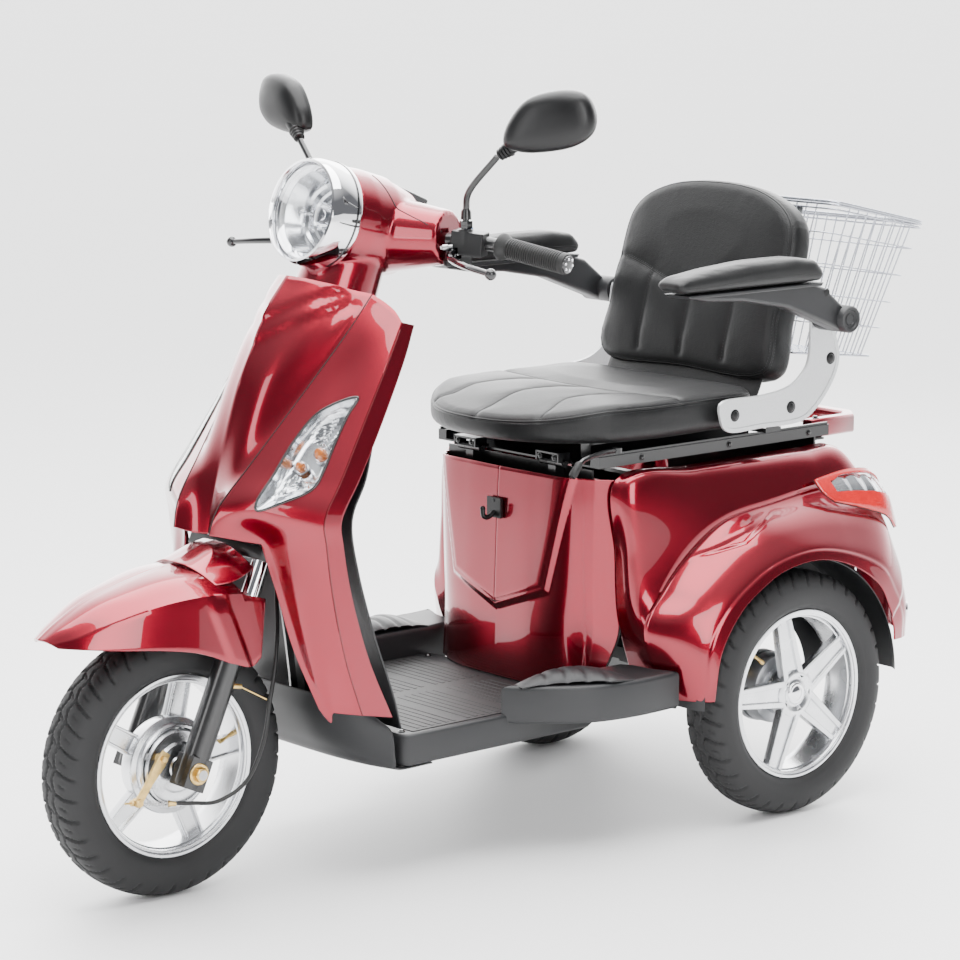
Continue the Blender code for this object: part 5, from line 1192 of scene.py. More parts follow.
def seat_box():
    """Front of the seat box: raised shield panel with a bright chamfer, side folds and hook."""
    grid = fine_grid(SEAT_BOX_ROWS, 30, 20, (), (3,))
    normals = grid_normals(grid)
    if normals[0, 0, 0] < 0:
        normals = -normals
    flat = np.stack([grid[..., 1], grid[..., 2]], axis=-1)
    depth = inside(flat, SHIELD_OUTLINE)
    raised = 0.0058 * np.clip((depth + 0.001) / 0.0075, 0.0, 1.0)
    raised += 0.0014 * np.clip((depth - 0.013) / 0.0035, 0.0, 1.0)
    fold = step(grid[..., 1], 0.172, 0.178) * (1 - step(grid[..., 1], 0.178, 0.190))
    grid = grid + normals * (raised + 0.0012 * fold)[..., None]
    put(thicken(sheet_object("seat_box_skin", grid), mirror=True), RED, "chassis",
        "seat_box_cover", angle=34.0)
    for side, label in SIDES:
        flip = np.array([1.0, side, 1.0])
        seam(f"{label}_seat_box_gap", [(grid[r, -1] + np.array([-0.001, 0.001, 0.0])) * flip
                                       for r in range(0, grid.shape[0], 4)], "chassis", 0.0013)
    slot = outline_plate("shield_slot", [(-0.016, 0.366), (0.0, 0.3605), (0.016, 0.366),
                                         (0.0, 0.3635)], 0.002,
                         Matrix(((0, 0, 1, 0.3822), (1, 0, 0, 0), (0, 1, 0, 0), (0, 0, 0, 1))),
                         breaks="all")
    put(slot, SEAM, "chassis")
    # folding bag hook on a square plate
    base = box("base", (0.3795, -0.017, 0.503), (0.3850, 0.017, 0.537))
    arm = tube("arm", curve_points([(0.384, 0.0, 0.512), (0.397, 0.0, 0.505),
                                    (0.4068, 0.0, 0.509), (0.4085, 0.0, 0.521)]), 0.0042)
    tip = turned("tip", [(0, 0.0046), (0.0034, 0.0034), (0.0048, 0.0), (0.0034, -0.0034),
                         (0, -0.0046)], (0.4085, 0.0, 0.521), (0, 0, 1), 20)
    screws = [turned("screw", [(0, 0.001), (0.0030, 0.0008), (0.0036, 0.0), (0, 0)],
                     (0.3850, 0.0, 0.520 + dz), (1, 0, 0), 16) for dz in (-0.011, 0.012)]
    put(join("bag_hook_body", [base, arm, tip, *screws]), BLACK_PLASTIC, "chassis", "bag_hook",
        bevel=0.0012)


def rear_fenders():
    """Side fenders with the swept brow over the arch, its facet, the rolled lip and liner."""
    per_row, per_col = 20, 14
    grid = fine_grid(REAR_FENDER_ROWS, per_row, per_col, (), (2,))
    normals = grid_normals(grid)
    if normals[100, 35, 1] < 0:
        normals = -normals
    rows, cols = grid.shape[:2]
    along = np.linspace(0, len(REAR_FENDER_ROWS) - 1, rows)[:, None] * np.ones((1, cols))
    across = np.linspace(0, 5, cols)[None, :] * np.ones((rows, 1))
    flat = np.stack([grid[..., 0], grid[..., 2]], axis=-1)
    brow = step(across, 2.0, 2.10) * (1 - step(across, 2.25, 3.5))
    brow *= step(along, 0.6, 1.8) * (1 - step(along, 6.2, 7.4))
    facet = inside(flat, [(0.205, 0.452), (0.120, 0.482), (0.000, 0.520), (0.105, 0.466)])
    facet = np.clip(facet / 0.006, 0.0, 1.0) * step(across, 2.05, 2.2)
    lip = step(across, 4.30, 4.42)
    rear_lobe = step(along, 8.35, 8.55) * step(across, 1.6, 2.4)
    offset = -0.0085 * brow - 0.0030 * facet + 0.0016 * lip - 0.0035 * rear_lobe
    shaped = grid + normals * offset[..., None]
    for side, label in SIDES:
        flip = np.array([1.0, side, 1.0])
        put(thicken(sheet_object(f"{label}_fender_skin", shaped, side=side), rim=0.001), RED,
            "chassis", f"{label}_rear_fender", angle=38.0)
        # painted shade: darker red lines laid in the brow crease and along the lip groove
        seam(f"{label}_fender_brow_painted_shade", [(shaped[r, 2 * per_col + 2]) * flip
                                      for r in range(24, 140, 3)], "chassis", 0.0006, PAINTED_SHADE_RED)
        seam(f"{label}_fender_lip_painted_shade", [(shaped[r, 61] + normals[r, 61] * 0.0002) * flip
                                          for r in range(6, rows - 4, 3)], "chassis", 0.0007,
             PAINTED_SHADE_RED)
        # the seam that drops from the lamp to the rear lobe
        seam(f"{label}_lamp_seam", [(shaped[r, c] + normals[r, c] * 0.0002) * flip
                                    for r, c in [(158, k) for k in range(40, 57, 2)]],
             "chassis", 0.0008)
        profile = [(0.3380, 0.2275), (0.3260, LINER_RADIUS + 0.0010),
                   (0.2700, LINER_RADIUS + 0.0015), (0.2420, LINER_RADIUS),
                   (0.2330, 0.228), (0.2310, 0.216), (0.2305, 0.120)]
        verts, faces, count = [], [], len(profile)
        steps = 56
        for i in range(steps + 1):
            a = math.radians(2.0 + 176.0 * i / steps)
            verts += [(r * math.cos(a), side * y, TYRE_R + r * math.sin(a)) for y, r in profile]
        for i in range(steps):
            for k in range(count - 1):
                a, b = i * count + k, (i + 1) * count + k
                faces.append((a, b, b + 1, a + 1) if side < 0 else (a, a + 1, b + 1, b))
        liner = mesh_object(f"{label}_arch_liner", verts, faces)
        wall = liner.modifiers.new("wall", "SOLIDIFY")
        wall.thickness = 0.0012
        wall.offset = 0.0
        put(bake(liner), CHARCOAL, "chassis")
        # round marker plug at the tail of the lip
        where = Vector(shaped[186, 50] * flip)
        facing_out = Vector(normals[186, 50] * flip)
        put(turned(f"{label}_marker_ring", [(0.0095, 0.0045), (0.0125, 0.0045), (0.0135, 0.0030),
                                            (0.0135, -0.004), (0.0095, -0.004)],
                   where, facing_out, 40, closed=True), CHROME, "chassis")
        put(turned(f"{label}_marker_plug", [(0, 0.0052), (0.006, 0.0046), (0.0092, 0.0028),
                                            (0.0094, -0.004), (0, -0.004)],
                   where, facing_out, 40), GLOSS_BLACK, "chassis")


LAMP_ROWS = [
    [(-0.084, 0.276, 0.548), (-0.092, 0.290, 0.528), (-0.108, 0.303, 0.512)],
    [(-0.150, 0.282, 0.558), (-0.158, 0.303, 0.528), (-0.160, 0.313, 0.498)],
    [(-0.206, 0.283, 0.552), (-0.218, 0.306, 0.518), (-0.220, 0.316, 0.478)],
    [(-0.240, 0.276, 0.520), (-0.255, 0.290, 0.488), (-0.258, 0.302, 0.450)],
]


def rear_lamp(label, side):
    """Wrap-round lamp: red body, clear ribbed window over a bright bowl, thin red border."""
    grid = fine_grid(LAMP_ROWS, 14, 18)
    normals = grid_normals(grid)
    if normals[20, 18, 1] < 0:
        normals = -normals
    rows, cols = grid.shape[:2]
    t = np.linspace(0, 1, rows)[:, None] * np.ones((1, cols))
    w = np.linspace(0, 1, cols)[None, :] * np.ones((rows, 1))
    window = (w < 0.56) & (w > 0.10) & (t > 0.10) & (t < 0.93) & (w > 0.10 + 0.9 * (0.22 - t))
    edge = np.minimum(np.minimum(w, 1 - w) * 0.055, np.minimum(t, 1 - t) * 0.17)
    crown = 0.0016 * step(edge, 0.0, 0.006)
    ribs = 0.0004 * np.cos(w * math.tau * 14)
    base = grid + normals * (crown - 0.0004)[..., None]
    skip_red = {(r, c) for r in range(rows - 1) for c in range(cols - 1)
                if window[r:r + 2, c:c + 2].all()}
    red = sheet_object(f"{label}_lamp_body", base + normals * (0.2 * ribs)[..., None], side=side,
                       skip=skip_red)
    put(thicken(red, 0.005, rim=0.0004), RED_LENS, "chassis", f"{label}_taillight")
    keep = {(r, c) for r in range(rows - 1) for c in range(cols - 1)} - skip_red
    ribbed = grid + normals * (crown + 0.0003 + ribs)[..., None]
    lens = sheet_object(f"{label}_lamp_window", ribbed, side=side, skip=keep)
    put(thicken(lens, 0.0012, rim=0.0), CLEAR, "chassis")
    bowl = grid - normals * (0.0035 + 0.0012 * np.cos(t * math.tau * 6))[..., None]
    back = sheet_object(f"{label}_lamp_bowl", bowl, side=side, skip=keep)
    put(thicken(back, 0.0008, rim=0.0), REFLECTOR, "chassis")
    ring = [base[0, c] for c in range(cols)] + [base[r, -1] for r in range(rows)]
    ring += [base[-1, c] for c in reversed(range(cols))]
    ring += [base[r, 0] for r in reversed(range(rows))]
    flip = np.array([1.0, side, 1.0])
    seam(f"{label}_lamp_gap", [p * flip for p in ring[::2]], "chassis", 0.0011)


def rear_panel():
    """Tail panel with a recessed field, a lidded charging socket and two reflectors."""
    grid = fine_grid([list(reversed(row)) for row in REAR_PANEL_ROWS], 30, 30)
    normals = grid_normals(grid)
    if normals[45, 30, 0] > 0:
        normals = -normals
    flat = np.stack([grid[..., 1], grid[..., 2]], axis=-1)
    field = inside(flat, [(0.150, 0.330), (0.165, 0.520), (0.120, 0.545), (-0.120, 0.545),
                          (-0.165, 0.520), (-0.150, 0.330), (-0.120, 0.312), (0.120, 0.312)])
    grid = grid - normals * (0.0035 * np.clip(field / 0.008, 0, 1))[..., None]
    panel = put(thicken(sheet_object("tail_panel_skin", grid), mirror=True), RED, "chassis",
                "rear_body_panel", angle=36.0)
    tree = surface_tree(panel)
    lid = drop_on(tree, [(-0.275, 0.0, 0.370)], 0.0)[0]
    axis = (-0.985, 0.0, 0.17)
    put(turned("charging_lid", [(0, 0.006), (0.019, 0.0055), (0.0225, 0.004), (0.024, 0.0),
                                (0.024, -0.002), (0, -0.002)], lid, axis, 48), BLACK_PLASTIC,
        "chassis")
    put(turned("charging_lid_ring", [(0.0245, 0.0042), (0.0275, 0.0036), (0.0290, 0.0),
                                     (0.0290, -0.002), (0.0245, -0.002)], lid, axis, 48,
               closed=True), CHROME, "chassis")
    for side, label in SIDES:
        spot = drop_on(tree, [(-0.276, side * 0.105, 0.400)], 0.0)[0]
        put(turned(f"{label}_rear_reflector", [(0, 0.0048), (0.018, 0.0044), (0.0205, 0.0030),
                                               (0.0215, -0.002), (0, -0.002)], spot, axis, 40),
            RED_LENS, "chassis")
        put(turned(f"{label}_reflector_rim", [(0.0212, 0.0040), (0.0235, 0.0030), (0.0240, -0.002),
                                              (0.0212, -0.002)], spot, axis, 40, closed=True),
            BLACK_PLASTIC, "chassis")


def grab_rail():
    """Flat red rail round the tail, hollow underneath."""
    outline = [(-0.2110, 0.1495), (-0.318, 0.1495), (-0.3495, 0.117), (-0.3495, -0.117),
               (-0.318, -0.1495), (-0.2110, -0.1495), (-0.2110, -0.1285), (-0.310, -0.1285),
               (-0.3285, -0.109), (-0.3285, 0.109), (-0.310, 0.1285), (-0.2110, 0.1285)]
    rail = outline_plate("tail_rail", outline, 0.033, Matrix.Translation((0, 0, 0.606)),
                         bevel=0.005, breaks="all")
    put(rail, RED, "chassis", "rear_grab_rail", angle=50.0)
    feet = [outline_plate("foot", [(-0.2080, side * 0.152), (-0.2400, side * 0.152),
                                   (-0.2400, side * 0.126), (-0.2080, side * 0.126)], 0.004,
                          Matrix.Translation((0, 0, 0.5880)), bevel=0.001, breaks="all")
            for side, _ in SIDES]
    feet += [bolt("bolt", (-0.231, side * 0.139, 0.6225), (0, 0, 1), 0.0042, 0.004)
             for side, _ in SIDES]
    put(join("tail_rail_fixings", feet), BLACK_STEEL, "chassis")


seat_box()
rear_fenders()
for side, label in SIDES:
    rear_lamp(label, side)
rear_panel()
grab_rail()


# ------------------------------------------------------------------ footboard
DECK_TOP = 0.235


def deck():
    """Deck tray, its ribbed mat, the edge beading and screws."""
    outline = [(0.347, -0.196), (0.361, -0.2095), (0.735, -0.2095), (0.749, -0.196),
               (0.749, 0.196), (0.735, 0.2095), (0.361, 0.2095), (0.347, 0.196)]
    slab = outline_plate("deck_tray", outline, 0.051, Matrix.Translation((0, 0, 0.2095)),
                         bevel=0.006, per_span=4, breaks="all")
    hollow = box("hollow", (0.355, -0.198, 0.15), (0.741, 0.198, 0.2219))
    cut = slab.modifiers.new("hollow", "BOOLEAN")
    cut.operation = "DIFFERENCE"
    cut.object = hollow
    slab = bake(slab)
    bpy.data.objects.remove(hollow, do_unlink=True)
    parts = [slab]
    for side, _ in SIDES:
        # foot wing: thick outer rim, low in front, stepping up behind to carry the fender
        plan = [(0.294, 0.2090), (0.281, 0.236), (0.277, 0.268), (0.264, 0.300), (0.2595, 0.3118),
                (0.345, 0.3138), (0.425, 0.2998), (0.485, 0.2618), (0.5445, 0.2035),
                (0.380, 0.2035)]
        plan = [(x, side * y) for x, y in plan]
        if side < 0:
            plan.reverse()
        parts.append(outline_plate("wing", plan, 0.0615, Matrix.Translation((0, 0, 0.2500)),
                                   bevel=0.0075, per_span=5,
                                   breaks=[0, 4, 8, 9] if side > 0 else [0, 1, 5, 9]))
    put(join("footboard_body", parts), CHARCOAL, "chassis", "footboard", angle=48.0)

    # hump ahead of the wheel on each wing, crossed by four curved grooves
    for side, label in SIDES:
        rows, cols = 44, 30
        verts, faces = [], []
        for i in range(rows + 1):
            u = i / rows
            for j in range(cols + 1):
                v = j / cols
                x = 0.352 + 0.172 * u
                reach = 0.2085 + (0.3085 - 0.2085) * (1 - max(0.0, (x - 0.395)) / 0.165)
                y = 0.2085 + (max(reach, 0.212) - 0.2085) * v
                rise = math.sin(math.pi * min(1.0, 0.04 + 0.96 * u)) ** 0.8
                rise *= math.sin(math.pi * (0.08 + 0.88 * v)) ** 0.55
                groove = 0.0
                for k in range(4):
                    place = 0.20 + 0.17 * k + 0.10 * v * v
                    groove = max(groove, math.exp(-((u - place) / 0.022) ** 2))
                z = 0.2792 + 0.0230 * rise - 0.0034 * groove * min(1.0, rise * 1.5)
                verts.append((x, side * y, z))
        for i in range(rows):
            for j in range(cols):
                a = i * (cols + 1) + j
                face = (a, a + cols + 1, a + cols + 2, a + 1)
                faces.append(face if side > 0 else tuple(reversed(face)))
        pad = mesh_object(f"{label}_foot_hump", verts, faces)
        wall = pad.modifiers.new("wall", "SOLIDIFY")
        wall.thickness = 0.003
        wall.offset = -1.0
        put(bake(pad), CHARCOAL, "chassis", angle=60.0)

    # rubber mat: raised field with cross ribs, parted into zones
    ribs = []
    for index in range(21):
        x = 0.404 + index * 0.0148
        if index in (7, 14):
            continue
        for side, _ in SIDES:
            ribs.append(box("rib", (x, side * 0.1020 - 0.0880, DECK_TOP - 0.0004),
                            (x + 0.0062, side * 0.1020 + 0.0880, DECK_TOP + 0.0019)))
    field = outline_plate("field", [(0.392, -0.198), (0.722, -0.198), (0.722, 0.198),
                                    (0.392, 0.198)], 0.0016,
                          Matrix.Translation((0, 0, DECK_TOP + 0.0004)), bevel=0.0005, breaks="all")
    put(join("floor_mat", [field, *ribs]), MAT_PLASTIC, "chassis",
        bevel=0.0007)
    screws = [bolt("screw", (x, y, DECK_TOP + 0.0010), (0, 0, 1), 0.0042, 0.0026, hexagon=False)
              for x in (0.372, 0.733) for y in (-0.185, 0.0, 0.185)]
    put(join("deck_screws", screws), BLACK_STEEL, "chassis")


deck()


# ------------------------------------------------------------------ cushions
SEAT_OUTLINE = [(0.000, 0.208), (0.110, 0.226), (0.225, 0.228), (0.318, 0.210), (0.386, 0.160),
                (0.428, 0.085), (0.440, 0.000), (0.428, -0.085), (0.386, -0.160),
                (0.318, -0.210), (0.225, -0.228), (0.110, -0.226), (0.000, -0.208),
                (-0.014, 0.0)]
BACK_OUTLINE = [(0.000, -0.196), (0.100, -0.206), (0.190, -0.208), (0.270, -0.192),
                (0.314, -0.115), (0.326, 0.000), (0.314, 0.115), (0.270, 0.192), (0.190, 0.208),
                (0.100, 0.206), (0.000, 0.196), (-0.004, 0.0)]
BACK_FOOT = Vector((-0.060, 0.0, 0.712))
CUSHION_LOW, CUSHION_TOP = 0.6428, 0.706
BACK_HALF = 0.032
CROSS_SEAM = [(0.176, -0.226), (0.179, -0.202), (0.190, -0.110), (0.194, 0.0), (0.190, 0.110),
              (0.179, 0.202), (0.176, 0.226)]
FRONT_SEAMS = [[(0.400, -0.130), (0.372, -0.118), (0.318, -0.128), (0.262, -0.132),
                (0.222, -0.120), (0.190, -0.092)],
               [(0.438, 0.010), (0.400, 0.004), (0.340, -0.012), (0.279, -0.022), (0.232, -0.012),
                (0.194, 0.022)],
               [(0.400, 0.130), (0.372, 0.122), (0.318, 0.098), (0.262, 0.092), (0.222, 0.108),
                (0.190, 0.140)]]
BACK_CROSS = [(0.182, -0.215), (0.178, -0.190), (0.168, -0.140), (0.146, -0.070), (0.134, 0.0),
              (0.146, 0.070), (0.168, 0.140), (0.178, 0.190), (0.182, 0.215)]
BACK_SEAMS = [[(0.160, -0.105), (0.100, -0.106), (0.020, -0.104)],
              [(0.134, 0.0), (0.080, 0.0), (0.020, 0.0)],
              [(0.160, 0.105), (0.100, 0.106), (0.020, 0.104)]]


def smooth_ring(outline, per_span=6):
    ring = [(u, v, 0.0) for u, v in outline]
    count = len(ring)
    path = curve_points(ring[-2:] + ring + ring[:2], per_span)
    return [(p[0], p[1]) for p in path[2 * per_span:(2 + count) * per_span]]


def line_gap(points, lines):
    gap = np.full(len(points), 1e9)
    for line in lines:
        gap = np.minimum(gap, np.abs(distance_to(points, line)))
    return gap


def places(obj):
    """The mesh's vertex positions as an array."""
    co = np.zeros(len(obj.data.vertices) * 3)
    obj.data.vertices.foreach_get("co", co)
    return co.reshape(-1, 3)


FILL_QUALITY = 4             # cloth steps per frame
FILL_BENDING = 0.8           # how stiffly leather folds


def inflate(form, co, held, ease, pressure, frames, stiffness=None, mass=None):
    """Fill a closed form by cloth pressure; held pins its vertices and ease caps their travel."""
    group = form.vertex_groups.new(name="held")
    for index, weight in enumerate(held):
        group.add([index], float(min(1.0, weight)), "REPLACE")
    cloth = form.modifiers.new("cloth", "CLOTH")
    cloth.settings.quality = FILL_QUALITY
    if mass is not None:
        cloth.settings.mass = mass
    if stiffness is not None:
        cloth.settings.tension_stiffness = stiffness
        cloth.settings.compression_stiffness = stiffness
    cloth.settings.bending_stiffness = FILL_BENDING
    cloth.settings.use_pressure = True
    cloth.settings.uniform_pressure_force = pressure
    cloth.settings.vertex_group_mass = "held"
    cloth.settings.effector_weights.gravity = 0.0
    cloth.collision_settings.use_collision = False
    cloth.point_cache.frame_start = 1
    cloth.point_cache.frame_end = frames
    for number in range(1, frames + 1):
        bpy.context.scene.frame_set(number)
    bpy.context.view_layer.update()
    graph = bpy.context.evaluated_depsgraph_get()
    blown = bpy.data.meshes.new_from_object(form.evaluated_get(graph))
    after = np.zeros(len(blown.vertices) * 3)
    blown.vertices.foreach_get("co", after)
    move = after.reshape(-1, 3) - co
    size = np.linalg.norm(move, axis=1, keepdims=True)
    move *= np.minimum(1.0, ease / np.maximum(size, 1e-9))
    form.modifiers.clear()
    form.vertex_groups.clear()
    form.data.vertices.foreach_set("co", (co + move).ravel())
    form.data.update()
    bpy.context.scene.frame_set(1)


def stuffed(name, outline, thickness, roundness, shape, lines, voxel=0.006, welt=0.012,
            ease=0.004, pressure=4.0):
    """Padded form lying flat, its face up: cut to shape, then filled by cloth pressure.

    The back, the welt and the sewn lines are held; the panels between them fill out.
    """
    form = outline_plate(name, outline, thickness, Matrix.Identity(4), bevel=roundness)
    cut = form.modifiers.new("voxels", "REMESH")
    cut.mode = "VOXEL"
    cut.voxel_size = voxel
    form = bake(form)
    ring = smooth_ring(outline)
    mesh = form.data
    co = places(form)
    half = thickness / 2
    edge = inside(co[:, :2], ring)
    face = step(co[:, 2], -0.1 * half, 0.7 * half)
    gap = line_gap(co[:, :2], lines)
    # crown the face, sink the sewn lines
    co[:, 2] += face * shape(co[:, 0], co[:, 1])
    co[:, 2] -= face * 0.0034 * np.exp(-(gap / 0.0052) ** 2)
    held = np.maximum(1.0 - face, np.exp(-(gap / 0.006) ** 2))
    held = np.maximum(held, np.exp(-((edge - welt) / 0.006) ** 2) * face)
    mesh.vertices.foreach_set("co", co.ravel())
    mesh.update()
    inflate(form, co, held, ease, pressure, frames=20, stiffness=12.0, mass=0.4)
    fine = form.modifiers.new("fine", "SUBSURF")
    fine.levels = fine.render_levels = 1
    return bake(form)


def stitches(name, path, tree, sideways, body, pitch=0.0052, length=0.0034, lift=0.0002):
    """Row of thread stitches beside a sewn line."""
    path = [Vector(p) for p in path]
    verts, faces = [], []
    travel, due = 0.0, 0.0
    for a, b in zip(path, path[1:]):
        run = (b - a).length
        while due <= travel + run and run > 0:
            spot = a.lerp(b, (due - travel) / run)
            place, normal, _, _ = tree.find_nearest(spot)
            heading = (b - a).normalized()
            heading = (heading - normal * heading.dot(normal)).normalized()
            aside = normal.cross(heading)
            middle, normal2, _, _ = tree.find_nearest(place + aside * sideways)
            middle = middle + normal2 * lift
            first = len(verts)
            verts += [middle - heading * length / 2, middle + heading * length / 2,
                      middle + aside * 0.00055, middle - aside * 0.00055,
                      middle + normal2 * 0.0006]
            faces += [(first, first + 3, first + 4), (first + 3, first + 1, first + 4),
                      (first + 1, first + 2, first + 4), (first + 2, first, first + 4)]
            due += pitch
        travel += run
    return put(mesh_object(name, verts, faces), THREAD, body)


def sewn(prefix, lines, tree, body, rows=(-0.0030, 0.0030), radius=0.0008):
    """Dark seam cords and the stitches beside them along lines laid on a cushion."""
    for index, line in enumerate(lines):
        laid = drop_on(tree, line, -radius * 0.3)
        seam(f"{prefix}_seam_{index}", laid, body, radius, SEAM_THREAD)
        for row, sideways in enumerate(rows):
            stitches(f"{prefix}_stitch_{index}_{row}", laid, tree, sideways, body)


def inset_ring(outline, inset, per_span=6):
    """Points of a smooth outline moved inwards."""
    ring = [np.array(p) for p in smooth_ring(outline, per_span)]
    count = len(ring)
    moved = []
    for i in range(count):
        ahead = ring[(i + 1) % count] - ring[i - 1]
        normal = np.array([-ahead[1], ahead[0]]) / max(np.linalg.norm(ahead), 1e-9)
        moved.append(ring[i] + normal * inset)
    if inside(np.array([moved[0]]), smooth_ring(outline, per_span))[0] < 0:
        moved = [2 * r - m for r, m in zip(ring, moved)]
    return moved


def seat_cushions():
    # seat: crowned, falling away towards its front edge
    centre_z = (CUSHION_LOW + CUSHION_TOP) / 2

    def seat_shape(x, y):
        fall = -0.022 * step(x, 0.30, 0.45)
        dish = -0.004 * np.exp(-((x - 0.10) / 0.10) ** 2 - (y / 0.13) ** 2)
        return fall + dish + 0.0015

    body = "seat"
    outline = list(reversed(SEAT_OUTLINE))
    cushion = stuffed("seat_pad", outline, CUSHION_TOP - CUSHION_LOW, 0.019, seat_shape,
                      [CROSS_SEAM, *FRONT_SEAMS])
    cushion.data.transform(Matrix.Translation((0, 0, centre_z)))
    tree = surface_tree(cushion)
    put(cushion, LEATHER, body, "seat_cushion", angle=180.0)
    lines = []
    for line in [CROSS_SEAM, *FRONT_SEAMS]:
        path = curve_points([(x, y, 0.0) for x, y in line], 8)
        lines.append([(p[0], p[1], CUSHION_TOP - 0.030 * float(step(p[0], 0.30, 0.45)))
                      for p in path])
    sewn("seat", lines, tree, body)
    welt = [(p[0], p[1], CUSHION_TOP - 0.010 - 0.022 * float(step(p[0], 0.30, 0.45)))
            for p in inset_ring(outline, 0.0045)]
    laid = drop_on(tree, welt + welt[:1], -0.0002)
    put(tube("seat_welt", laid, 0.0016, resolution=3), LEATHER, body)
    stitches("seat_welt_stitch", laid, tree, 0.0046, body)
    stitches("seat_welt_stitch_low", laid, tree, -0.0046, body)

    # backrest: taller than wide, bolstered below its curved cross seam
    def back_shape(x, y):
        bolster = 0.005 * (1 - step(-x, 0.13, 0.17)) * step(-x, 0.0, 0.05)
        return bolster - 0.004 * step(np.abs(y), 0.15, 0.21)

    outline = [(-u, v) for u, v in BACK_OUTLINE]
    flat_lines = [[(-u, v) for u, v in line] for line in [BACK_CROSS, *BACK_SEAMS]]
    back = stuffed("backrest_pad", outline, 2 * BACK_HALF - 0.004, 0.020, back_shape, flat_lines)
    lean = Matrix.Rotation(-BACK_LEAN, 4, "Y")
    stand = Matrix(((0, 0, 1, 0), (0, 1, 0, 0), (-1, 0, 0, 0), (0, 0, 0, 1)))
    place = Matrix.Translation(BACK_FOOT) @ lean @ stand
    back.data.transform(place)
    tree = surface_tree(back)
    put(back, LEATHER, body, "backrest_cushion", angle=180.0)
    lines = []
    for line in flat_lines:
        path = curve_points([(x, y, 0.0) for x, y in line], 8)
        lines.append([place @ Vector((p[0], p[1], BACK_HALF - 0.002)) for p in path])
    sewn("backrest", lines, tree, body)
    welt = [place @ Vector((p[0], p[1], BACK_HALF - 0.010)) for p in inset_ring(outline, 0.0060)]
    laid = drop_on(tree, welt + welt[:1], -0.0002)
    put(tube("backrest_welt", laid, 0.0014, resolution=3), LEATHER, body)
    stitches("backrest_welt_stitch", laid, tree, 0.0042, body)
    stitches("backrest_welt_stitch_low", laid, tree, -0.0042, body)
    # moulded back cover behind the padding
    cover = outline_plate("backrest_cover", [(-(0.012 + u * 0.93), v * 0.93)
                                             for u, v in BACK_OUTLINE], 0.004,
                          place @ Matrix.Translation((0, 0, -BACK_HALF + 0.0012)), bevel=0.0012)
    put(cover, BLACK_PLASTIC, body)


# ------------------------------------------------------------------ brackets and armrests
BRACKET_OUTLINE = [(0.101, 0.696), (0.013, 0.698), (-0.050, 0.706), (-0.086, 0.728),
                   (-0.100, 0.756), (-0.104, 0.822), (-0.114, 0.836), (-0.130, 0.838),
                   (-0.142, 0.828), (-0.166, 0.776), (-0.172, 0.738), (-0.153, 0.699),
                   (-0.114, 0.660), (-0.073, 0.6435), (0.012, 0.6430), (0.087, 0.6430),
                   (0.108, 0.668)]
ARM_PIVOT = (-0.120, 0.820)
ARM_Y = 0.292
PAD_Y = ARM_Y + 0.004        # middle plane of an armrest pad


def valance():
    """Leather flap that closes the gap between the seat's rear edge and the backrest."""
    profile = [(-0.054, 0.746), (-0.046, 0.726), (-0.036, 0.704), (-0.025, 0.680), (-0.018, 0.655)]
    rows = [[(x - 0.10 * (y / 0.19) ** 4 * 0.1, y, z) for y in (-0.186, -0.1, 0.0, 0.1, 0.186)]
            for x, z in profile]
    flap = sheet_object("seat_valance", fine_grid(rows, 5, 8))
    put(thicken(flap, 0.004), LEATHER, "seat", angle=180.0)


def brackets():
    for side, label in SIDES:
        body = "seat"
        ring = [tuple(p) for p in smooth_ring(BRACKET_OUTLINE, 5)]
        inner = [tuple(p) for p in inset_ring(BRACKET_OUTLINE, 0.0075, 5)]
        plate = outline_plate("plate", ring, 0.0046, upright(side * 0.2438), bevel=0.0006,
                              breaks="all")
        rim = outline_plate("rim", ring, 0.0022, upright(side * 0.24665), bevel=0.0008,
                            breaks="all", holes=[inner])
        put(join(f"{label}_bracket", [plate, rim]), SILVER, body, f"{label}_seat_bracket",
            angle=35.0)
        caps = [bolt("cap", (x, side * 0.2459, z), (0, side, 0), 0.0072, 0.0034, hexagon=False)
                for x, z in ((0.074, 0.670), (-0.058, 0.671), (-0.152, 0.745))]
        put(join(f"{label}_bracket_caps", caps), BLACK_PLASTIC, body)


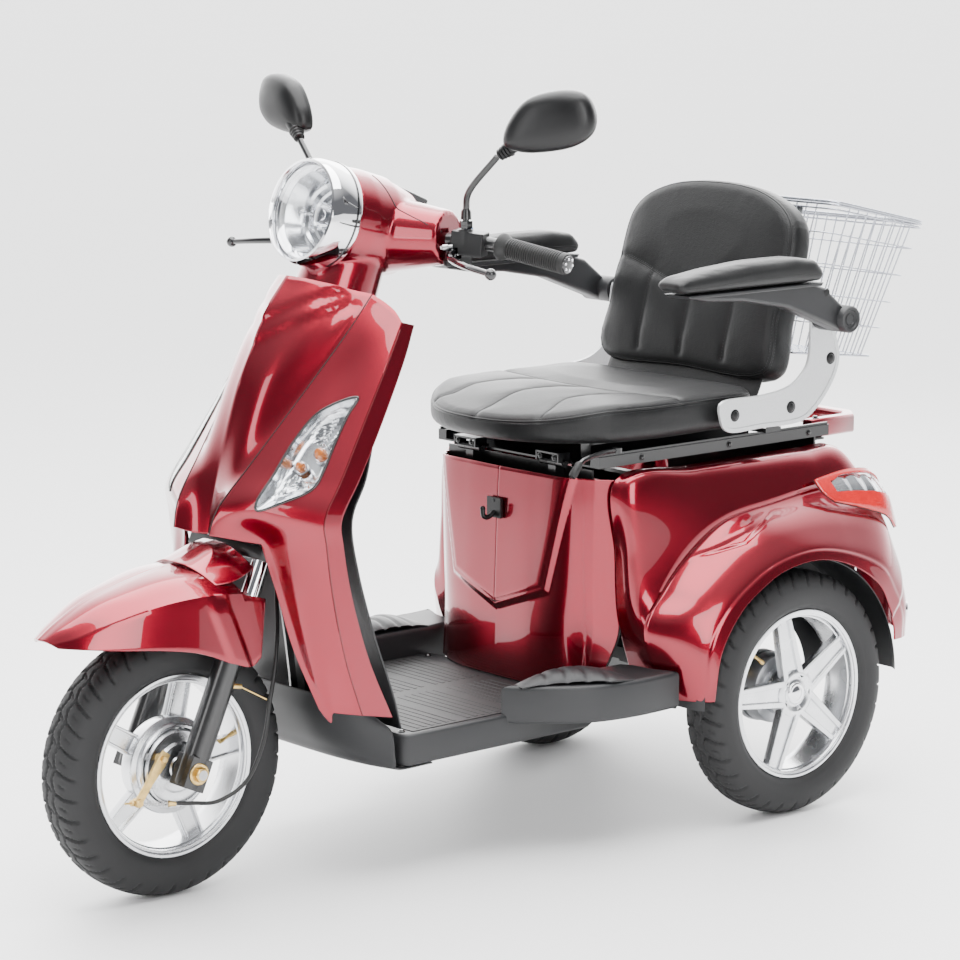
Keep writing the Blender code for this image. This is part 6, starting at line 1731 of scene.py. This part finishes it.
def armrest(label, side):
    body = f"{label}_armrest"
    x, z = ARM_PIVOT
    low, high = 0.2495, 0.3215
    boss = turned("boss", [(0, high - low - 0.0035), (0.0085, high - low - 0.0035),
                           (0.0095, high - low - 0.0020), (0.0105, high - low - 0.0035),
                           (0.0150, high - low - 0.0030), (0.0165, high - low - 0.0005),
                           (0.0205, high - low), (0.0225, high - low - 0.0022),
                           (0.0228, 0.006), (0.0215, 0.0), (0, 0)],
                  (x, side * low, z), (0, side, 0), 56)
    outline = [(x - 0.019, z + 0.003), (x + 0.012, z - 0.0195), (0.020, 0.8490), (0.120, 0.8670),
               (0.200, 0.8725), (0.248, 0.8812), (0.2535, 0.8870), (-0.030, 0.8870),
               (-0.070, 0.8755)]
    blade = outline_plate("blade", outline, 0.0355, upright(side * ARM_Y), bevel=0.0065,
                          breaks="all")
    tray = outline_plate("tray", [(-0.046, 0.8815), (0.252, 0.8815), (0.262, 0.8872),
                                  (-0.050, 0.8872)], 0.0560, upright(side * PAD_Y),
                         bevel=0.0022, breaks="all")
    put(join(f"{label}_arm_shell", [boss, blade, tray]), CHARCOAL, body, f"{label}_armrest_arm",
        angle=45.0)
    pivot = turned(f"{label}_arm_pivot", [(0, 0.0022), (0.0050, 0.0018), (0.0066, 0.0), (0, 0)],
                   (x + 0.048, side * (ARM_Y + 0.0178), 0.868), (0, side, 0), 28)
    put(pivot, BLACK_PLASTIC, body)
    # padded top: rounded bar that follows the arm
    pad = [(-0.048, 0.8895), (0.264, 0.8895), (0.2775, 0.897), (0.279, 0.906), (0.262, 0.9155),
           (0.200, 0.9235), (0.110, 0.9305), (0.010, 0.9315), (-0.034, 0.9250), (-0.0535, 0.906)]
    form = outline_plate(f"{label}_arm_pad", pad, 0.0620, Matrix.Identity(4), bevel=0.0125,
                         breaks="all")
    cut = form.modifiers.new("voxels", "REMESH")
    cut.mode = "VOXEL"
    cut.voxel_size = 0.004
    soften = form.modifiers.new("soften", "SMOOTH")
    soften.iterations = 6
    form = bake(form)
    form = filled(form)
    form.data.transform(upright(side * PAD_Y))
    tree = surface_tree(form)
    put(form, LEATHER, body, f"{label}_armrest_pad", angle=180.0)
    for face in (1, -1):
        y = side * PAD_Y + face * 0.031
        line = curve_points([(-0.050, y, 0.9020), (0.010, y, 0.9045), (0.110, y, 0.9035),
                             (0.200, y, 0.9000), (0.262, y, 0.8975),
                             (0.276, y - face * 0.012, 0.8985)],
                            10)
        laid = drop_on(tree, line, -0.0003)
        seam(f"{label}_arm_seam_{'in' if face * side < 0 else 'out'}", laid, body, 0.0008,
             SEAM_THREAD)
        stitches(f"{label}_arm_stitch_{'in' if face * side < 0 else 'out'}", laid, tree, 0.0028,
                 body)


def filled(form, ease=0.0012):
    """Small pad filled by cloth pressure, its underside held."""
    co = places(form)
    held = (co[:, 1] < co[:, 1].min() + 0.006).astype(float)
    inflate(form, co, held, ease, 3.0, frames=12)
    fine = form.modifiers.new("fine", "SUBSURF")
    fine.levels = fine.render_levels = 1
    return bake(form)



seat_cushions()
valance()
brackets()
for side, label in SIDES:
    armrest(label, side)


# ------------------------------------------------------------------ basket
BASKET_RIM = ((-0.200, 0.210, 1.002), (-0.428, 0.210, 0.954))
BASKET_FLOOR = ((-0.152, 0.160, 0.745), (-0.352, 0.160, 0.722))


def basket():
    """Welded wire basket: doubled rim hoops, level hoops, uprights and a mesh floor."""
    def corners(level, grow=0.0):
        front = Vector(BASKET_FLOOR[0]).lerp(Vector(BASKET_RIM[0]), level)
        rear = Vector(BASKET_FLOOR[1]).lerp(Vector(BASKET_RIM[1]), level)
        return [Vector((front.x + grow, front.y + grow, front.z)),
                Vector((rear.x - grow, rear.y + grow, rear.z)),
                Vector((rear.x - grow, -rear.y - grow, rear.z)),
                Vector((front.x + grow, -front.y - grow, front.z))]

    def hoop(level, radius, grow=0.0, corner=0.022, drop=0.0):
        quad = corners(level, grow)
        path = []
        for i in range(4):
            here, before, after = quad[i], quad[i - 1], quad[(i + 1) % 4]
            start = here + (before - here).normalized() * corner
            stop = here + (after - here).normalized() * corner
            for k in range(6):
                t = k / 5
                path.append(start.lerp(here, t).lerp(here.lerp(stop, t), t) - Vector((0, 0, drop)))
        return tube("hoop", path, radius, cyclic=True, resolution=3)

    wires = [hoop(1.0, 0.0031, -0.0031), hoop(0.985, 0.0024, -0.0012),
             hoop(0.955, 0.0018, -0.0006)]
    wires += [hoop(level, 0.0013, -0.0004) for level in (0.80, 0.60, 0.40, 0.21)]
    wires += [hoop(0.0, 0.0022, -0.0018, 0.016)]
    counts = (9, 16, 9, 16)

    def edge_point(level, wall, t):
        quad = corners(level, -0.0018)
        start, stop = quad[wall], quad[(wall + 1) % 4]
        return start.lerp(stop, t)

    for wall, count in enumerate(counts):
        for k in range(1, count):
            t = 0.05 + 0.90 * k / count
            wires.append(tube("upright", [edge_point(0.0, wall, t), edge_point(0.995, wall, t)],
                              0.0013, resolution=2))
    for k in range(1, 15):
        t = 0.04 + 0.92 * k / 15
        wires.append(tube("floor", [edge_point(0.0, 3, 1 - t), edge_point(0.0, 1, t)], 0.0013,
                          resolution=2))
    for k in range(1, 9):
        t = 0.05 + 0.90 * k / 9
        wires.append(tube("floor", [edge_point(0.0, 0, t), edge_point(0.0, 2, 1 - t)], 0.0013,
                          resolution=2))
    put(join("basket_wires", wires), WIRE, "basket", "basket", angle=60.0)
    # flat hanger straps inside the front wall, with their hooks
    straps = []
    for side, _ in SIDES:
        for level in (0.93, 0.56):
            a = edge_point(level, 3, 0.5 - side * 0.30) + Vector((-0.004, 0, 0))
            b = edge_point(level, 3, 0.5 - side * 0.08) + Vector((-0.004, 0, 0))
            lean = Matrix.Rotation(-BACK_LEAN, 4, "Y")
            middle = (a + b) / 2
            straps.append(box("strap", (-0.0012, -0.050, -0.008), (0.0012, 0.050, 0.008),
                              Matrix.Translation(middle) @ lean))
        straps.append(tube("hook", [edge_point(0.93, 3, 0.5 - side * 0.19) + Vector(d)
                                    for d in ((-0.005, 0, 0.0), (-0.012, 0, -0.010),
                                              (-0.011, 0, -0.024), (-0.005, 0, -0.028))],
                           0.0028, resolution=3))
    put(join("basket_straps", straps), GALVANISED, "basket", bevel=0.0006)


basket()


# ------------------------------------------------------------------ wheels
PITCHES = 36
TREAD_HALF = [(0.1432, 0.0330), (0.1500, 0.0388), (0.1580, 0.0412), (0.1680, 0.0424),
              (0.1780, 0.0417), (0.1870, 0.0393), (0.1945, 0.0350), (0.2000, 0.0290),
              (0.2030, 0.0220), (0.2044, 0.0140), (0.2050, 0.0070), (0.2050, 0.0)]


def tyre(name, centre, body, stands):
    """Tyre with angled shoulder blocks, hooked sipes and two zigzag grooves."""
    whole = TREAD_HALF + [(r, -y) for r, y in reversed(TREAD_HALF[:-1])]
    path = np.array([p[:2] for p in curve_points([(r, y, 0.0) for r, y in whole], 3)])
    tangent = np.gradient(path, axis=0)
    tangent /= np.linalg.norm(tangent, axis=1, keepdims=True)
    normal = np.stack([-tangent[:, 1], tangent[:, 0]], axis=1)
    steps = PITCHES * 14
    turn = np.arange(steps)[:, None] / steps * PITCHES
    y = path[None, :, 1]
    r = path[None, :, 0]
    side = np.sign(y)
    reach = np.abs(y)

    def groove(phase, half, soft=0.035):
        gap = np.abs((turn + phase) % 1.0 - 0.5)
        gap = 0.5 - gap
        return 1 - step(gap, half, half + soft)

    bend = side * 0.25 + (reach - 0.012) * 16.0 + 900.0 * np.maximum(0.0, 0.020 - reach) ** 2
    block = groove(bend, 0.055) * step(reach, 0.011, 0.014) * step(r, 0.183, 0.188)
    sipe = groove(bend + 0.5, 0.030) * step(reach, 0.019, 0.021) * (1 - step(reach, 0.030, 0.032))
    zig = 0.0085 + 0.0030 * (2 * np.abs((turn + side * 0.25) % 1.0 - 0.5) * 2 - 1)
    ring = 1 - step(np.abs(reach - zig), 0.0011, 0.0022)
    middle = groove(0.1 + 20 * y, 0.025) * (1 - step(reach, 0.0045, 0.0060))
    depth = np.maximum.reduce([0.0034 * block, 0.0024 * sipe, 0.0032 * ring, 0.0018 * middle])
    lines = np.exp(-((r - 0.1520) / 0.0009) ** 2) + np.exp(-((r - 0.1790) / 0.0008) ** 2)
    depth = depth - 0.0005 * lines
    radius = r - normal[None, :, 0] * depth
    across = y - normal[None, :, 1] * depth
    angle = turn / PITCHES * math.tau
    verts = np.stack([radius * np.cos(angle), across, radius * np.sin(angle)], axis=-1)
    count = path.shape[0]
    verts = verts.reshape(-1, 3) + np.array(centre)
    faces = []
    for i in range(steps):
        j = (i + 1) % steps
        for k in range(count):
            m = (k + 1) % count
            faces.append((i * count + k, i * count + m, j * count + m, j * count + k))
    obj = mesh_object(name, verts, faces)
    obj.data.flip_normals()
    return put(obj, TYRE, body, stands, angle=42.0)


def ribbed_spoke(near, far, root, tip, floor_y, rib_y, rib):
    """Spoke of a cast wheel: a flat web with a raised rib along each edge."""
    stand = Matrix.Rotation(math.pi / 2, 4, "X")
    web = [(-root, near), (root, near), (tip, far), (-tip, far)]
    parts = [outline_plate("web", web, 0.012, Matrix.Translation((0, floor_y, 0)) @ stand,
                           bevel=0.0012, breaks="all")]
    for s in (1, -1):
        edge = [(s * (root - rib * 1.3), near), (s * root, near), (s * tip, far),
                (s * (tip - rib), far)]
        if s < 0:
            edge.reverse()
        parts.append(outline_plate("rib", edge, 0.0075, Matrix.Translation((0, rib_y, 0)) @ stand,
                                   bevel=0.0016, breaks="all"))
    return join("spoke", parts)


def barrel():
    """Rim barrel with a machined lip, a stepped dish and a rolled back edge."""
    return [(0.1425, 0.0335), (0.1415, 0.0345), (0.1375, 0.0348), (0.1355, 0.0338),
            (0.1350, 0.0320), (0.1322, 0.0315), (0.1312, 0.0300), (0.1304, 0.0235),
            (0.1282, 0.0225), (0.1272, 0.0120), (0.1268, -0.0100), (0.1290, -0.0260),
            (0.1340, -0.0335), (0.1425, -0.0340), (0.1425, -0.0295), (0.1398, -0.0295),
            (0.1398, 0.0295), (0.1425, 0.0295)]


def valve(turn):
    """Brass valve on its rubber foot, pointing at the hub."""
    parts = [rod("foot", (0, 0.012, 0.1262), (0, 0.014, 0.1180), 0.0045, 16, 0.0034),
             rod("stem", (0, 0.014, 0.1185), (0, 0.018, 0.1020), 0.0026, 16),
             rod("cap", (0, 0.018, 0.1030), (0, 0.0195, 0.0950), 0.0036, 16)]
    stem = join("valve", parts)
    stem.data.transform(Matrix.Rotation(turn, 4, "Y"))
    return stem


def rear_wheel(label, side):
    centre = Vector((0, side * TRACK / 2, TYRE_R))
    body = f"{label}_rear_wheel"
    tyre(f"{label}_rear_tread", centre, body, f"{label}_rear_tyre")
    flip = Matrix.Diagonal((1, side, 1, 1))
    parts = [turned("barrel", barrel(), (0, 0, 0), (0, 1, 0), 96, closed=True)]
    for index in range(5):
        spoke = ribbed_spoke(0.020, 0.1300, 0.0235, 0.0165, 0.0185, 0.0245, 0.0085)
        spoke.data.transform(Matrix.Rotation(math.tau * index / 5 + math.radians(14), 4, "Y"))
        parts.append(spoke)
    parts.append(turned("hub", [(0, 0.0262), (0.0215, 0.0262), (0.0235, 0.0250), (0.0300, 0.0282),
                                (0.0345, 0.0285), (0.0400, 0.0262), (0.0425, 0.0150),
                                (0.0425, -0.0250), (0.0400, -0.0300), (0.0110, -0.0300)],
                        (0, 0, 0), (0, 1, 0), 72))
    rim = join(f"{label}_rear_casting", parts)
    rim.data.transform(flip)
    rim.data.transform(Matrix.Translation(centre))
    if side < 0:
        rim.data.flip_normals()
    put(rim, ALLOY, body, f"{label}_rear_rim", angle=32.0)
    out = (0, side, 0)
    cap_at = centre + Vector((0, side * 0.0255, 0))
    put(turned(f"{label}_hub_cap", [(0, 0.0062), (0.0060, 0.0058), (0.0105, 0.0042),
                                    (0.0125, 0.0030), (0.0150, 0.0034), (0.0172, 0.0028),
                                    (0.0190, 0.0010), (0.0195, -0.002), (0, -0.002)],
               cap_at, out, 64), CHROME, body)
    drum = turned(f"{label}_brake_drum", [(0.0120, -0.008), (0.0500, -0.010), (0.0565, -0.0145),
                                          (0.0585, -0.0200), (0.0585, -0.0440), (0.0560, -0.0465),
                                          (0.0120, -0.0465)],
                  centre, out, 72)
    put(drum, DARK_ALLOY, body, angle=35.0)
    stem = valve(math.radians(50))
    stem.data.transform(flip)
    stem.data.transform(Matrix.Translation(centre))
    put(stem, GOLD, body)
    # brake arm, adjuster and nuts on the backing plate, which stays with the axle
    fixed = [bolt("nut", (0.046 * math.cos(a), side * 0.2490, TYRE_R + 0.046 * math.sin(a)),
                  out, 0.0042, 0.0018) for a in (0.6, 2.4, 4.2)]
    fixed += [rod("pin", (0.068, side * 0.2435, TYRE_R + 0.048),
                  (0.098, side * 0.2435, TYRE_R + 0.060), 0.0026, 14),
              rod("nut", (0.082, side * 0.2435, TYRE_R + 0.0536),
                  (0.090, side * 0.2435, TYRE_R + 0.0568), 0.0060, 6),
              rod("barrel", (0.066, side * 0.2375, TYRE_R + 0.047),
                  (0.066, side * 0.2495, TYRE_R + 0.047), 0.0062, 20)]
    put(join(f"{label}_drum_fixings", fixed), GOLD, "rear_axle")
    backing = turned(f"{label}_drum_backing", [(0, 0.0108), (0.0200, 0.0108), (0.0220, 0.0085),
                                               (0.0500, 0.0085), (0.0540, 0.0105), (0.0602, 0.0105),
                                               (0.0606, 0.0), (0.0200, -0.004), (0, -0.004)],
                     (0, side * 0.2383, TYRE_R), out, 64)
    put(backing, GALVANISED, "rear_axle", angle=30.0)


def front_wheel():
    body = "front_wheel"
    tyre("front_tread", FRONT_AXLE, body, "front_tyre")
    parts = [turned("barrel", barrel(), (0, 0, 0), (0, 1, 0), 96, closed=True)]
    for index in range(5):
        spoke = ribbed_spoke(0.050, 0.1300, 0.0180, 0.0150, 0.004, 0.0110, 0.0042)
        spoke.data.transform(Matrix.Rotation(math.tau * index / 5 + math.radians(-14), 4, "Y"))
        parts.append(spoke)
    parts.append(turned("hub",
                        [(0.0605, 0.0345), (0.0640, 0.0350), (0.0665, 0.0335), (0.0675, 0.0260),
                         (0.0745, 0.0235), (0.0760, 0.0215), (0.0760, 0.0060), (0.0720, -0.0060),
                         (0.0560, -0.0260), (0.0350, -0.0320), (0.0300, -0.0340),
                         (0.0110, -0.0340), (0.0110, -0.0310), (0.0500, -0.0200),
                         (0.0600, 0.0000)],
                        (0, 0, 0), (0, 1, 0), 96, closed=True))
    rim = join("front_casting", parts)
    rim.data.transform(Matrix.Translation(FRONT_AXLE))
    put(rim, ALLOY, body, "front_rim", angle=32.0)
    stem = valve(math.radians(-78))
    stem.data.transform(Matrix.Translation(FRONT_AXLE))
    put(stem, GOLD, body)


def front_fork():
    # steerer, yoke and chromed stanchions
    turn = Matrix.Rotation(-RAKE, 4, "Y")
    steel = [rod("steerer", steer_point(0.334), steer_point(0.812), 0.0143, 32),
             box("yoke", (-0.0215, -0.0935, -0.0105), (0.0465, 0.0935, 0.0105),
                 Matrix.Translation(steer_point(0.345)) @ turn)]
    put(join("fork_yoke", steel), BLACK_STEEL, "steering", "fork_crown", bevel=0.0015)
    for side, label in SIDES:
        put(turned(f"{label}_stanchion", [(0.0146, 0.172), (0.0149, 0.168), (0.0149, 0.0),
                                          (0.0120, -0.0022)],
                   leg_point(0.176, side), STEER_N, 48), CHROME, "steering")
        outer = turned("outer", [(0.0156, 0.2795), (0.0195, 0.2795), (0.0213, 0.2775),
                                 (0.0213, 0.2670), (0.0207, 0.2650), (0.0207, -0.0200),
                                 (0.0190, -0.0255), (0, -0.0255)],
                       leg_point(0.0, side), STEER_N, 48)
        lug = box("lug", (-0.0195, -0.0195, -0.0262), (0.0195, 0.0195, 0.0240),
                  Matrix.Translation(leg_point(0.0, side)) @ turn)
        put(join(f"{label}_fork_tube", [outer, lug]), BLACK_STEEL, "fork_lower",
            f"{label}_fork_slider", bevel=0.0012)
    # axle, its nuts and the brake backing plate
    steel = [rod("axle", FRONT_AXLE + Vector((0, -0.106, 0)), FRONT_AXLE + Vector((0, 0.106, 0)),
                 0.0078, 24)]
    put(join("front_axle_bar", steel), STEEL, "fork_lower", "front_axle")
    plate = turned("front_brake_plate", [(0, 0.0110), (0.0170, 0.0110), (0.0190, 0.0085),
                                         (0.0360, 0.0070), (0.0400, 0.0040), (0.0520, 0.0030),
                                         (0.0560, 0.0045), (0.0582, 0.0030), (0.0586, 0.0),
                                         (0, 0.0)],
                   FRONT_AXLE + Vector((0, 0.0366, 0)), (0, 1, 0), 96)
    put(plate, ALLOY, "fork_lower", angle=30.0)
    nuts = []
    for side, _ in SIDES:
        at = FRONT_AXLE + Vector((0, side * 0.0947, 0))
        nuts.append(bolt("nut", at, (0, side, 0), 0.0118, 0.0110))
    put(join("front_axle_nuts", nuts), GOLD, "fork_lower", bevel=0.0006)


def fork_shroud():
    """Red cover that closes the fender's crown against the fork yoke."""
    rows = [[(1.030, 0.0, 0.5125), (1.026, 0.030, 0.5105), (1.018, 0.060, 0.5000),
             (1.010, 0.084, 0.4860)],
            [(1.000, 0.0, 0.5215), (0.998, 0.032, 0.5185), (0.990, 0.062, 0.5060),
             (0.982, 0.086, 0.4880)],
            [(0.972, 0.0, 0.5320), (0.970, 0.032, 0.5285), (0.963, 0.060, 0.5150),
             (0.955, 0.083, 0.4950)],
            [(0.950, 0.0, 0.5360), (0.948, 0.030, 0.5330), (0.942, 0.056, 0.5210),
             (0.935, 0.078, 0.5030)]]
    grid = fine_grid(rows, 8, 8)
    put(thicken(sheet_object("fork_shroud", grid), 0.0025, mirror=True), RED, "steering")


ARM_TOP = Vector((WHEELBASE + 0.040, 0.054, 0.228))
ARM_END = Vector((WHEELBASE + 0.086, 0.054, 0.168))
CABLE_ROUTE = [(1.082, 0.0765, 0.1615), (1.060, 0.088, 0.1600), (1.030, 0.112, 0.163),
               (0.985, 0.122, 0.188), (0.950, 0.118, 0.240), (0.932, 0.112, 0.300),
               (0.912, 0.100, 0.350), (0.895, 0.084, 0.400), (0.882, 0.066, 0.440),
               (0.876, 0.058, 0.458)]
CABLE_RADIUS = 0.0032


def front_brake():
    """Zinc-plated lever, its clamp and threaded rod, return spring and the sheathed cable."""
    run = ARM_END - ARM_TOP
    reach = run.length
    along = run.normalized()
    # outline in the lever's own plane: u along the lever, v across it
    place = Matrix(((along.x, -along.z, 0, ARM_TOP.x), (0, 0, 1, ARM_TOP.y),
                    (along.z, along.x, 0, ARM_TOP.z), (0, 0, 0, 1)))
    outline = [(-0.0115, 0.0070), (-0.0115, -0.0070), (0.0080, -0.0098), (reach * 0.55, -0.0062),
               (reach, -0.0068), (reach + 0.0070, -0.0030), (reach + 0.0070, 0.0030),
               (reach, 0.0068), (reach * 0.55, 0.0062), (0.0080, 0.0098)]
    parts = [outline_plate("lever", outline, 0.0046, Matrix.Translation((0, 0.0035, 0)) @ place,
                           bevel=0.0008, breaks="all"),
             bolt("pivot", ARM_TOP + Vector((0, 0.0050, 0)), (0, 1, 0), 0.0058, 0.0062),
             rod("cam", ARM_TOP + Vector((0, -0.0060, 0)), ARM_TOP + Vector((0, 0.0020, 0)),
                 0.0078, 24),
             rod("clamp", ARM_END + Vector((0, -0.0055, 0)), ARM_END + Vector((0, 0.0095, 0)),
                 0.0060, 24),
             bolt("clamp_nut", ARM_END + Vector((0, 0.0058, 0)), (0, 1, 0), 0.0046, 0.0042),
             rod("thread", ARM_END + Vector((-0.010, 0.0015, -0.0012)),
                 ARM_END + Vector((0.0200, -0.0020, 0.0012)), 0.0017, 14),
             rod("adjuster", ARM_END + Vector((0.0065, 0.0, 0.0004)),
                 ARM_END + Vector((0.0110, -0.0008, 0.0006)), 0.0052, 6)]
    put(join("brake_lever_arm", parts), GOLD, "front_brake_arm", "front_brake_arm", bevel=0.0003)
    # coil spring between the clamp and the cable's end
    start = ARM_END + Vector((-0.0105, 0.0040, -0.0020))
    stop = Vector(CABLE_ROUTE[0]) + Vector((0.0110, -0.0040, 0.0003))
    axis = (stop - start).normalized()
    aside = axis.cross(Vector((0, 0, 1))).normalized()
    above = aside.cross(axis)
    coil = []
    turns, radius = 9, 0.0040
    for i in range(turns * 14 + 1):
        t = i / (turns * 14)
        a = math.tau * turns * t
        coil.append(start.lerp(stop, t) + aside * radius * math.cos(a)
                    + above * radius * math.sin(a))
    # spring and wire between the lever and the cable's end
    for piece in (tube("brake_spring", coil, 0.0006, resolution=2),
                  tube("brake_wire", [start.lerp(stop, i / 8) for i in range(9)], 0.0009)):
        piece.data.materials.append(STEEL)
        piece.data.shade_smooth()
        piece.location.x += X0
        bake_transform(piece)
    ferrule = [rod("ferrule", stop - axis * 0.0005, stop + axis * 0.0100, 0.0042, 24, 0.0037),
               rod("collar", stop - axis * 0.0016, stop + axis * 0.0008, 0.0052, 6)]
    put(join("cable_ferrule", ferrule), GOLD, "fork_lower")
    path = curve_points(CABLE_ROUTE, 10)
    sheath = put(tube("brake_cable_sheath", path, CABLE_RADIUS, resolution=4), CABLE, "fork_lower",
                 "front_brake_cable")
    # wire guide from the fork leg
    leg = leg_point(0.1350, 1)
    guide = [rod("boss", leg + Vector((-0.016, 0.010, 0)), leg + Vector((-0.030, 0.014, -0.002)),
                 0.0040, 20),
             rod("wire", leg + Vector((-0.028, 0.0135, -0.002)), Vector((0.9365, 0.1105, 0.3050)),
                 0.0012, 12)]
    put(join("cable_guide", guide), GOLD, "fork_lower")


for side, label in SIDES:
    rear_wheel(label, side)
front_wheel()
front_fork()
fork_shroud()
front_brake()


# ------------------------------------------------------------------ seat mounting and running gear
def seat_mounting():
    """Hinge brackets with their bolts, the slider channels and the lever's grip."""
    parts = []
    for side, _ in SIDES:
        y = side * 0.103
        for dy in (-0.026, 0.026):
            parts.append(box("hinge", (0.3345, y + dy - 0.0015, 0.6075),
                             (0.3600, y + dy + 0.0015, 0.6230)))
        parts.append(box("hinge_plate", (0.3360, y - 0.026, 0.6200), (0.3600, y + 0.026, 0.6230)))
        parts += [bolt("hinge_bolt", (0.3600, y + dy, 0.6150), (1, 0, 0), 0.0036, 0.0030,
                       hexagon=False) for dy in (-0.017, 0.017)]
        parts.append(rod("hinge_pin", (0.345, y - 0.030, 0.606), (0.345, y + 0.030, 0.606),
                         0.0034, 16))
    put(join("seat_hinges", parts), BLACK_STEEL, "seat_platform",
        bevel=0.0005)
    rails = []
    for side, _ in SIDES:
        y = side * 0.190
        rails.append(box("lip", (-0.1995, y + side * 0.0060 - 0.0015, 0.6215),
                         (0.3340, y + side * 0.0060 + 0.0015, 0.6262)))
        rails += [bolt("rail_bolt", (x, y + side * 0.0100, 0.6130), (0, side, 0), 0.0042, 0.0032)
                  for x in (-0.150, 0.040, 0.240)]
    put(join("platform_lips", rails), BLACK_STEEL, "seat_platform",
        bevel=0.0004)
    put(turned("lever_grip", [(0, 0.030), (0.0055, 0.0285), (0.0070, 0.024), (0.0062, 0.004),
                              (0.0045, 0.0), (0, 0.0)],
               (0.3925, 0.2185, 0.6235), (0.012, 0.001, -0.014), 28), GRIP_RUBBER, "seat_lever")


def dress_nodes():
    """Procedural finishes for the CAD nodes that stay in view."""
    finishes = {
        "main_frame": BLACK_STEEL, "battery_pack": CHARCOAL, "rear_axle_housing": BLACK_STEEL,
        "rear_shock_bridge": BLACK_STEEL, "seat_platform": BLACK_STEEL,
        "seat_slider_frame": BLACK_STEEL, "seat_adjust_lever": BLACK_STEEL,
        "ignition_key": STEEL,
    }
    for name, finish in finishes.items():
        NODES[name].data.materials.clear()
        NODES[name].data.materials.append(finish)


seat_mounting()
dress_nodes()
